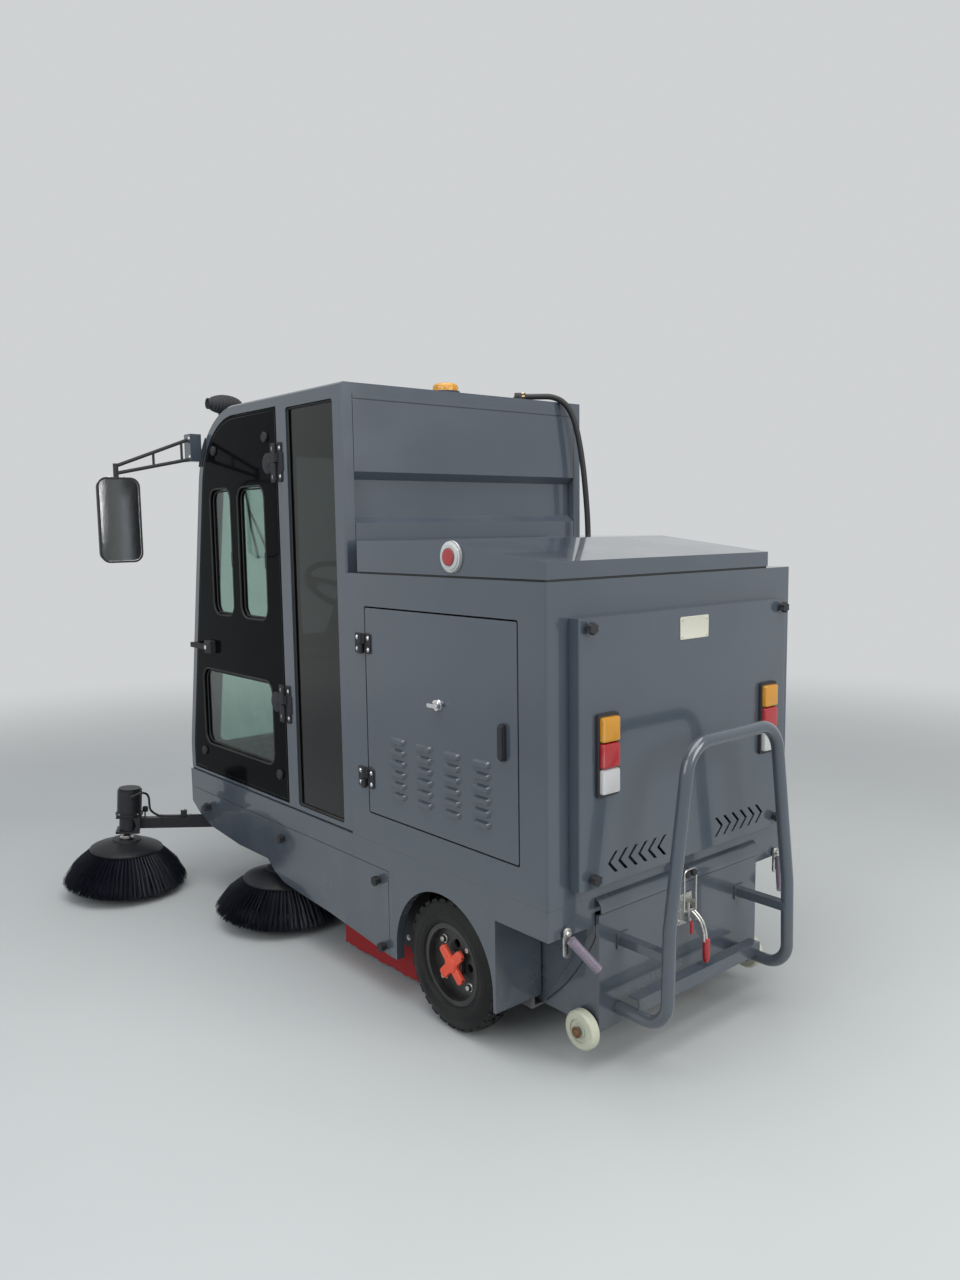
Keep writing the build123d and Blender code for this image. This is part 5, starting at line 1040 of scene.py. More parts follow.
@dataclass
class SideBrush:
    """Side brush: smooth dark hub over rings of stiff flared bristles."""

    place: ArmPlace
    seed: int
    hub_r: float = 0.149
    tip_r: float = 0.2520
    rings_of_tufts: int = 6
    tufts: int = 78
    strands: int = 8
    thickness: float = 0.0026

    def build(self) -> None:
        """Builds the hub and the bristles in one piece."""
        draft = Draft()
        self.hub(draft)
        draft.tone = 1
        self.backing(draft)
        self.bristles(draft)
        draft.tone = 2
        draft.bolt((0.0, 0.0, 0.1975), (0, 0, 1), 0.019, 0.012)
        draft.turn(self.place.brush_frame())
        node = f"brush_{self.place.name}"
        draft.piece(
            f"{node}_bristles", node, [Look.DARK_HUB, Look.BRISTLE, Look.ZINC], [node], slot="bristle",
        )

    def hub(self, draft: Draft) -> None:
        """Domed hub with its boss and drive shaft.

        Args:
            draft: Where it goes.
        """
        profile = (
            (0.0, 0.138), (0.129, 0.138), (0.137, 0.142), (self.hub_r, 0.150), (self.hub_r, 0.154),
            (0.1475, 0.1565), (0.142, 0.1605), (0.124, 0.1690), (0.098, 0.1775), (0.076, 0.1840),
            (0.063, 0.1872), (0.060, 0.189), (0.060, 0.192), (0.058, 0.194), (0.022, 0.194),
            (0.014, 0.197), (0.014, 0.218), (0.0, 0.218),
        )
        draft.lathe(profile, (0.0, 0.0, 0.0), count=64)

    def backing(self, draft: Draft) -> None:
        """Dark cone between the inner and outer bristles, so that the brush isn't seen through.

        Args:
            draft: Where it goes.
        """
        low = 0.156 - self.place.drop
        profile = (
            (0.124, 0.150), (0.212, low + 0.062), (0.220, low + 0.034),
            (0.206, low + 0.028), (0.192, low + 0.050), (0.110, 0.140),
        )
        draft.lathe(profile, (0.0, 0.0, 0.0), count=40, closed=True)

    def bristles(self, draft: Draft) -> None:
        """Rings of tufts whose strands flare and end unevenly.

        Args:
            draft: Where it goes.
        """
        dice = random.Random(self.seed)
        floor = 0.1565 - self.place.drop
        for band in range(self.rings_of_tufts):
            share = band / (self.rings_of_tufts - 1)
            root_r = 0.086 + 0.058 * share
            root_z = 0.139 + 0.014 * share
            for tuft in range(self.tufts):
                turn = math.tau * (tuft + 0.5 * (band % 2)) / self.tufts
                for _ in range(self.strands):
                    angle = turn + dice.uniform(-0.017, 0.017)
                    reach = min(0.196 + 0.055 * share + dice.uniform(-0.010, 0.004), self.tip_r)
                    low = floor + 0.034 * share ** 2 * dice.uniform(0.5, 1.0) + dice.uniform(0.0, 0.008)
                    swing = angle + dice.uniform(-0.010, 0.010)
                    self.strand(
                        draft, (root_r, angle, root_z), (reach, swing, low), dice.uniform(0.004, 0.012),
                    )

    def strand(self, draft: Draft, root: Point, tip: Point, bow: float) -> None:
        """One three-sided strand, bowed outwards.

        Args:
            draft: Where it goes.
            root: Radius, angle and height of its root.
            tip: Radius, angle and height of its tip.
            bow: How far its middle stands out.
        """
        rows = []
        for share, size in ((0.0, 1.0), (0.5, 1.0), (1.0, 0.75)):
            radius = root[0] + (tip[0] - root[0]) * share + bow * math.sin(math.pi * share)
            angle = root[1] + (tip[1] - root[1]) * share
            height = root[2] + (tip[2] - root[2]) * share + bow * 0.6 * math.sin(math.pi * share)
            point = Vector((radius * math.cos(angle), radius * math.sin(angle), height))
            rows.append([
                point + Vector((
                    math.cos(angle + spin) * size, math.sin(angle + spin) * size, 0.0,
                )) * self.thickness / 2
                for spin in (0.3, 2.4, 4.5)
            ])
        draft.rings(rows)


@dataclass
class RollerBrush:
    """Main roller brush: a core with twelve slightly twisted rows of bristles."""

    centre: Point = (0.0, 0.0665, 0.151)
    half: float = 0.362
    core_r: float = 0.060
    radius: float = 0.1448
    rows: int = 12
    along: int = 96
    twist: float = 0.35

    def build(self) -> None:
        """Builds the core, its shaft and the rows."""
        draft = Draft()
        profile = (
            (0.018, -0.386), (0.018, -self.half), (self.core_r, -self.half),
            (self.core_r, self.half), (0.018, self.half), (0.018, 0.386),
        )
        draft.lathe(profile, self.centre, LEFTWARD, 36)
        draft.tone = 1
        dice = random.Random(11)
        for row in range(self.rows):
            for index in range(self.along):
                share = index / (self.along - 1)
                place = self.centre[0] - self.half + 0.010 + (2 * self.half - 0.020) * share
                for lean in (-0.10, 0.10):
                    angle = math.tau * row / self.rows + self.twist * share
                    end = angle + lean + dice.uniform(-0.03, 0.03)
                    reach = self.radius - dice.uniform(0.0, 0.006)
                    self.strand(draft, place + dice.uniform(-0.002, 0.002), angle, end, reach)
        draft.piece(
            "roller_bristles", "roller", [Look.BLACK_METAL, Look.BRISTLE], ["roller_brush"],
            slot="bristle",
        )

    def strand(self, draft: Draft, place: float, angle: float, end: float, reach: float) -> None:
        """One flat strand from the core to the brush's radius.

        Args:
            draft: Where it goes.
            place: X of its root.
            angle: Angle of its root.
            end: Angle of its tip.
            reach: Radius of its tip.
        """
        _, y, z = self.centre
        rows = []
        for radius, turn, width in ((self.core_r - 0.002, angle, 0.003), (reach, end, 0.0018)):
            middle = Vector((place, y + radius * math.cos(turn), z + radius * math.sin(turn)))
            across = Vector((0.0, -math.sin(turn), math.cos(turn)))
            rows.append([
                middle + Vector((width, 0, 0)),
                middle + across * width,
                middle - Vector((width, 0, 0)) - across * width * 0.4,
            ])
        draft.rings(rows)


@dataclass
class BrushArm:
    """Wiring, motor trim and fasteners of one lifting arm."""

    place: ArmPlace
    motor_r: float = 0.050

    def at(self, x: float, y: float, z: float) -> Point:
        """Point of the arm's own frame in the sweeper's frame."""
        return tuple(self.place.frame() @ Vector((x, y * self.place.side, z)))

    def build(self) -> None:
        """Builds the cable, its ties, the motor's trim and the bolts."""
        draft = Draft()
        top = 0.038 + self.place.motor_height
        motor_x = self.place.length - 0.008
        reach = motor_x - self.motor_r
        cable = [
            (motor_x - 0.016, 0.046, top - 0.026), (motor_x - 0.030, 0.056, top - 0.018),
            (motor_x - 0.050, 0.054, top - 0.010),
            (motor_x - 0.070, 0.040, top - 0.018), (motor_x - 0.080, 0.024, top - 0.042),
            (reach - 0.036, 0.012, 0.060),
            (reach - 0.064, 0.006, 0.034), (reach - 0.090, 0.002, 0.028), (reach * 0.45, 0.001, 0.0275),
            (0.030, 0.004, 0.0275),
            (0.004, 0.010, 0.034),
        ]
        draft.tube(smooth([self.at(*point) for point in cable], 5), 0.0048, 8)
        draft.lathe(
            [(0.010, 0.0), (0.010, 0.012), (0.007, 0.016), (0.005, 0.024)],
            self.at(motor_x - 0.012, 0.040, top - 0.034), self.way(-0.2, 0.9, 0.6), 16,
        )
        for share in (0.25, 0.5, 0.8):
            x = reach * share
            draft.tube(
                [
                    self.at(x, y, z)
                    for y, z in (
                        (-0.017, 0.0), (-0.017, 0.023), (0.002, 0.034), (0.017, 0.023), (0.017, 0.0),
                    )
                ],
                0.0018, 6,
            )
        draft.tone = 1
        for u, v in ring(4, self.motor_r + 0.001, math.pi / 4):
            draft.bolt(self.at(motor_x + u, v, 0.043), self.way(0, 0, 1), 0.0042, 0.005)
        draft.bolt(self.at(self.place.length, 0.0, -0.038 + COVERING), self.way(0, 0, -1), 0.013, 0.0)
        draft.bolt(self.at(self.place.length / 2, 0.0, 0.052), self.way(0, 0, 1), 0.006, 0.005)
        draft.tone = 2
        draft.lathe(
            [(0.016, 0.0), (0.016, 0.007), (0.013, 0.009)], self.at(self.place.length, 0.0, -0.028),
            self.way(0, 0, 1), 6,
        )
        looks = [Look.RUBBER, Look.ZINC, Look.BRASS, Look.BLACK_METAL]
        draft.tone = 3
        self.gearbox(draft)
        draft.piece(f"arm_wiring_{self.place.name}", f"arm_{self.place.name}", looks)
        self.knob()

    def gearbox(self, draft: Draft) -> None:
        """Gearbox between the bracket's plates, its cheeks and the clamp ring under the motor.

        Args:
            draft: Where it goes.
        """
        length = self.place.length
        up = self.way(0, 0, 1)
        barrel = [
            (0.036, -0.029), (0.040, -0.026), (0.040, 0.020), (0.0425, 0.0205), (0.0425, 0.0275),
            (0.036, 0.029),
        ]
        draft.lathe(barrel, self.at(length - 0.008, 0.0, 0.0), up, 36)
        clamp = [
            (self.motor_r + 0.0062, 0.0385), (self.motor_r + 0.0062, 0.0455),
            (self.motor_r + 0.0005, 0.047),
        ]
        draft.lathe([(self.motor_r - 0.002, 0.0385)] + clamp, self.at(length - 0.008, 0.0, 0.0), up, 40)
        for y in (-0.052, 0.047):
            cheek = (
                (length - 0.056, -0.034), (length - 0.056, 0.034), (length - 0.026, 0.034),
                (length - 0.040, 0.0), (length - 0.026, -0.034),
            )
            rows = [[Vector(self.at(u, y + depth, v)) for u, v in cheek] for depth in (0.0, 0.005)]
            draft.rings(rows)

    def way(self, x: float, y: float, z: float) -> Point:
        """Direction of the arm's own frame in the sweeper's frame."""
        return tuple(self.place.frame().to_3x3() @ Vector((x, y * self.place.side, z)))

    def knob(self) -> None:
        """Small adjusting knob on its tab beside the motor."""
        draft = Draft()
        x, y = self.place.length - 0.070, -0.036
        up = self.way(0, 0, 1)
        draft.lathe(
            [(0.011, 0.038), (0.012, 0.042), (0.012, 0.055), (0.009, 0.060), (0.0, 0.061)],
            self.at(x, y, 0.0), up, 20,
        )
        draft.tone = 1
        draft.lathe([(0.0035, 0.0), (0.0035, 0.040)], self.at(x, y, 0.0), up, 10)
        draft.piece(f"arm_knob_{self.place.name}", f"arm_{self.place.name}", [Look.BLACK_PLASTIC, Look.ZINC])


def smooth(points: Sequence[Sequence[float]], steps: int) -> list[Vector]:
    """Points along a smooth curve through given points.

    Args:
        points: The points that it passes.
        steps: Runs between two points.

    Returns:
        The curve's points.
    """
    given = [Vector(point) for point in points]
    path = []
    for index in range(len(given) - 1):
        before = given[max(index - 1, 0)]
        start, end = given[index], given[index + 1]
        after = given[min(index + 2, len(given) - 1)]
        for step in range(steps):
            t = step / steps
            path.append(0.5 * (
                2 * start + (end - before) * t
                + (2 * before - 5 * start + 4 * end - after) * t ** 2
                + (3 * start - before - 3 * end + after) * t ** 3
            ))
    return path + [given[-1]]


@dataclass
class DriverSeat:
    """Seat with a cushion and a back that are puffed up by simulation, on a black base."""

    half: float = 0.230
    cushion: tuple[Point, Point] = ((-0.230, -0.316, 0.850), (0.230, 0.090, 0.965))
    back: tuple[Point, Point] = ((-0.230, 0.092, 0.905), (0.230, 0.174, 1.470))
    start_gap: float = 0.009
    cap: float = 0.012

    def pad(self, name: str, low: Point, high: Point) -> None:
        """One pad, crowned by cloth pressure and kept inside its space.

        Args:
            name: The pad's name.
            low: Lowest corner of its space.
            high: Highest corner of its space.
        """
        gap = self.start_gap
        draft = Draft()
        draft.block(tuple(v + gap for v in low), tuple(v - gap for v in high))
        made = draft.piece(name, "chassis", [Look.VINYL], slot="seat")
        rounding = made.modifiers.new("corners", "BEVEL")
        rounding.width = 0.024
        rounding.segments = 4
        remesh = made.modifiers.new("skin", "REMESH")
        remesh.mode = "VOXEL"
        remesh.voxel_size = 0.006
        apply_modifiers(made)
        rest = [vertex.co.copy() for vertex in made.data.vertices]
        self.puff(made)
        middle = (Vector(low) + Vector(high)) / 2
        thin = min(range(3), key=lambda axis: high[axis] - low[axis])
        for vertex, start in zip(made.data.vertices, rest):
            move = vertex.co - start
            if move.length > self.cap:
                vertex.co = start + move.normalized() * self.cap
            for seam in (-0.075, 0.075):
                pull = math.exp(-((start.x - seam) / 0.007) ** 2)
                vertex.co[thin] += (middle[thin] - vertex.co[thin]) * 0.13 * pull
            for axis in range(3):
                vertex.co[axis] = min(max(vertex.co[axis], low[axis] + 0.0005), high[axis] - 0.0005)
        made.data.shade_smooth()
        fine = made.modifiers.new("fine", "SUBSURF")
        fine.levels = fine.render_levels = 1
        apply_modifiers(made)

    def puff(self, made: bpy.types.Object) -> None:
        """Runs the cloth pressure on a pad and applies it.

        Args:
            made: The pad.
        """
        scene = bpy.context.scene
        cloth = made.modifiers.new("cloth", "CLOTH")
        cloth.settings.use_pressure = True
        cloth.settings.uniform_pressure_force = 4.0
        cloth.settings.effector_weights.gravity = 0.0
        for step in range(1, 21):
            scene.frame_set(step)
        apply_modifiers(made)
        scene.frame_set(1)

    def build(self) -> None:
        """Builds both pads, their piping and the base between them."""
        self.pad("seat_cushion", *self.cushion)
        self.pad("seat_back", *self.back)
        draft = Draft()
        low, high = self.cushion
        loop = rounded((low[0] + 0.010, low[1] + 0.010), (high[0] - 0.010, high[1] - 0.010), 0.030)
        draft.tube([(u, v, 0.858) for u, v in loop], 0.005, 8, closed=True)
        draft.block((-0.200, 0.060, 0.8505), (0.200, 0.100, 0.905))
        low, high = self.back
        loop = rounded((low[0] + 0.012, low[2] + 0.012), (high[0] - 0.012, high[2] - 0.012), 0.030)
        draft.tube([(u, 0.168, v) for u, v in loop], 0.005, 8, closed=True)
        draft.piece("seat_base", "chassis", [Look.BLACK_PLASTIC], ["driver_seat"], bevel=0.003, slot="seat")


def apply_modifiers(made: bpy.types.Object) -> None:
    """Puts the result of an object's modifiers into its mesh.

    Args:
        made: The object.
    """
    graph = bpy.context.evaluated_depsgraph_get()
    mesh = bpy.data.meshes.new_from_object(made.evaluated_get(graph))
    old = made.data
    made.modifiers.clear()
    made.data = mesh
    bpy.data.meshes.remove(old)


@dataclass
class CabDoor:
    """Trim of one cab door: pane frames, catches, key barrel and hinges."""

    side_name: str
    side: float
    rear_y: float = -0.194
    hinge_zs: Flat = (0.897, 1.772)
    panes: tuple[tuple[float, float, float, float], ...] = (
        # front Y, rear Y, low Z, high Z
        (-0.741, -0.571, 1.200, 1.692),
        (-0.505, -0.301, 1.200, 1.692),
        (-0.871, -0.291, 0.650, 0.963),
    )

    def build(self) -> None:
        """Builds the trim in one piece that rides on the door."""
        draft = Draft()
        face = self.side * CAB_HALF
        for front, rear, low, high in self.panes:
            for grow, radius in ((0.004, 0.0042), (-0.006, 0.0032)):
                loop = rounded((front - grow, low - grow), (rear + grow, high + grow), 0.045 + grow, 6)
                draft.tube(
                    [(face - self.side * (0.001 if grow > 0 else 0.012), u, v) for u, v in loop], radius,
                    8, closed=True,
                )
        for front, rear, low, high in self.panes[:2]:
            middle = (front + rear) / 2
            x = face - self.side * 0.011
            draft.block((x, rear - 0.018, low + 0.19), (x + self.side * 0.006, rear - 0.008, low + 0.25))
            draft.tube(
                [(x, front + 0.006, low + 0.006), (x, middle, low + 0.004), (x, rear - 0.006, low + 0.006)],
                0.004, 8,
            )
        edge = self.edge_loop()
        draft.tube([(face - self.side * 0.004, u, v) for u, v in edge], 0.0045, 8, closed=True)
        draft.tone = 1
        barrel_y = self.rear_y - 0.586
        draft.lathe(
            [(0.009, 0.0), (0.009, 0.003), (0.006, 0.0035), (0.0, 0.0036)],
            (face + self.side * 0.030, barrel_y, 1.060), (self.side, 0, 0), 20,
        )
        fixed = Draft()
        for z in self.hinge_zs:
            self.hinge(draft, fixed, z)
        body = f"cab_door_{self.side_name}"
        draft.piece(f"door_trim_{self.side_name}", body, [Look.RUBBER, Look.CHROME, Look.BLACK_PLASTIC])
        fixed.piece(f"cab_hinges_{self.side_name}", "chassis", [Look.BLACK_PLASTIC, Look.ZINC], bevel=0.0006)

    def hinge(self, moving: Draft, fixed: Draft, z: float) -> None:
        """Tall black leaves, split barrel and round clamp plate of one hinge.

        Args:
            moving: Takes what swings with the door.
            fixed: Takes what stays on the post.
            z: The hinge's middle.
        """
        face = self.side * CAB_HALF
        out = (self.side, 0, 0)
        pin_x, pin_y = self.side * (CAB_HALF + 0.012), self.rear_y + 0.005
        half = 0.070
        moving.tone = 2
        leaves = (
            # draft, first Y, last Y, low and high of its barrel half
            (moving, self.rear_y - 0.037, self.rear_y - 0.0025, z - half + 0.004, z - 0.001),
            (fixed, self.rear_y + 0.0075, self.rear_y + 0.040, z + 0.001, z + half - 0.004),
        )
        for draft, first, last, low, high in leaves:
            outline = rounded((first, z - half), (last, z + half), 0.007, 3)
            draft.plate(outline, face, (self.side * 0.0002, self.side * 0.0052), 0)
            draft.lathe(
                [(0.006, low), (0.0082, low + 0.002), (0.0082, high - 0.002), (0.006, high)],
                (pin_x, pin_y, 0.0), count=20,
            )
        plate = (
            (0.038, 0.0), (0.038, 0.0030), (0.0355, 0.0048), (0.016, 0.0052), (0.014, 0.0074),
            (0.0, 0.0078),
        )
        moving.lathe(plate, (face, self.rear_y - 0.062, z), out, 40)
        moving.tone = 1
        fixed.tone = 1
        for offset in (-0.050, 0.050):
            moving.bolt((face + self.side * 0.005, self.rear_y - 0.020, z + offset), out, 0.0055, 0.003, 12)
            fixed.bolt((face + self.side * 0.005, self.rear_y + 0.028, z + offset), out, 0.0055, 0.003, 12)
        fixed.tone = 0

    def edge_loop(self) -> list[Flat]:
        """Line just inside the door's outer edge.

        Returns:
            Y and Z of its points, from the rear foot over the front.
        """
        front, foot, top = -0.983, 0.6335, 1.955
        lean = math.tan(math.radians(CAB_LEAN_DEG))
        points = [(self.rear_y - 0.006, 0.536), (front, 0.536), (front, foot)]
        crown = 0.287
        top_y = front + (top - foot) * lean
        centre = (top_y + crown * math.tan(math.radians(45 - CAB_LEAN_DEG / 2)), top - crown)
        for step in range(9):
            angle = math.radians(180 - CAB_LEAN_DEG - (90 - CAB_LEAN_DEG) * step / 8)
            points.append((centre[0] + crown * math.cos(angle), centre[1] + crown * math.sin(angle)))
        points.append((self.rear_y - 0.006, top))
        return points


@dataclass
class ServiceDoor:
    """Black hinges, chrome turn lock and pull handle of one service door."""

    side_name: str
    side: float
    hinge_y: float = 0.338
    hinge_zs: Flat = (0.722, 1.165)
    lock: Flat = (0.724, 1.012)
    pull: Point = (1.014, 0.893, 0.998)

    def hinge_cover(self, draft: Draft, z: float, direction: float, barrel: float) -> None:
        """Black leaf and barrel over one half of a hinge, with its screws.

        Args:
            draft: Where it goes.
            z: The hinge's middle.
            direction: +1 for the leaf behind the pin, -1 for the one ahead of it.
            barrel: +1 for the upper half of the pin, -1 for the lower.
        """
        face = self.side * BODY_HALF
        start, end = (0.0126 if direction > 0 else 0.0006), 0.0434
        ys = sorted((self.hinge_y + direction * start, self.hinge_y + direction * end))
        outline = rounded((ys[0], z - 0.0324), (ys[1], z + 0.0324), 0.006, 3)
        draft.plate(outline, face, (self.side * 0.0002, self.side * 0.0047), 0)
        low, high = sorted((z + barrel * 0.0012, z + barrel * 0.0322))
        draft.lathe(
            [(0.0084, low), (0.0084, high)], (self.side * (BODY_HALF + 0.012), self.hinge_y, 0.0),
            count=20,
        )
        web = (self.side * (BODY_HALF + 0.0122), self.hinge_y + direction * 0.0184, high)
        draft.block((face, self.hinge_y, low), web)
        draft.tone = 1
        for offset in (-0.019, 0.019):
            spot = self.hinge_y + direction * 0.030
            draft.bolt((face + self.side * 0.0047, spot, z + offset), (self.side, 0, 0), 0.0052, 0.0034, 12)
        draft.tone = 0

    def fittings(self, draft: Draft) -> None:
        """Chrome turn lock and black pull handle.

        Args:
            draft: Where it goes.
        """
        face = self.side * BODY_HALF
        y, z = self.lock
        out = (self.side, 0, 0)
        draft.tone = 1
        draft.lathe(
            [
                (0.0185, 0.0), (0.0185, 0.002), (0.0165, 0.005), (0.0165, 0.010), (0.012, 0.0125),
                (0.0, 0.0128),
            ],
            (face, y, z), out, 36,
        )
        outline = rounded((-0.026, -0.0066), (0.026, 0.0066), 0.0058, 4)
        draft.prism(outline, (face + self.side * 0.010, y, z), out, 0.0145, 0.0015)
        draft.tone = 0
        y, low, high = self.pull
        outline = rounded((-0.0115, low - (low + high) / 2), (0.0115, high - (low + high) / 2), 0.008, 4)
        draft.prism(outline, (face, y, (low + high) / 2), out, 0.010, 0.0)
        draft.prism(
            [(u * 0.86, v * 0.95) for u, v in outline], (face + self.side * 0.010, y, (low + high) / 2),
            out, 0.0064, 0.003,
        )

    def build(self) -> None:
        """Builds what rides on the door and what stays on the body."""
        moving, fixed = Draft(), Draft()
        for z in self.hinge_zs:
            self.hinge_cover(moving, z, 1.0, 1.0)
            self.hinge_cover(fixed, z, -1.0, -1.0)
        self.fittings(moving)
        body = f"service_door_{self.side_name}"
        looks = [Look.BLACK_PLASTIC, Look.CHROME]
        moving.piece(
            f"service_trim_{self.side_name}", body, looks, [f"service_fittings_{self.side_name}"],
            bevel=0.0006,
        )
        fixed.piece(f"service_hinges_{self.side_name}", "chassis", looks, bevel=0.0006)


@dataclass
class TopLid:
    """Round lamp on the lid's left side, with the screws of its bezel."""

    lamp: Point = (BODY_HALF, 0.802, 1.450)

    def build(self) -> None:
        """Builds the white bezel, the dark red lens and their screws."""
        draft = Draft()
        bezel = (
            (0.0464, 0.0), (0.0464, 0.006), (0.044, 0.0086), (0.0384, 0.0096), (0.0384, 0.0124),
            (0.034, 0.0136), (0.026, 0.0128), (0.0252, 0.010),
        )
        draft.lathe(bezel, self.lamp, LEFTWARD, 48)
        draft.tone = 1
        lens = ((0.0256, 0.009), (0.0256, 0.0140), (0.0235, 0.0172), (0.016, 0.0182), (0.0, 0.0186))
        draft.lathe(lens, self.lamp, LEFTWARD, 40)
        draft.tone = 2
        for u, v in ring(3, 0.041, 0.5):
            draft.bolt(
                (self.lamp[0] + 0.0086, self.lamp[1] + u, self.lamp[2] + v), LEFTWARD, 0.0022, 0.0014,
                12,
            )
        draft.piece("lid_lamp", "lid", [Look.WHITE_PLASTIC, Look.RED_LENS, Look.CHROME])


@dataclass
class RearCover:
    """Blank plate and tail lamps of the rear cover."""

    plate: tuple[Flat, Flat] = ((-0.068, 1.203), (0.063, 1.268))
    lamp_x: Flat = (0.334, 0.417)
    lamp_z: Flat = (0.804, 1.032)

    def plate_piece(self) -> None:
        """Blank cream plate with a pressed rim and four rivets."""
        draft = Draft()
        (low_x, low_z), (high_x, high_z) = self.plate
        pressed = (
            (0.0002, -0.0004), (0.0023, -0.0004), (0.0027, 0.0012), (0.0027, 0.003), (0.0023, 0.004),
        )
        draft.stepped(*self.plate, 0.004, 3, COVER_FACE_Y, pressed)
        draft.tone = 1
        for x in (low_x + 0.009, high_x - 0.009):
            for z in (low_z + 0.009, high_z - 0.009):
                draft.bolt((x, COVER_FACE_Y + 0.0023, z), REARWARD, 0.0024, 0.0016, 12)
        draft.piece("cover_plate", "chassis", [Look.PLATE, Look.ZINC])

    def lamp(self, draft: Draft, side: float) -> None:
        """One lamp cluster: black base, then amber, red and clear lenses from the top down.

        Args:
            draft: Where it goes.
            side: +1 for the left side of the sweeper, -1 for the right.
        """
        low_x, high_x = sorted((side * self.lamp_x[0], side * self.lamp_x[1]))
        low_z, high_z = self.lamp_z
        draft.tone = 0
        outline = rounded((low_x, low_z), (high_x, high_z), 0.007, 4)
        draft.plate(outline, COVER_FACE_Y, (0.0, 0.0095), 1)
        pitch = (high_z - low_z - 0.014) / 3
        for index, tone in enumerate((3, 2, 1)):
            base = low_z + 0.007 + index * pitch
            draft.tone = tone
            near = (low_x + 0.007, base + 0.0015)
            far = (high_x - 0.007, base + pitch - 0.0015)
            crowned = ((0.0095, 0.0), (0.0175, 0.0), (0.0215, 0.0018), (0.0228, 0.006))
            draft.stepped(near, far, 0.0065, 4, COVER_FACE_Y, crowned)
            draft.tone = 4
            for z in (base + 0.009, base + pitch - 0.009):
                draft.bolt(((low_x + high_x) / 2, COVER_FACE_Y + 0.0222, z), REARWARD, 0.0022, 0.0006, 12)

    def build(self) -> None:
        """Builds the plate and both clusters."""
        self.plate_piece()
        draft = Draft()
        for _, side in SIDES:
            self.lamp(draft, side)
        looks = [Look.BLACK_PLASTIC, Look.AMBER, Look.RED_LENS, Look.PALE_LENS, Look.CHROME]
        draft.piece("tail_lamp_clusters", "chassis", looks, ["tail_lamps"], slot="lamp")


@dataclass
class OutsideMirror:
    """Mirror glass, bolts and painted bracket cover of one outside mirror."""

    side_name: str
    side: float
    head_x: Flat = (0.776, 0.946)
    head_z: Flat = (1.412, 1.746)
    face_y: float = -0.896
    bolt_yz: Flat = (-0.9175, 1.742)
    root: Point = (0.600, -0.826, 1.860)

    def build(self) -> None:
        """Builds the glass with its rim, the bolts and the bracket cover."""
        draft = Draft()
        low_x, high_x = sorted((
            self.side * (self.head_x[0] + 0.0075), self.side * (self.head_x[1] - 0.0075),
        ))
        outline = rounded((low_x, self.head_z[0] + 0.0075), (high_x, self.head_z[1] - 0.0075), 0.030, 6)
        draft.plate(outline, self.face_y, (-0.0038, -0.0012), 1)
        draft.tone = 1
        loop = rounded(
            (low_x - 0.003, self.head_z[0] + 0.0045), (high_x + 0.003, self.head_z[1] - 0.0045), 0.033, 6,
        )
        draft.tube([(u, self.face_y - 0.0008, v) for u, v in loop], 0.0034, 8, closed=True)
        draft.tone = 2
        middle = self.side * sum(self.head_x) / 2
        for x in (middle - 0.026, middle + 0.026):
            draft.bolt((x, *self.bolt_yz), REARWARD, 0.006, 0.005)
        draft.tone = 3
        x, y, z = self.side * (self.root[0] + 0.0006), *self.root[1:]
        draft.block((self.side * CAB_HALF, y - 0.0306, z - 0.0506), (x, y + 0.0256, z + 0.0586))
        draft.tone = 2
        for height in (z - 0.032, z + 0.040):
            draft.bolt((x, y + 0.014, height), (self.side, 0, 0), 0.0055, 0.004)
        looks = [Look.MIRROR, Look.BLACK_PLASTIC, Look.ZINC, Look.PAINT]
        draft.piece(f"mirror_trim_{self.side_name}", "chassis", looks, bevel=0.0)


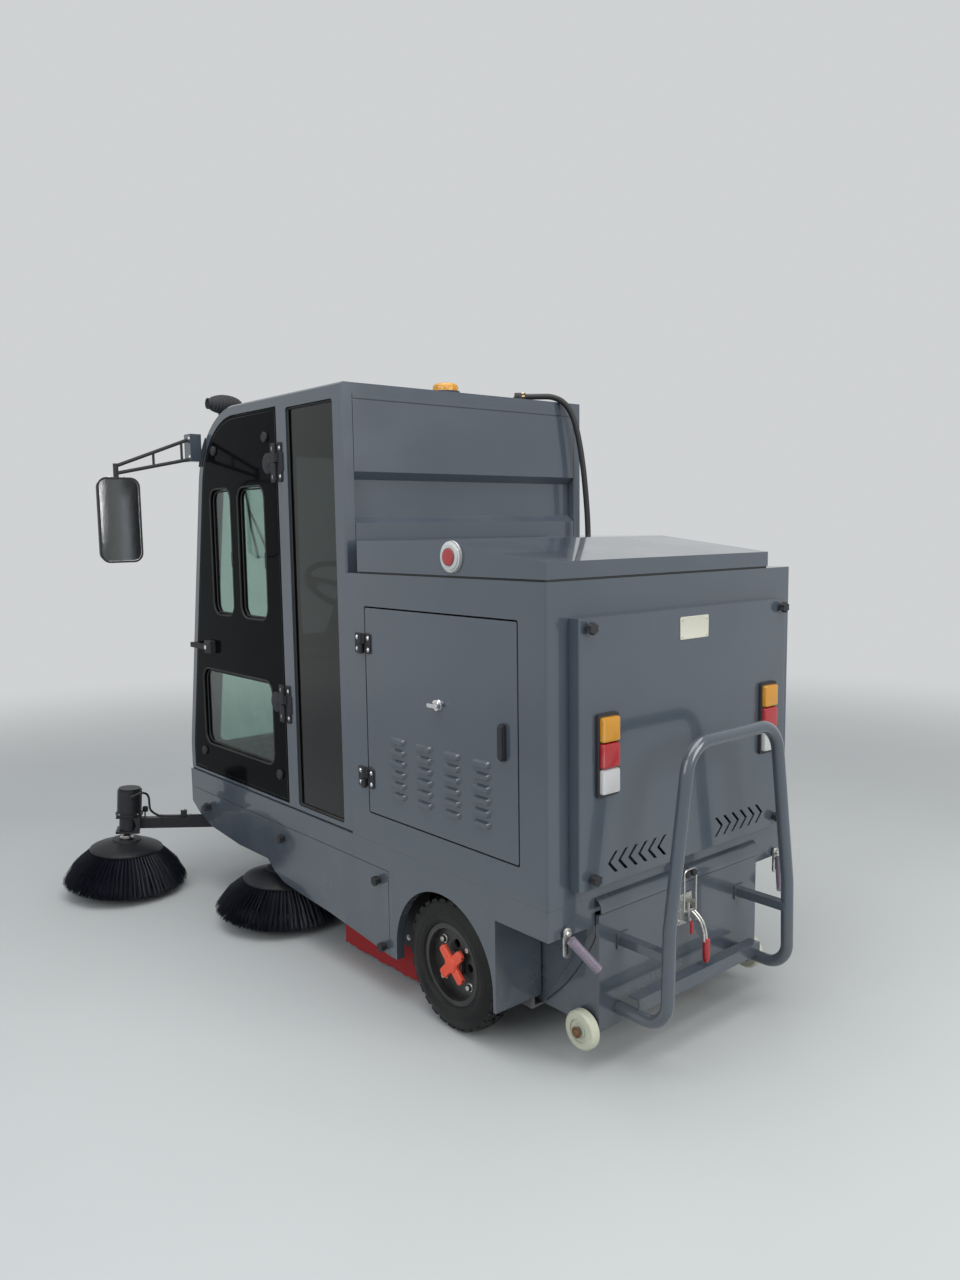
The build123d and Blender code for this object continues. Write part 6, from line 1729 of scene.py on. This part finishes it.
@dataclass
class RoofGear:
    """Beacon, mist fan and water hose on the roof."""

    beacon: Flat = (0.070, 0.174)
    fan: Point = (0.468, -0.754, 2.036)
    fan_size: tuple[float, float, int] = (0.068, 0.0385, 11)
    fan_foot: tuple[float, float, float, float, float] = (0.440, 0.490, -0.771, -0.731, 1.892)
    hose_r: float = 0.011
    route: tuple[Point, ...] = (
        (-0.322, 0.172, 2.026), (-0.366, 0.202, 2.027), (-0.410, 0.234, 2.027), (-0.446, 0.264, 2.003),
        (-0.474, 0.281, 1.950), (-0.497, 0.288, 1.865), (-0.516, 0.291, 1.765), (-0.529, 0.293, 1.660),
        (-0.536, 0.296, 1.560), (-0.537, 0.298, 1.480), (-0.537, 0.298, 1.414),
    )

    def beacon_piece(self) -> None:
        """Beacon with a black foot and a ribbed amber lens."""
        draft = Draft()
        centre = (*self.beacon, CAB_TOP_Z)
        draft.lathe([(0.052, 0.0), (0.052, 0.007), (0.050, 0.0098), (0.0465, 0.010)], centre, count=48)
        draft.tone = 1
        rows = []
        for radius, height in (
            (0.046, 0.0098), (0.0458, 0.026), (0.043, 0.032), (0.036, 0.0365), (0.024, 0.0392),
            (0.006, 0.0398),
        ):
            row = []
            for index in range(96):
                angle = math.tau * index / 96
                size = radius - (0.0009 if index % 2 and radius > 0.03 else 0.0)
                row.append(Vector((
                    centre[0] + size * math.cos(angle), centre[1] + size * math.sin(angle),
                    centre[2] + height,
                )))
            rows.append(row)
        draft.rings(rows)
        draft.piece(
            "beacon_lens", "chassis", [Look.BLACK_PLASTIC, Look.AMBER], ["beacon"], crease=60.0,
            slot="lamp",
        )

    def fan_piece(self) -> None:
        """Ribbed barrel of the mist fan on its foot, with its open ring towards the left."""
        draft = Draft()
        x, y, z = self.fan
        half, girth, ribs = self.fan_size
        profile = []
        for step in range(4 * ribs + 1):
            place = -1 + 2 * step / (4 * ribs)
            radius = girth * math.sqrt(max(0.0, 1 - (0.86 * place) ** 2))
            profile.append((radius - (0.0036 if step % 4 in (1, 2) else 0.0), place * half))
        low = profile[-1][0]
        profile += [
            (low + 0.002, half), (low + 0.002, half + 0.006), (low - 0.003, half + 0.006),
            (low - 0.003, half - 0.012),
        ]
        draft.lathe([(0.0, -half)] + profile + [(0.0, half - 0.012)], (x, y, z), LEFTWARD, 48)
        mouth = x + half + 0.004
        for radius in (0.0145, 0.009):
            draft.tube([(mouth, y + u, z + v) for u, v in ring(24, radius)], 0.0011, 6, closed=True)
        for u, v in ring(6, 0.0165):
            draft.tube([(mouth, y + u * 0.2, z + v * 0.2), (mouth, y + u, z + v)], 0.0011, 6)
        draft.lathe([(0.004, 0.0), (0.004, 0.003), (0.0, 0.004)], (mouth - 0.002, y, z), LEFTWARD, 16)
        low_x, high_x, low_y, high_y, foot = self.fan_foot
        outline = rounded((low_x, low_y), (high_x, high_y), 0.004, 3)
        draft.plate(outline, 0.0, (foot, z - 0.026), 2)
        strap = [(x, y + 0.041 * math.cos(angle), z + 0.041 * math.sin(angle)) for angle in (
            math.radians(180 + 20 * index) for index in range(10)
        )]
        draft.tube(strap, 0.0032, 8)
        draft.tone = 1
        for height in (foot + 0.030, foot + 0.080):
            draft.bolt((high_x, (low_y + high_y) / 2, height), LEFTWARD, 0.0045, 0.003, 6)
        draft.piece(
            "mist_fan_barrel", "chassis", [Look.BLACK_PLASTIC, Look.ZINC], ["mist_fan"],
            slot="black_plastic",
        )

    def hose_piece(self) -> None:
        """Water hose from the roof gland to the body gland, one smooth curve."""
        curve = bpy.data.curves.new("roof_hose_line", "CURVE")
        curve.dimensions = "3D"
        curve.bevel_depth = self.hose_r
        curve.bevel_resolution = 5
        curve.resolution_u = 10
        curve.use_fill_caps = True
        line = curve.splines.new("NURBS")
        line.points.add(len(self.route) - 1)
        for point, place in zip(line.points, self.route):
            point.co = (*place, 1.0)
        line.order_u = 3
        line.use_endpoint_u = True
        curve.materials.append(Look.RUBBER.material())
        made = placed("roof_hose_line", curve)
        settle(made, "chassis", ["roof_hose"])
        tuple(self.route[0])

    def glands(self) -> None:
        """Clamp bands and nuts of the hose's two glands."""
        draft = Draft()
        first, second = Vector(self.route[0]), Vector(self.route[1])
        way = (first - second).normalized()
        draft.lathe(
            [(0.0166, 0.0), (0.0172, 0.002), (0.0172, 0.010), (0.0166, 0.012)],
            tuple(first + way * 0.004), tuple(way), 6,
        )
        foot = (self.route[-1][0], self.route[-1][1], BODY_TOP_Z)
        draft.lathe([(0.0205, 0.0), (0.0205, 0.009), (0.0190, 0.011)], foot, count=6)
        draft.piece("hose_gland_nuts", "chassis", [Look.BRASS])

    def build(self) -> None:
        """Builds everything on the roof."""
        self.beacon_piece()
        self.fan_piece()
        self.hose_piece()
        self.glands()


@dataclass
class BinGear:
    """Toggle latch, corner levers and roller bolts at the dust bin."""

    face_y: float = 1.198
    base_z: Flat = (0.330, 0.425)
    roller: Point = (0.396, 1.154, 0.113)
    lever_x: float = 0.496
    cable: tuple[Point, ...] = (
        (0.3722, 1.180, 0.440), (0.3722, 1.178, 0.376), (0.3722, 1.086, 0.234), (0.3722, 0.986, 0.132),
    )

    def latch(self) -> None:
        """Zinc toggle latch with its wire loop and red grips."""
        draft = Draft()
        y = self.face_y
        low, high = self.base_z
        middle = (0.0, y, (low + high) / 2)
        half = (high - low) / 2
        draft.prism(rounded((-0.034, -half), (0.034, half), 0.006, 3), middle, REARWARD, 0.004)
        for side in (-1.0, 1.0):
            draft.prism(
                rounded((-0.0025, -0.032), (0.0025, 0.032), 0.002, 2),
                (side * 0.017, y + 0.004, middle[2]), REARWARD, 0.030,
            )
            draft.tube([(side * 0.028, y + 0.024, 0.500), (side * 0.028, y + 0.024, 0.378)], 0.003, 10)
            draft.bolt((side * 0.026, y + 0.004, low + 0.012), REARWARD, 0.0045, 0.003, 12)
            draft.bolt((side * 0.026, y + 0.004, high - 0.012), REARWARD, 0.0045, 0.003, 12)
            draft.lathe([(0.0072, 0.0), (0.0072, 0.040)], (side * 0.016, 1.184, 0.493), REARWARD, 20)
            draft.tone = 2
            draft.lathe(
                [(0.0115, 0.0), (0.0115, 0.010), (0.0095, 0.013), (0.004, 0.014)],
                (side * 0.016, 1.216, 0.493), REARWARD, 24,
            )
            draft.tone = 0
        draft.tube([(-0.028, y + 0.024, 0.378), (0.028, y + 0.024, 0.378)], 0.0032, 10)
        draft.tube(
            smooth(
                [
                    (-0.028, y + 0.024, 0.497), (-0.020, y + 0.024, 0.5045), (0.0, y + 0.024, 0.506),
                    (0.020, y + 0.024, 0.5045), (0.028, y + 0.024, 0.497),
                ],
                4,
            ),
            0.003, 10,
        )
        arm = [
            (-0.004, y + 0.036, 0.380), (-0.012, y + 0.046, 0.366), (-0.020, y + 0.058, 0.344),
            (-0.025, y + 0.065, 0.312), (-0.026, y + 0.066, 0.288),
        ]
        for shift in (0.0, 0.011):
            draft.tube([(px + shift, py, pz) for px, py, pz in smooth(arm, 4)], 0.0042, 10)
        draft.tone = 1
        grip = [
            (-0.026, y + 0.066, 0.296), (-0.026, y + 0.066, 0.290), (-0.026, y + 0.066, 0.262),
            (-0.026, y + 0.066, 0.234), (-0.026, y + 0.066, 0.2225),
        ]
        draft.tube(grip, (0.0085, 0.0112, 0.0120, 0.0112, 0.0075), 16)
        draft.tube([(0.012, y + 0.040, 0.350), (0.012, y + 0.040, 0.312)], (0.0058, 0.0052), 12)
        draft.piece(
            "latch_detail", "bin", [Look.ZINC, Look.RED_GRIP, Look.BLACK_PLASTIC], ["bin_latch"],
            slot="zinc",
        )

    def corner_lever(self, draft: Draft, side: float) -> None:
        """Bolt, slotted plate and violet sleeve under one corner of the rear band.

        Args:
            draft: Where it goes.
            side: +1 for the left side of the sweeper, -1 for the right.
        """
        x = side * self.lever_x
        draft.tone = 0
        outline = rounded((-0.012, -0.042), (0.012, 0.042), 0.0115, 5)
        draft.prism(outline, (x, 1.188, 0.409), REARWARD, 0.0055)
        draft.bolt((x, 1.1935, 0.439), REARWARD, 0.0088, 0.010)
        draft.lathe([(0.014, 0.0), (0.014, 0.002)], (x, 1.1925, 0.439), REARWARD, 28)
        draft.tone = 2
        draft.prism(
            rounded((-0.0035, -0.018), (0.0035, 0.018), 0.003, 4), (x, 1.1936, 0.396), REARWARD, 0.0002,
        )
        draft.tone = 1
        start, end = Vector((x, 1.207, 0.423)), Vector((side * 0.438, 1.253, 0.337))
        path = [start + (end - start) * (index / 40) for index in range(41)]
        draft.tube(path, [0.0145 - (0.0016 if index % 2 else 0.0) for index in range(41)], 16)

    def build(self) -> None:
        """Builds the latch, both levers and the bolts in the rollers."""
        self.latch()
        cable = Draft()
        cable.tube(smooth(self.cable, 4), 0.0022, 8)
        cable.piece("bin_side_cable", "bin", [Look.BLACK_PLASTIC])
        levers = Draft()
        for _, side in SIDES:
            self.corner_lever(levers, side)
        levers.piece(
            "corner_lever_detail", "chassis", [Look.ZINC, Look.SLEEVE, Look.BLACK_PLASTIC],
            ["corner_levers"], slot="zinc",
        )
        bolts = Draft()
        x, y, z = self.roller
        for _, side in SIDES:
            bolts.bolt((side * (x + 0.0255), y, z), (side, 0, 0), 0.011, 0.007)
        bolts.piece("bin_bolts", "bin", [Look.RUST])


@dataclass
class UnderGear:
    """Red dust skirts on their carriers, and the plates between the mudguards and the bin."""

    skirt_x: Flat = (0.444, 0.450)
    skirt_y: Flat = (0.005, 0.520)
    skirt_z: tuple[float, float, float] = (0.015, 0.150, 0.470)
    guard_x: Flat = (0.378, 0.426)
    guard_y: Flat = (0.9615, 0.9678)
    guard_z: Flat = (0.143, 0.423)

    def skirt(self, draft: Draft, side: float) -> None:
        """One red strip with a worn foot under a dark carrier with its clamp screws.

        Args:
            draft: Where it goes.
            side: +1 for the left side of the sweeper, -1 for the right.
        """
        low, split, high = self.skirt_z
        xs = sorted(side * x for x in self.skirt_x)
        steps = 40
        rows = []
        for index in range(steps + 1):
            y = self.skirt_y[0] + (self.skirt_y[1] - self.skirt_y[0]) * index / steps
            worn = 0.0022 * (math.sin(index * 1.7) + math.sin(index * 0.61) + 2)
            rows.append([
                Vector((xs[0] + 0.0006, y, low + worn)),
                Vector((xs[1] - 0.0006, y, low + worn)),
                Vector((xs[1] - 0.0004, y, split)),
                Vector((xs[0] + 0.0004, y, split)),
            ])
        draft.tone = 0
        draft.rings(rows)
        draft.tone = 1
        draft.block((xs[0], self.skirt_y[0], split - 0.022), (xs[1], self.skirt_y[1], high))
        draft.tone = 2
        face = max(self.skirt_x) * side
        for index in range(6):
            y = self.skirt_y[0] + 0.03 + (self.skirt_y[1] - self.skirt_y[0] - 0.06) * index / 5
            draft.bolt((face, y, split + 0.010), (side, 0, 0), 0.0065, 0.004, 6)
            draft.lathe([(0.009, 0.0), (0.009, 0.022)], (face, y, high - 0.010), (side, 0, 0), 12)

    def build(self) -> None:
        """Builds both skirts and both plates."""
        skirts, guards = Draft(), Draft()
        for _, side in SIDES:
            self.skirt(skirts, side)
            xs = sorted(side * x for x in self.guard_x)
            low, high = self.guard_z
            outline = rounded((xs[0], low), (xs[1], high), 0.006, 3)
            guards.plate(outline, 0.0, self.guard_y, 1)
        looks = [Look.RED_RUBBER, Look.BLACK_METAL, Look.ZINC]
        skirts.piece("dust_skirt_strips", "chassis", looks, ["rubber_skirts"], slot="red_rubber")
        guards.piece("mudguard_plates", "chassis", [Look.PAINT], bevel=0.0008)


@dataclass
class FrontLamps:
    """Round head lamps: chrome bezel, reflector and clear lens."""

    centre: Point = (0.380, CAB_FRONT_Y, 0.436)

    def build(self) -> None:
        """Builds both lamps in one piece."""
        draft = Draft()
        for _, side in SIDES:
            centre = (side * self.centre[0], self.centre[1], self.centre[2])
            draft.tone = 0
            bezel = (
                (0.058, 0.0), (0.058, 0.008), (0.055, 0.012), (0.050, 0.0135), (0.0485, 0.012),
                (0.044, 0.004), (0.030, 0.001), (0.0, 0.001),
            )
            draft.lathe(bezel, centre, FORWARD, 48)
            draft.tone = 1
            draft.lathe(
                [(0.0485, 0.0105), (0.047, 0.0145), (0.036, 0.0185), (0.018, 0.0208), (0.0, 0.0215)],
                centre, FORWARD, 48,
            )
            draft.tone = 2
            draft.lathe([(0.010, 0.001), (0.009, 0.008), (0.0, 0.0105)], centre, FORWARD, 20)
        draft.piece(
            "head_lamp_detail", "chassis", [Look.CHROME, Look.CLEAR_LENS, Look.PALE_LENS], ["headlamps"],
            slot="lamp",
        )


@dataclass
class CabTrim:
    """Rubber round the fixed panes, the wiper and what shows inside the cab."""

    front_panes: tuple[Point, ...] = (
        # low Z, high Z, half width
        (0.600, 0.960, 0.430),
        (1.050, 1.850, 0.455),
    )
    quarter: tuple[float, float, float, float] = (-0.121, 0.184, 0.530, 1.958)
    lean: float = math.radians(CAB_LEAN_DEG)

    def front_y(self, z: float) -> float:
        """Y of the cab's front face at a height.

        Args:
            z: The height.

        Returns:
            The face's Y.
        """
        foot, crown = 0.631, 1.700
        if z <= foot:
            return CAB_FRONT_Y
        if z <= crown:
            return CAB_FRONT_Y + (z - foot) * math.tan(self.lean)
        radius = 0.335
        centre_z = CAB_TOP_Z - radius
        leant_y = CAB_FRONT_Y + (CAB_TOP_Z - foot) * math.tan(self.lean)
        centre_y = leant_y + radius * math.tan(math.radians(45 - CAB_LEAN_DEG / 2))
        return centre_y - math.sqrt(max(radius ** 2 - (z - centre_z) ** 2, 0.0))

    def panes(self, draft: Draft) -> None:
        """Rubber frames that follow the panes.

        Args:
            draft: Where it goes.
        """
        for low, high, half in self.front_panes:
            loop = []
            outline = rounded((-half, low), (half, high), 0.045, 6)
            for (u, v), (u2, v2) in zip(outline, outline[1:] + outline[:1]):
                steps = max(1, int(math.hypot(u2 - u, v2 - v) / 0.06))
                loop += [(u + (u2 - u) * k / steps, v + (v2 - v) * k / steps) for k in range(steps)]
            draft.tube([(u, self.front_y(v) + 0.004, v) for u, v in loop], 0.0065, 8, closed=True)
        front, rear, low, high = self.quarter
        for _, side in SIDES:
            loop = rounded((front + 0.004, low + 0.004), (rear - 0.004, high - 0.004), 0.010, 3)
            draft.tube([(side * (CAB_HALF - 0.009), u, v) for u, v in loop], 0.0042, 8, closed=True)

    def wiper(self, draft: Draft) -> None:
        """Wiper arm and blade on the upper front pane.

        Args:
            draft: Where it goes.
        """
        low, high = 1.075, 1.640
        draft.tone = 1
        path = [
            (
                0.020 + 0.30 * share, self.front_y(low + (high - low) * share) - 0.016,
                low + (high - low) * share,
            )
            for share in (0.0, 0.3, 0.7, 1.0)
        ]
        draft.lathe(
            [(0.020, 0.0), (0.020, 0.014), (0.014, 0.020), (0.0, 0.021)],
            (0.020, self.front_y(1.005) + 0.004, 1.005), FORWARD, 24,
        )
        draft.tube([(0.020, self.front_y(1.005) - 0.010, 1.005), *path], 0.0045, 8)
        tip = path[-1]
        blade = [
            (tip[0] + across, self.front_y(tip[2] + rise) - 0.008, tip[2] + rise)
            for across, rise in ((-0.060, -0.230), (-0.02, -0.10), (0.0, 0.0), (0.030, 0.100))
        ]
        draft.tone = 0
        draft.tube(blade, 0.0055, 8)

    def inside(self, draft: Draft) -> None:
        """Gauge panel, switches and mat.

        Args:
            draft: Where it goes.
        """
        tilt = Matrix.Translation((0.0, -0.822, 0.985)) @ Matrix.Rotation(math.radians(-35), 4, "X")
        draft.tone = 1
        draft.block((-0.150, -0.052, 0.0), (0.150, 0.048, 0.006), tilt)
        draft.tone = 2
        draft.block((-0.060, -0.030, 0.006), (0.060, 0.030, 0.008), tilt)
        draft.tone = 3
        for index in range(5):
            x = 0.082 + 0.014 * index
            draft.block((x - 0.004, -0.022, 0.006), (x + 0.004, 0.002, 0.013), tilt)
        draft.tone = 4
        draft.lathe(
            [(0.011, 0.0), (0.011, 0.010), (0.008, 0.014), (0.0, 0.015)],
            tuple(tilt @ Vector((-0.105, 0.0, 0.006))), tuple(tilt.to_3x3() @ Vector((0, 0, 1))), 24,
        )
        draft.tone = 0
        for index in range(26):
            y = -0.70 + 0.014 * index
            draft.block((0.250, y, 0.522), (0.505, y + 0.007, 0.5245))
            draft.block((-0.505, y, 0.522), (-0.250, y + 0.007, 0.5245))

    def build(self) -> None:
        """Builds the cab's trim."""
        draft = Draft()
        self.panes(draft)
        self.wiper(draft)
        draft.piece("cab_trim", "chassis", [Look.RUBBER, Look.BLACK_METAL])
        inner = Draft()
        self.inside(inner)
        looks = [Look.RUBBER, Look.BLACK_PLASTIC, Look.CLEAR_LENS, Look.PALE_LENS, Look.RED_GRIP]
        inner.piece("dash_panel", "chassis", looks, bevel=0.0006)


@dataclass
class Studio:
    """Pale floor, soft light and the camera of the photograph."""

    place: Point = (2.3349, 3.0075, 1.5357)
    yaw: float = 40.389
    pitch: float = 6.549
    roll: float = -0.798
    lens: float = 27.87
    tone: tuple[float, float, float] = (0.63, 0.645, 0.65)
    floor_tone: tuple[float, float, float] = (0.51, 0.53, 0.53)

    def camera(self) -> None:
        """Camera at the photograph's viewpoint."""
        yaw, pitch = math.radians(self.yaw), math.radians(self.pitch)
        way = Vector((-math.sin(yaw) * math.cos(pitch), -math.cos(yaw) * math.cos(pitch), -math.sin(pitch)))
        data = bpy.data.cameras.new("photo_camera")
        data.lens = self.lens
        data.sensor_width = 36.0
        made = placed("photo_camera", data)
        turn = way.to_track_quat("-Z", "Y").to_matrix() @ Matrix.Rotation(math.radians(self.roll), 3, "Z")
        made.matrix_world = Matrix.Translation(self.place) @ turn.to_4x4()
        bpy.context.scene.camera = made

    def seen(self, sheet: Sheet) -> bpy.types.NodeSocket:
        """Mask of the rays that show the background: those of the camera, gloss and glass.

        Args:
            sheet: Nodes of the floor or the world.

        Returns:
            The mask's socket.
        """
        path = sheet.add("LightPath").outputs
        through = sheet.math("MAXIMUM", path["Is Glossy Ray"], path["Is Transmission Ray"])
        return sheet.math("MAXIMUM", path["Is Camera Ray"], through)

    def floor(self) -> None:
        """Wide pale floor that keeps the sweeper's shadow and fades into the background."""
        draft = Draft()
        draft.take([(-40, -40, 0), (40, -40, 0), (40, 40, 0), (-40, 40, 0)], [(0, 1, 2, 3)])
        mesh = bpy.data.meshes.new("studio_floor")
        mesh.from_pydata(draft.points, [], draft.faces)
        made = placed("studio_floor", mesh)
        material = bpy.data.materials.new("studio_floor")
        material.use_nodes = True
        sheet = Sheet(material.node_tree)
        cloud = sheet.window(sheet.noise(1.3, 3.0), 0.3, 0.7)
        colour = sheet.mix(cloud, rgb(*(0.98 * tone for tone in self.floor_tone)), rgb(*self.floor_tone))
        shader = sheet.add("BsdfPrincipled", {"Base Color": colour, "Roughness": 0.9})
        shader.inputs["Specular IOR Level"].default_value = 0.1
        far = sheet.add("Emission", {"Color": rgb(*self.tone), "Strength": 1.0})
        away = sheet.add("VectorMath", {0: sheet.place()}, operation="LENGTH").outputs["Value"]
        fade = sheet.math("MULTIPLY", sheet.window(away, 2.6, 7.5), self.seen(sheet))
        both = sheet.add("MixShader", {0: fade, 1: shader.outputs[0], 2: far.outputs[0]})
        sheet.add("OutputMaterial", {"Surface": both.outputs[0]})
        mesh.materials.append(material)

    def world(self) -> None:
        """Even sky light, with the pale background where the camera, gloss and glass look at it."""
        world = bpy.data.worlds.new("studio_world")
        bpy.context.scene.world = world
        world.use_nodes = True
        sheet = Sheet(world.node_tree)
        light = sheet.add("Background", {"Color": rgb(0.93, 0.96, 1.0), "Strength": 0.45})
        shown = sheet.add("Background", {"Color": rgb(*self.tone), "Strength": 1.0})
        both = sheet.add("MixShader", {0: self.seen(sheet), 1: light.outputs[0], 2: shown.outputs[0]})
        sheet.add("OutputWorld", {"Surface": both.outputs[0]})

    def lamp(
        self, name: str, place: Point, aim: Point, size: float, power: float,
        colour: tuple[float, float, float] = (1.0, 1.0, 1.0),
    ) -> None:
        """One soft square lamp.

        Args:
            name: The lamp's name.
            place: Where it hangs.
            aim: What it points at.
            size: Its side.
            power: Its power in watts.
            colour: The colour of its light.
        """
        data = bpy.data.lights.new(name, "AREA")
        data.size = size
        data.energy = power
        data.color = colour
        made = placed(name, data)
        way = Vector(aim) - Vector(place)
        made.matrix_world = Matrix.Translation(place) @ way.to_track_quat("-Z", "Y").to_matrix().to_4x4()

    def build(self) -> None:
        """Builds the studio."""
        self.floor()
        self.world()
        self.lamp("top_light", (0.6, 0.8, 5.2), (0.0, 0.0, 0.8), 4.5, 190.0)
        self.lamp("left_light", (4.8, 1.2, 3.0), (0.0, 0.0, 0.9), 3.0, 70.0, (0.93, 0.97, 1.0))
        self.lamp("rear_light", (-0.8, 5.2, 2.8), (0.0, 0.4, 0.9), 2.6, 110.0, (1.0, 0.985, 0.96))
        self.camera()


def arm_places() -> list[ArmPlace]:
    """The four lifting arms, front before middle and left before right.

    Returns:
        The places, front before middle and left before right.
    """
    rows = (
        # name, pivot, brush, motor height, bristle drop
        ("front", (0.400, -0.9262), (0.817, -1.1302), 0.115, 0.168),
        ("mid", (0.300, -0.2962), (0.478, -0.3962), 0.076, 0.150),
    )
    return [
        ArmPlace(
            f"{name}_{side_name}", side, (side * pivot[0], pivot[1]), (side * brush[0], brush[1]), height,
            drop,
        )
        for name, pivot, brush, height, drop in rows
        for side_name, side in SIDES
    ]


def main() -> None:
    """Builds the sub-assemblies in order and the studio round them."""
    logging.basicConfig(level=logging.INFO, format="%(message)s", stream=sys.stdout)
    dress_nodes()
    RoadWheel("front", "front_wheel", (0.0, -0.636, TYRE_R), 1.0, False).build()
    for side_name, side in SIDES:
        RoadWheel(
            f"rear_{side_name}", f"rear_wheel_{side_name}", (side * 0.501, 0.7388, TYRE_R), side, True,
        ).build()
        CabDoor(side_name, side).build()
        ServiceDoor(side_name, side).build()
        OutsideMirror(side_name, side).build()
    for seed, place in enumerate(arm_places()):
        SideBrush(place, seed).build()
        BrushArm(place).build()
    RollerBrush().build()
    DriverSeat().build()
    CabTrim().build()
    FrontLamps().build()
    TopLid().build()
    RearCover().build()
    RoofGear().build()
    BinGear().build()
    UnderGear().build()
    Studio().build()
    bpy.context.scene.view_settings.view_transform = "Standard"


if __name__ == "__main__":
    main()
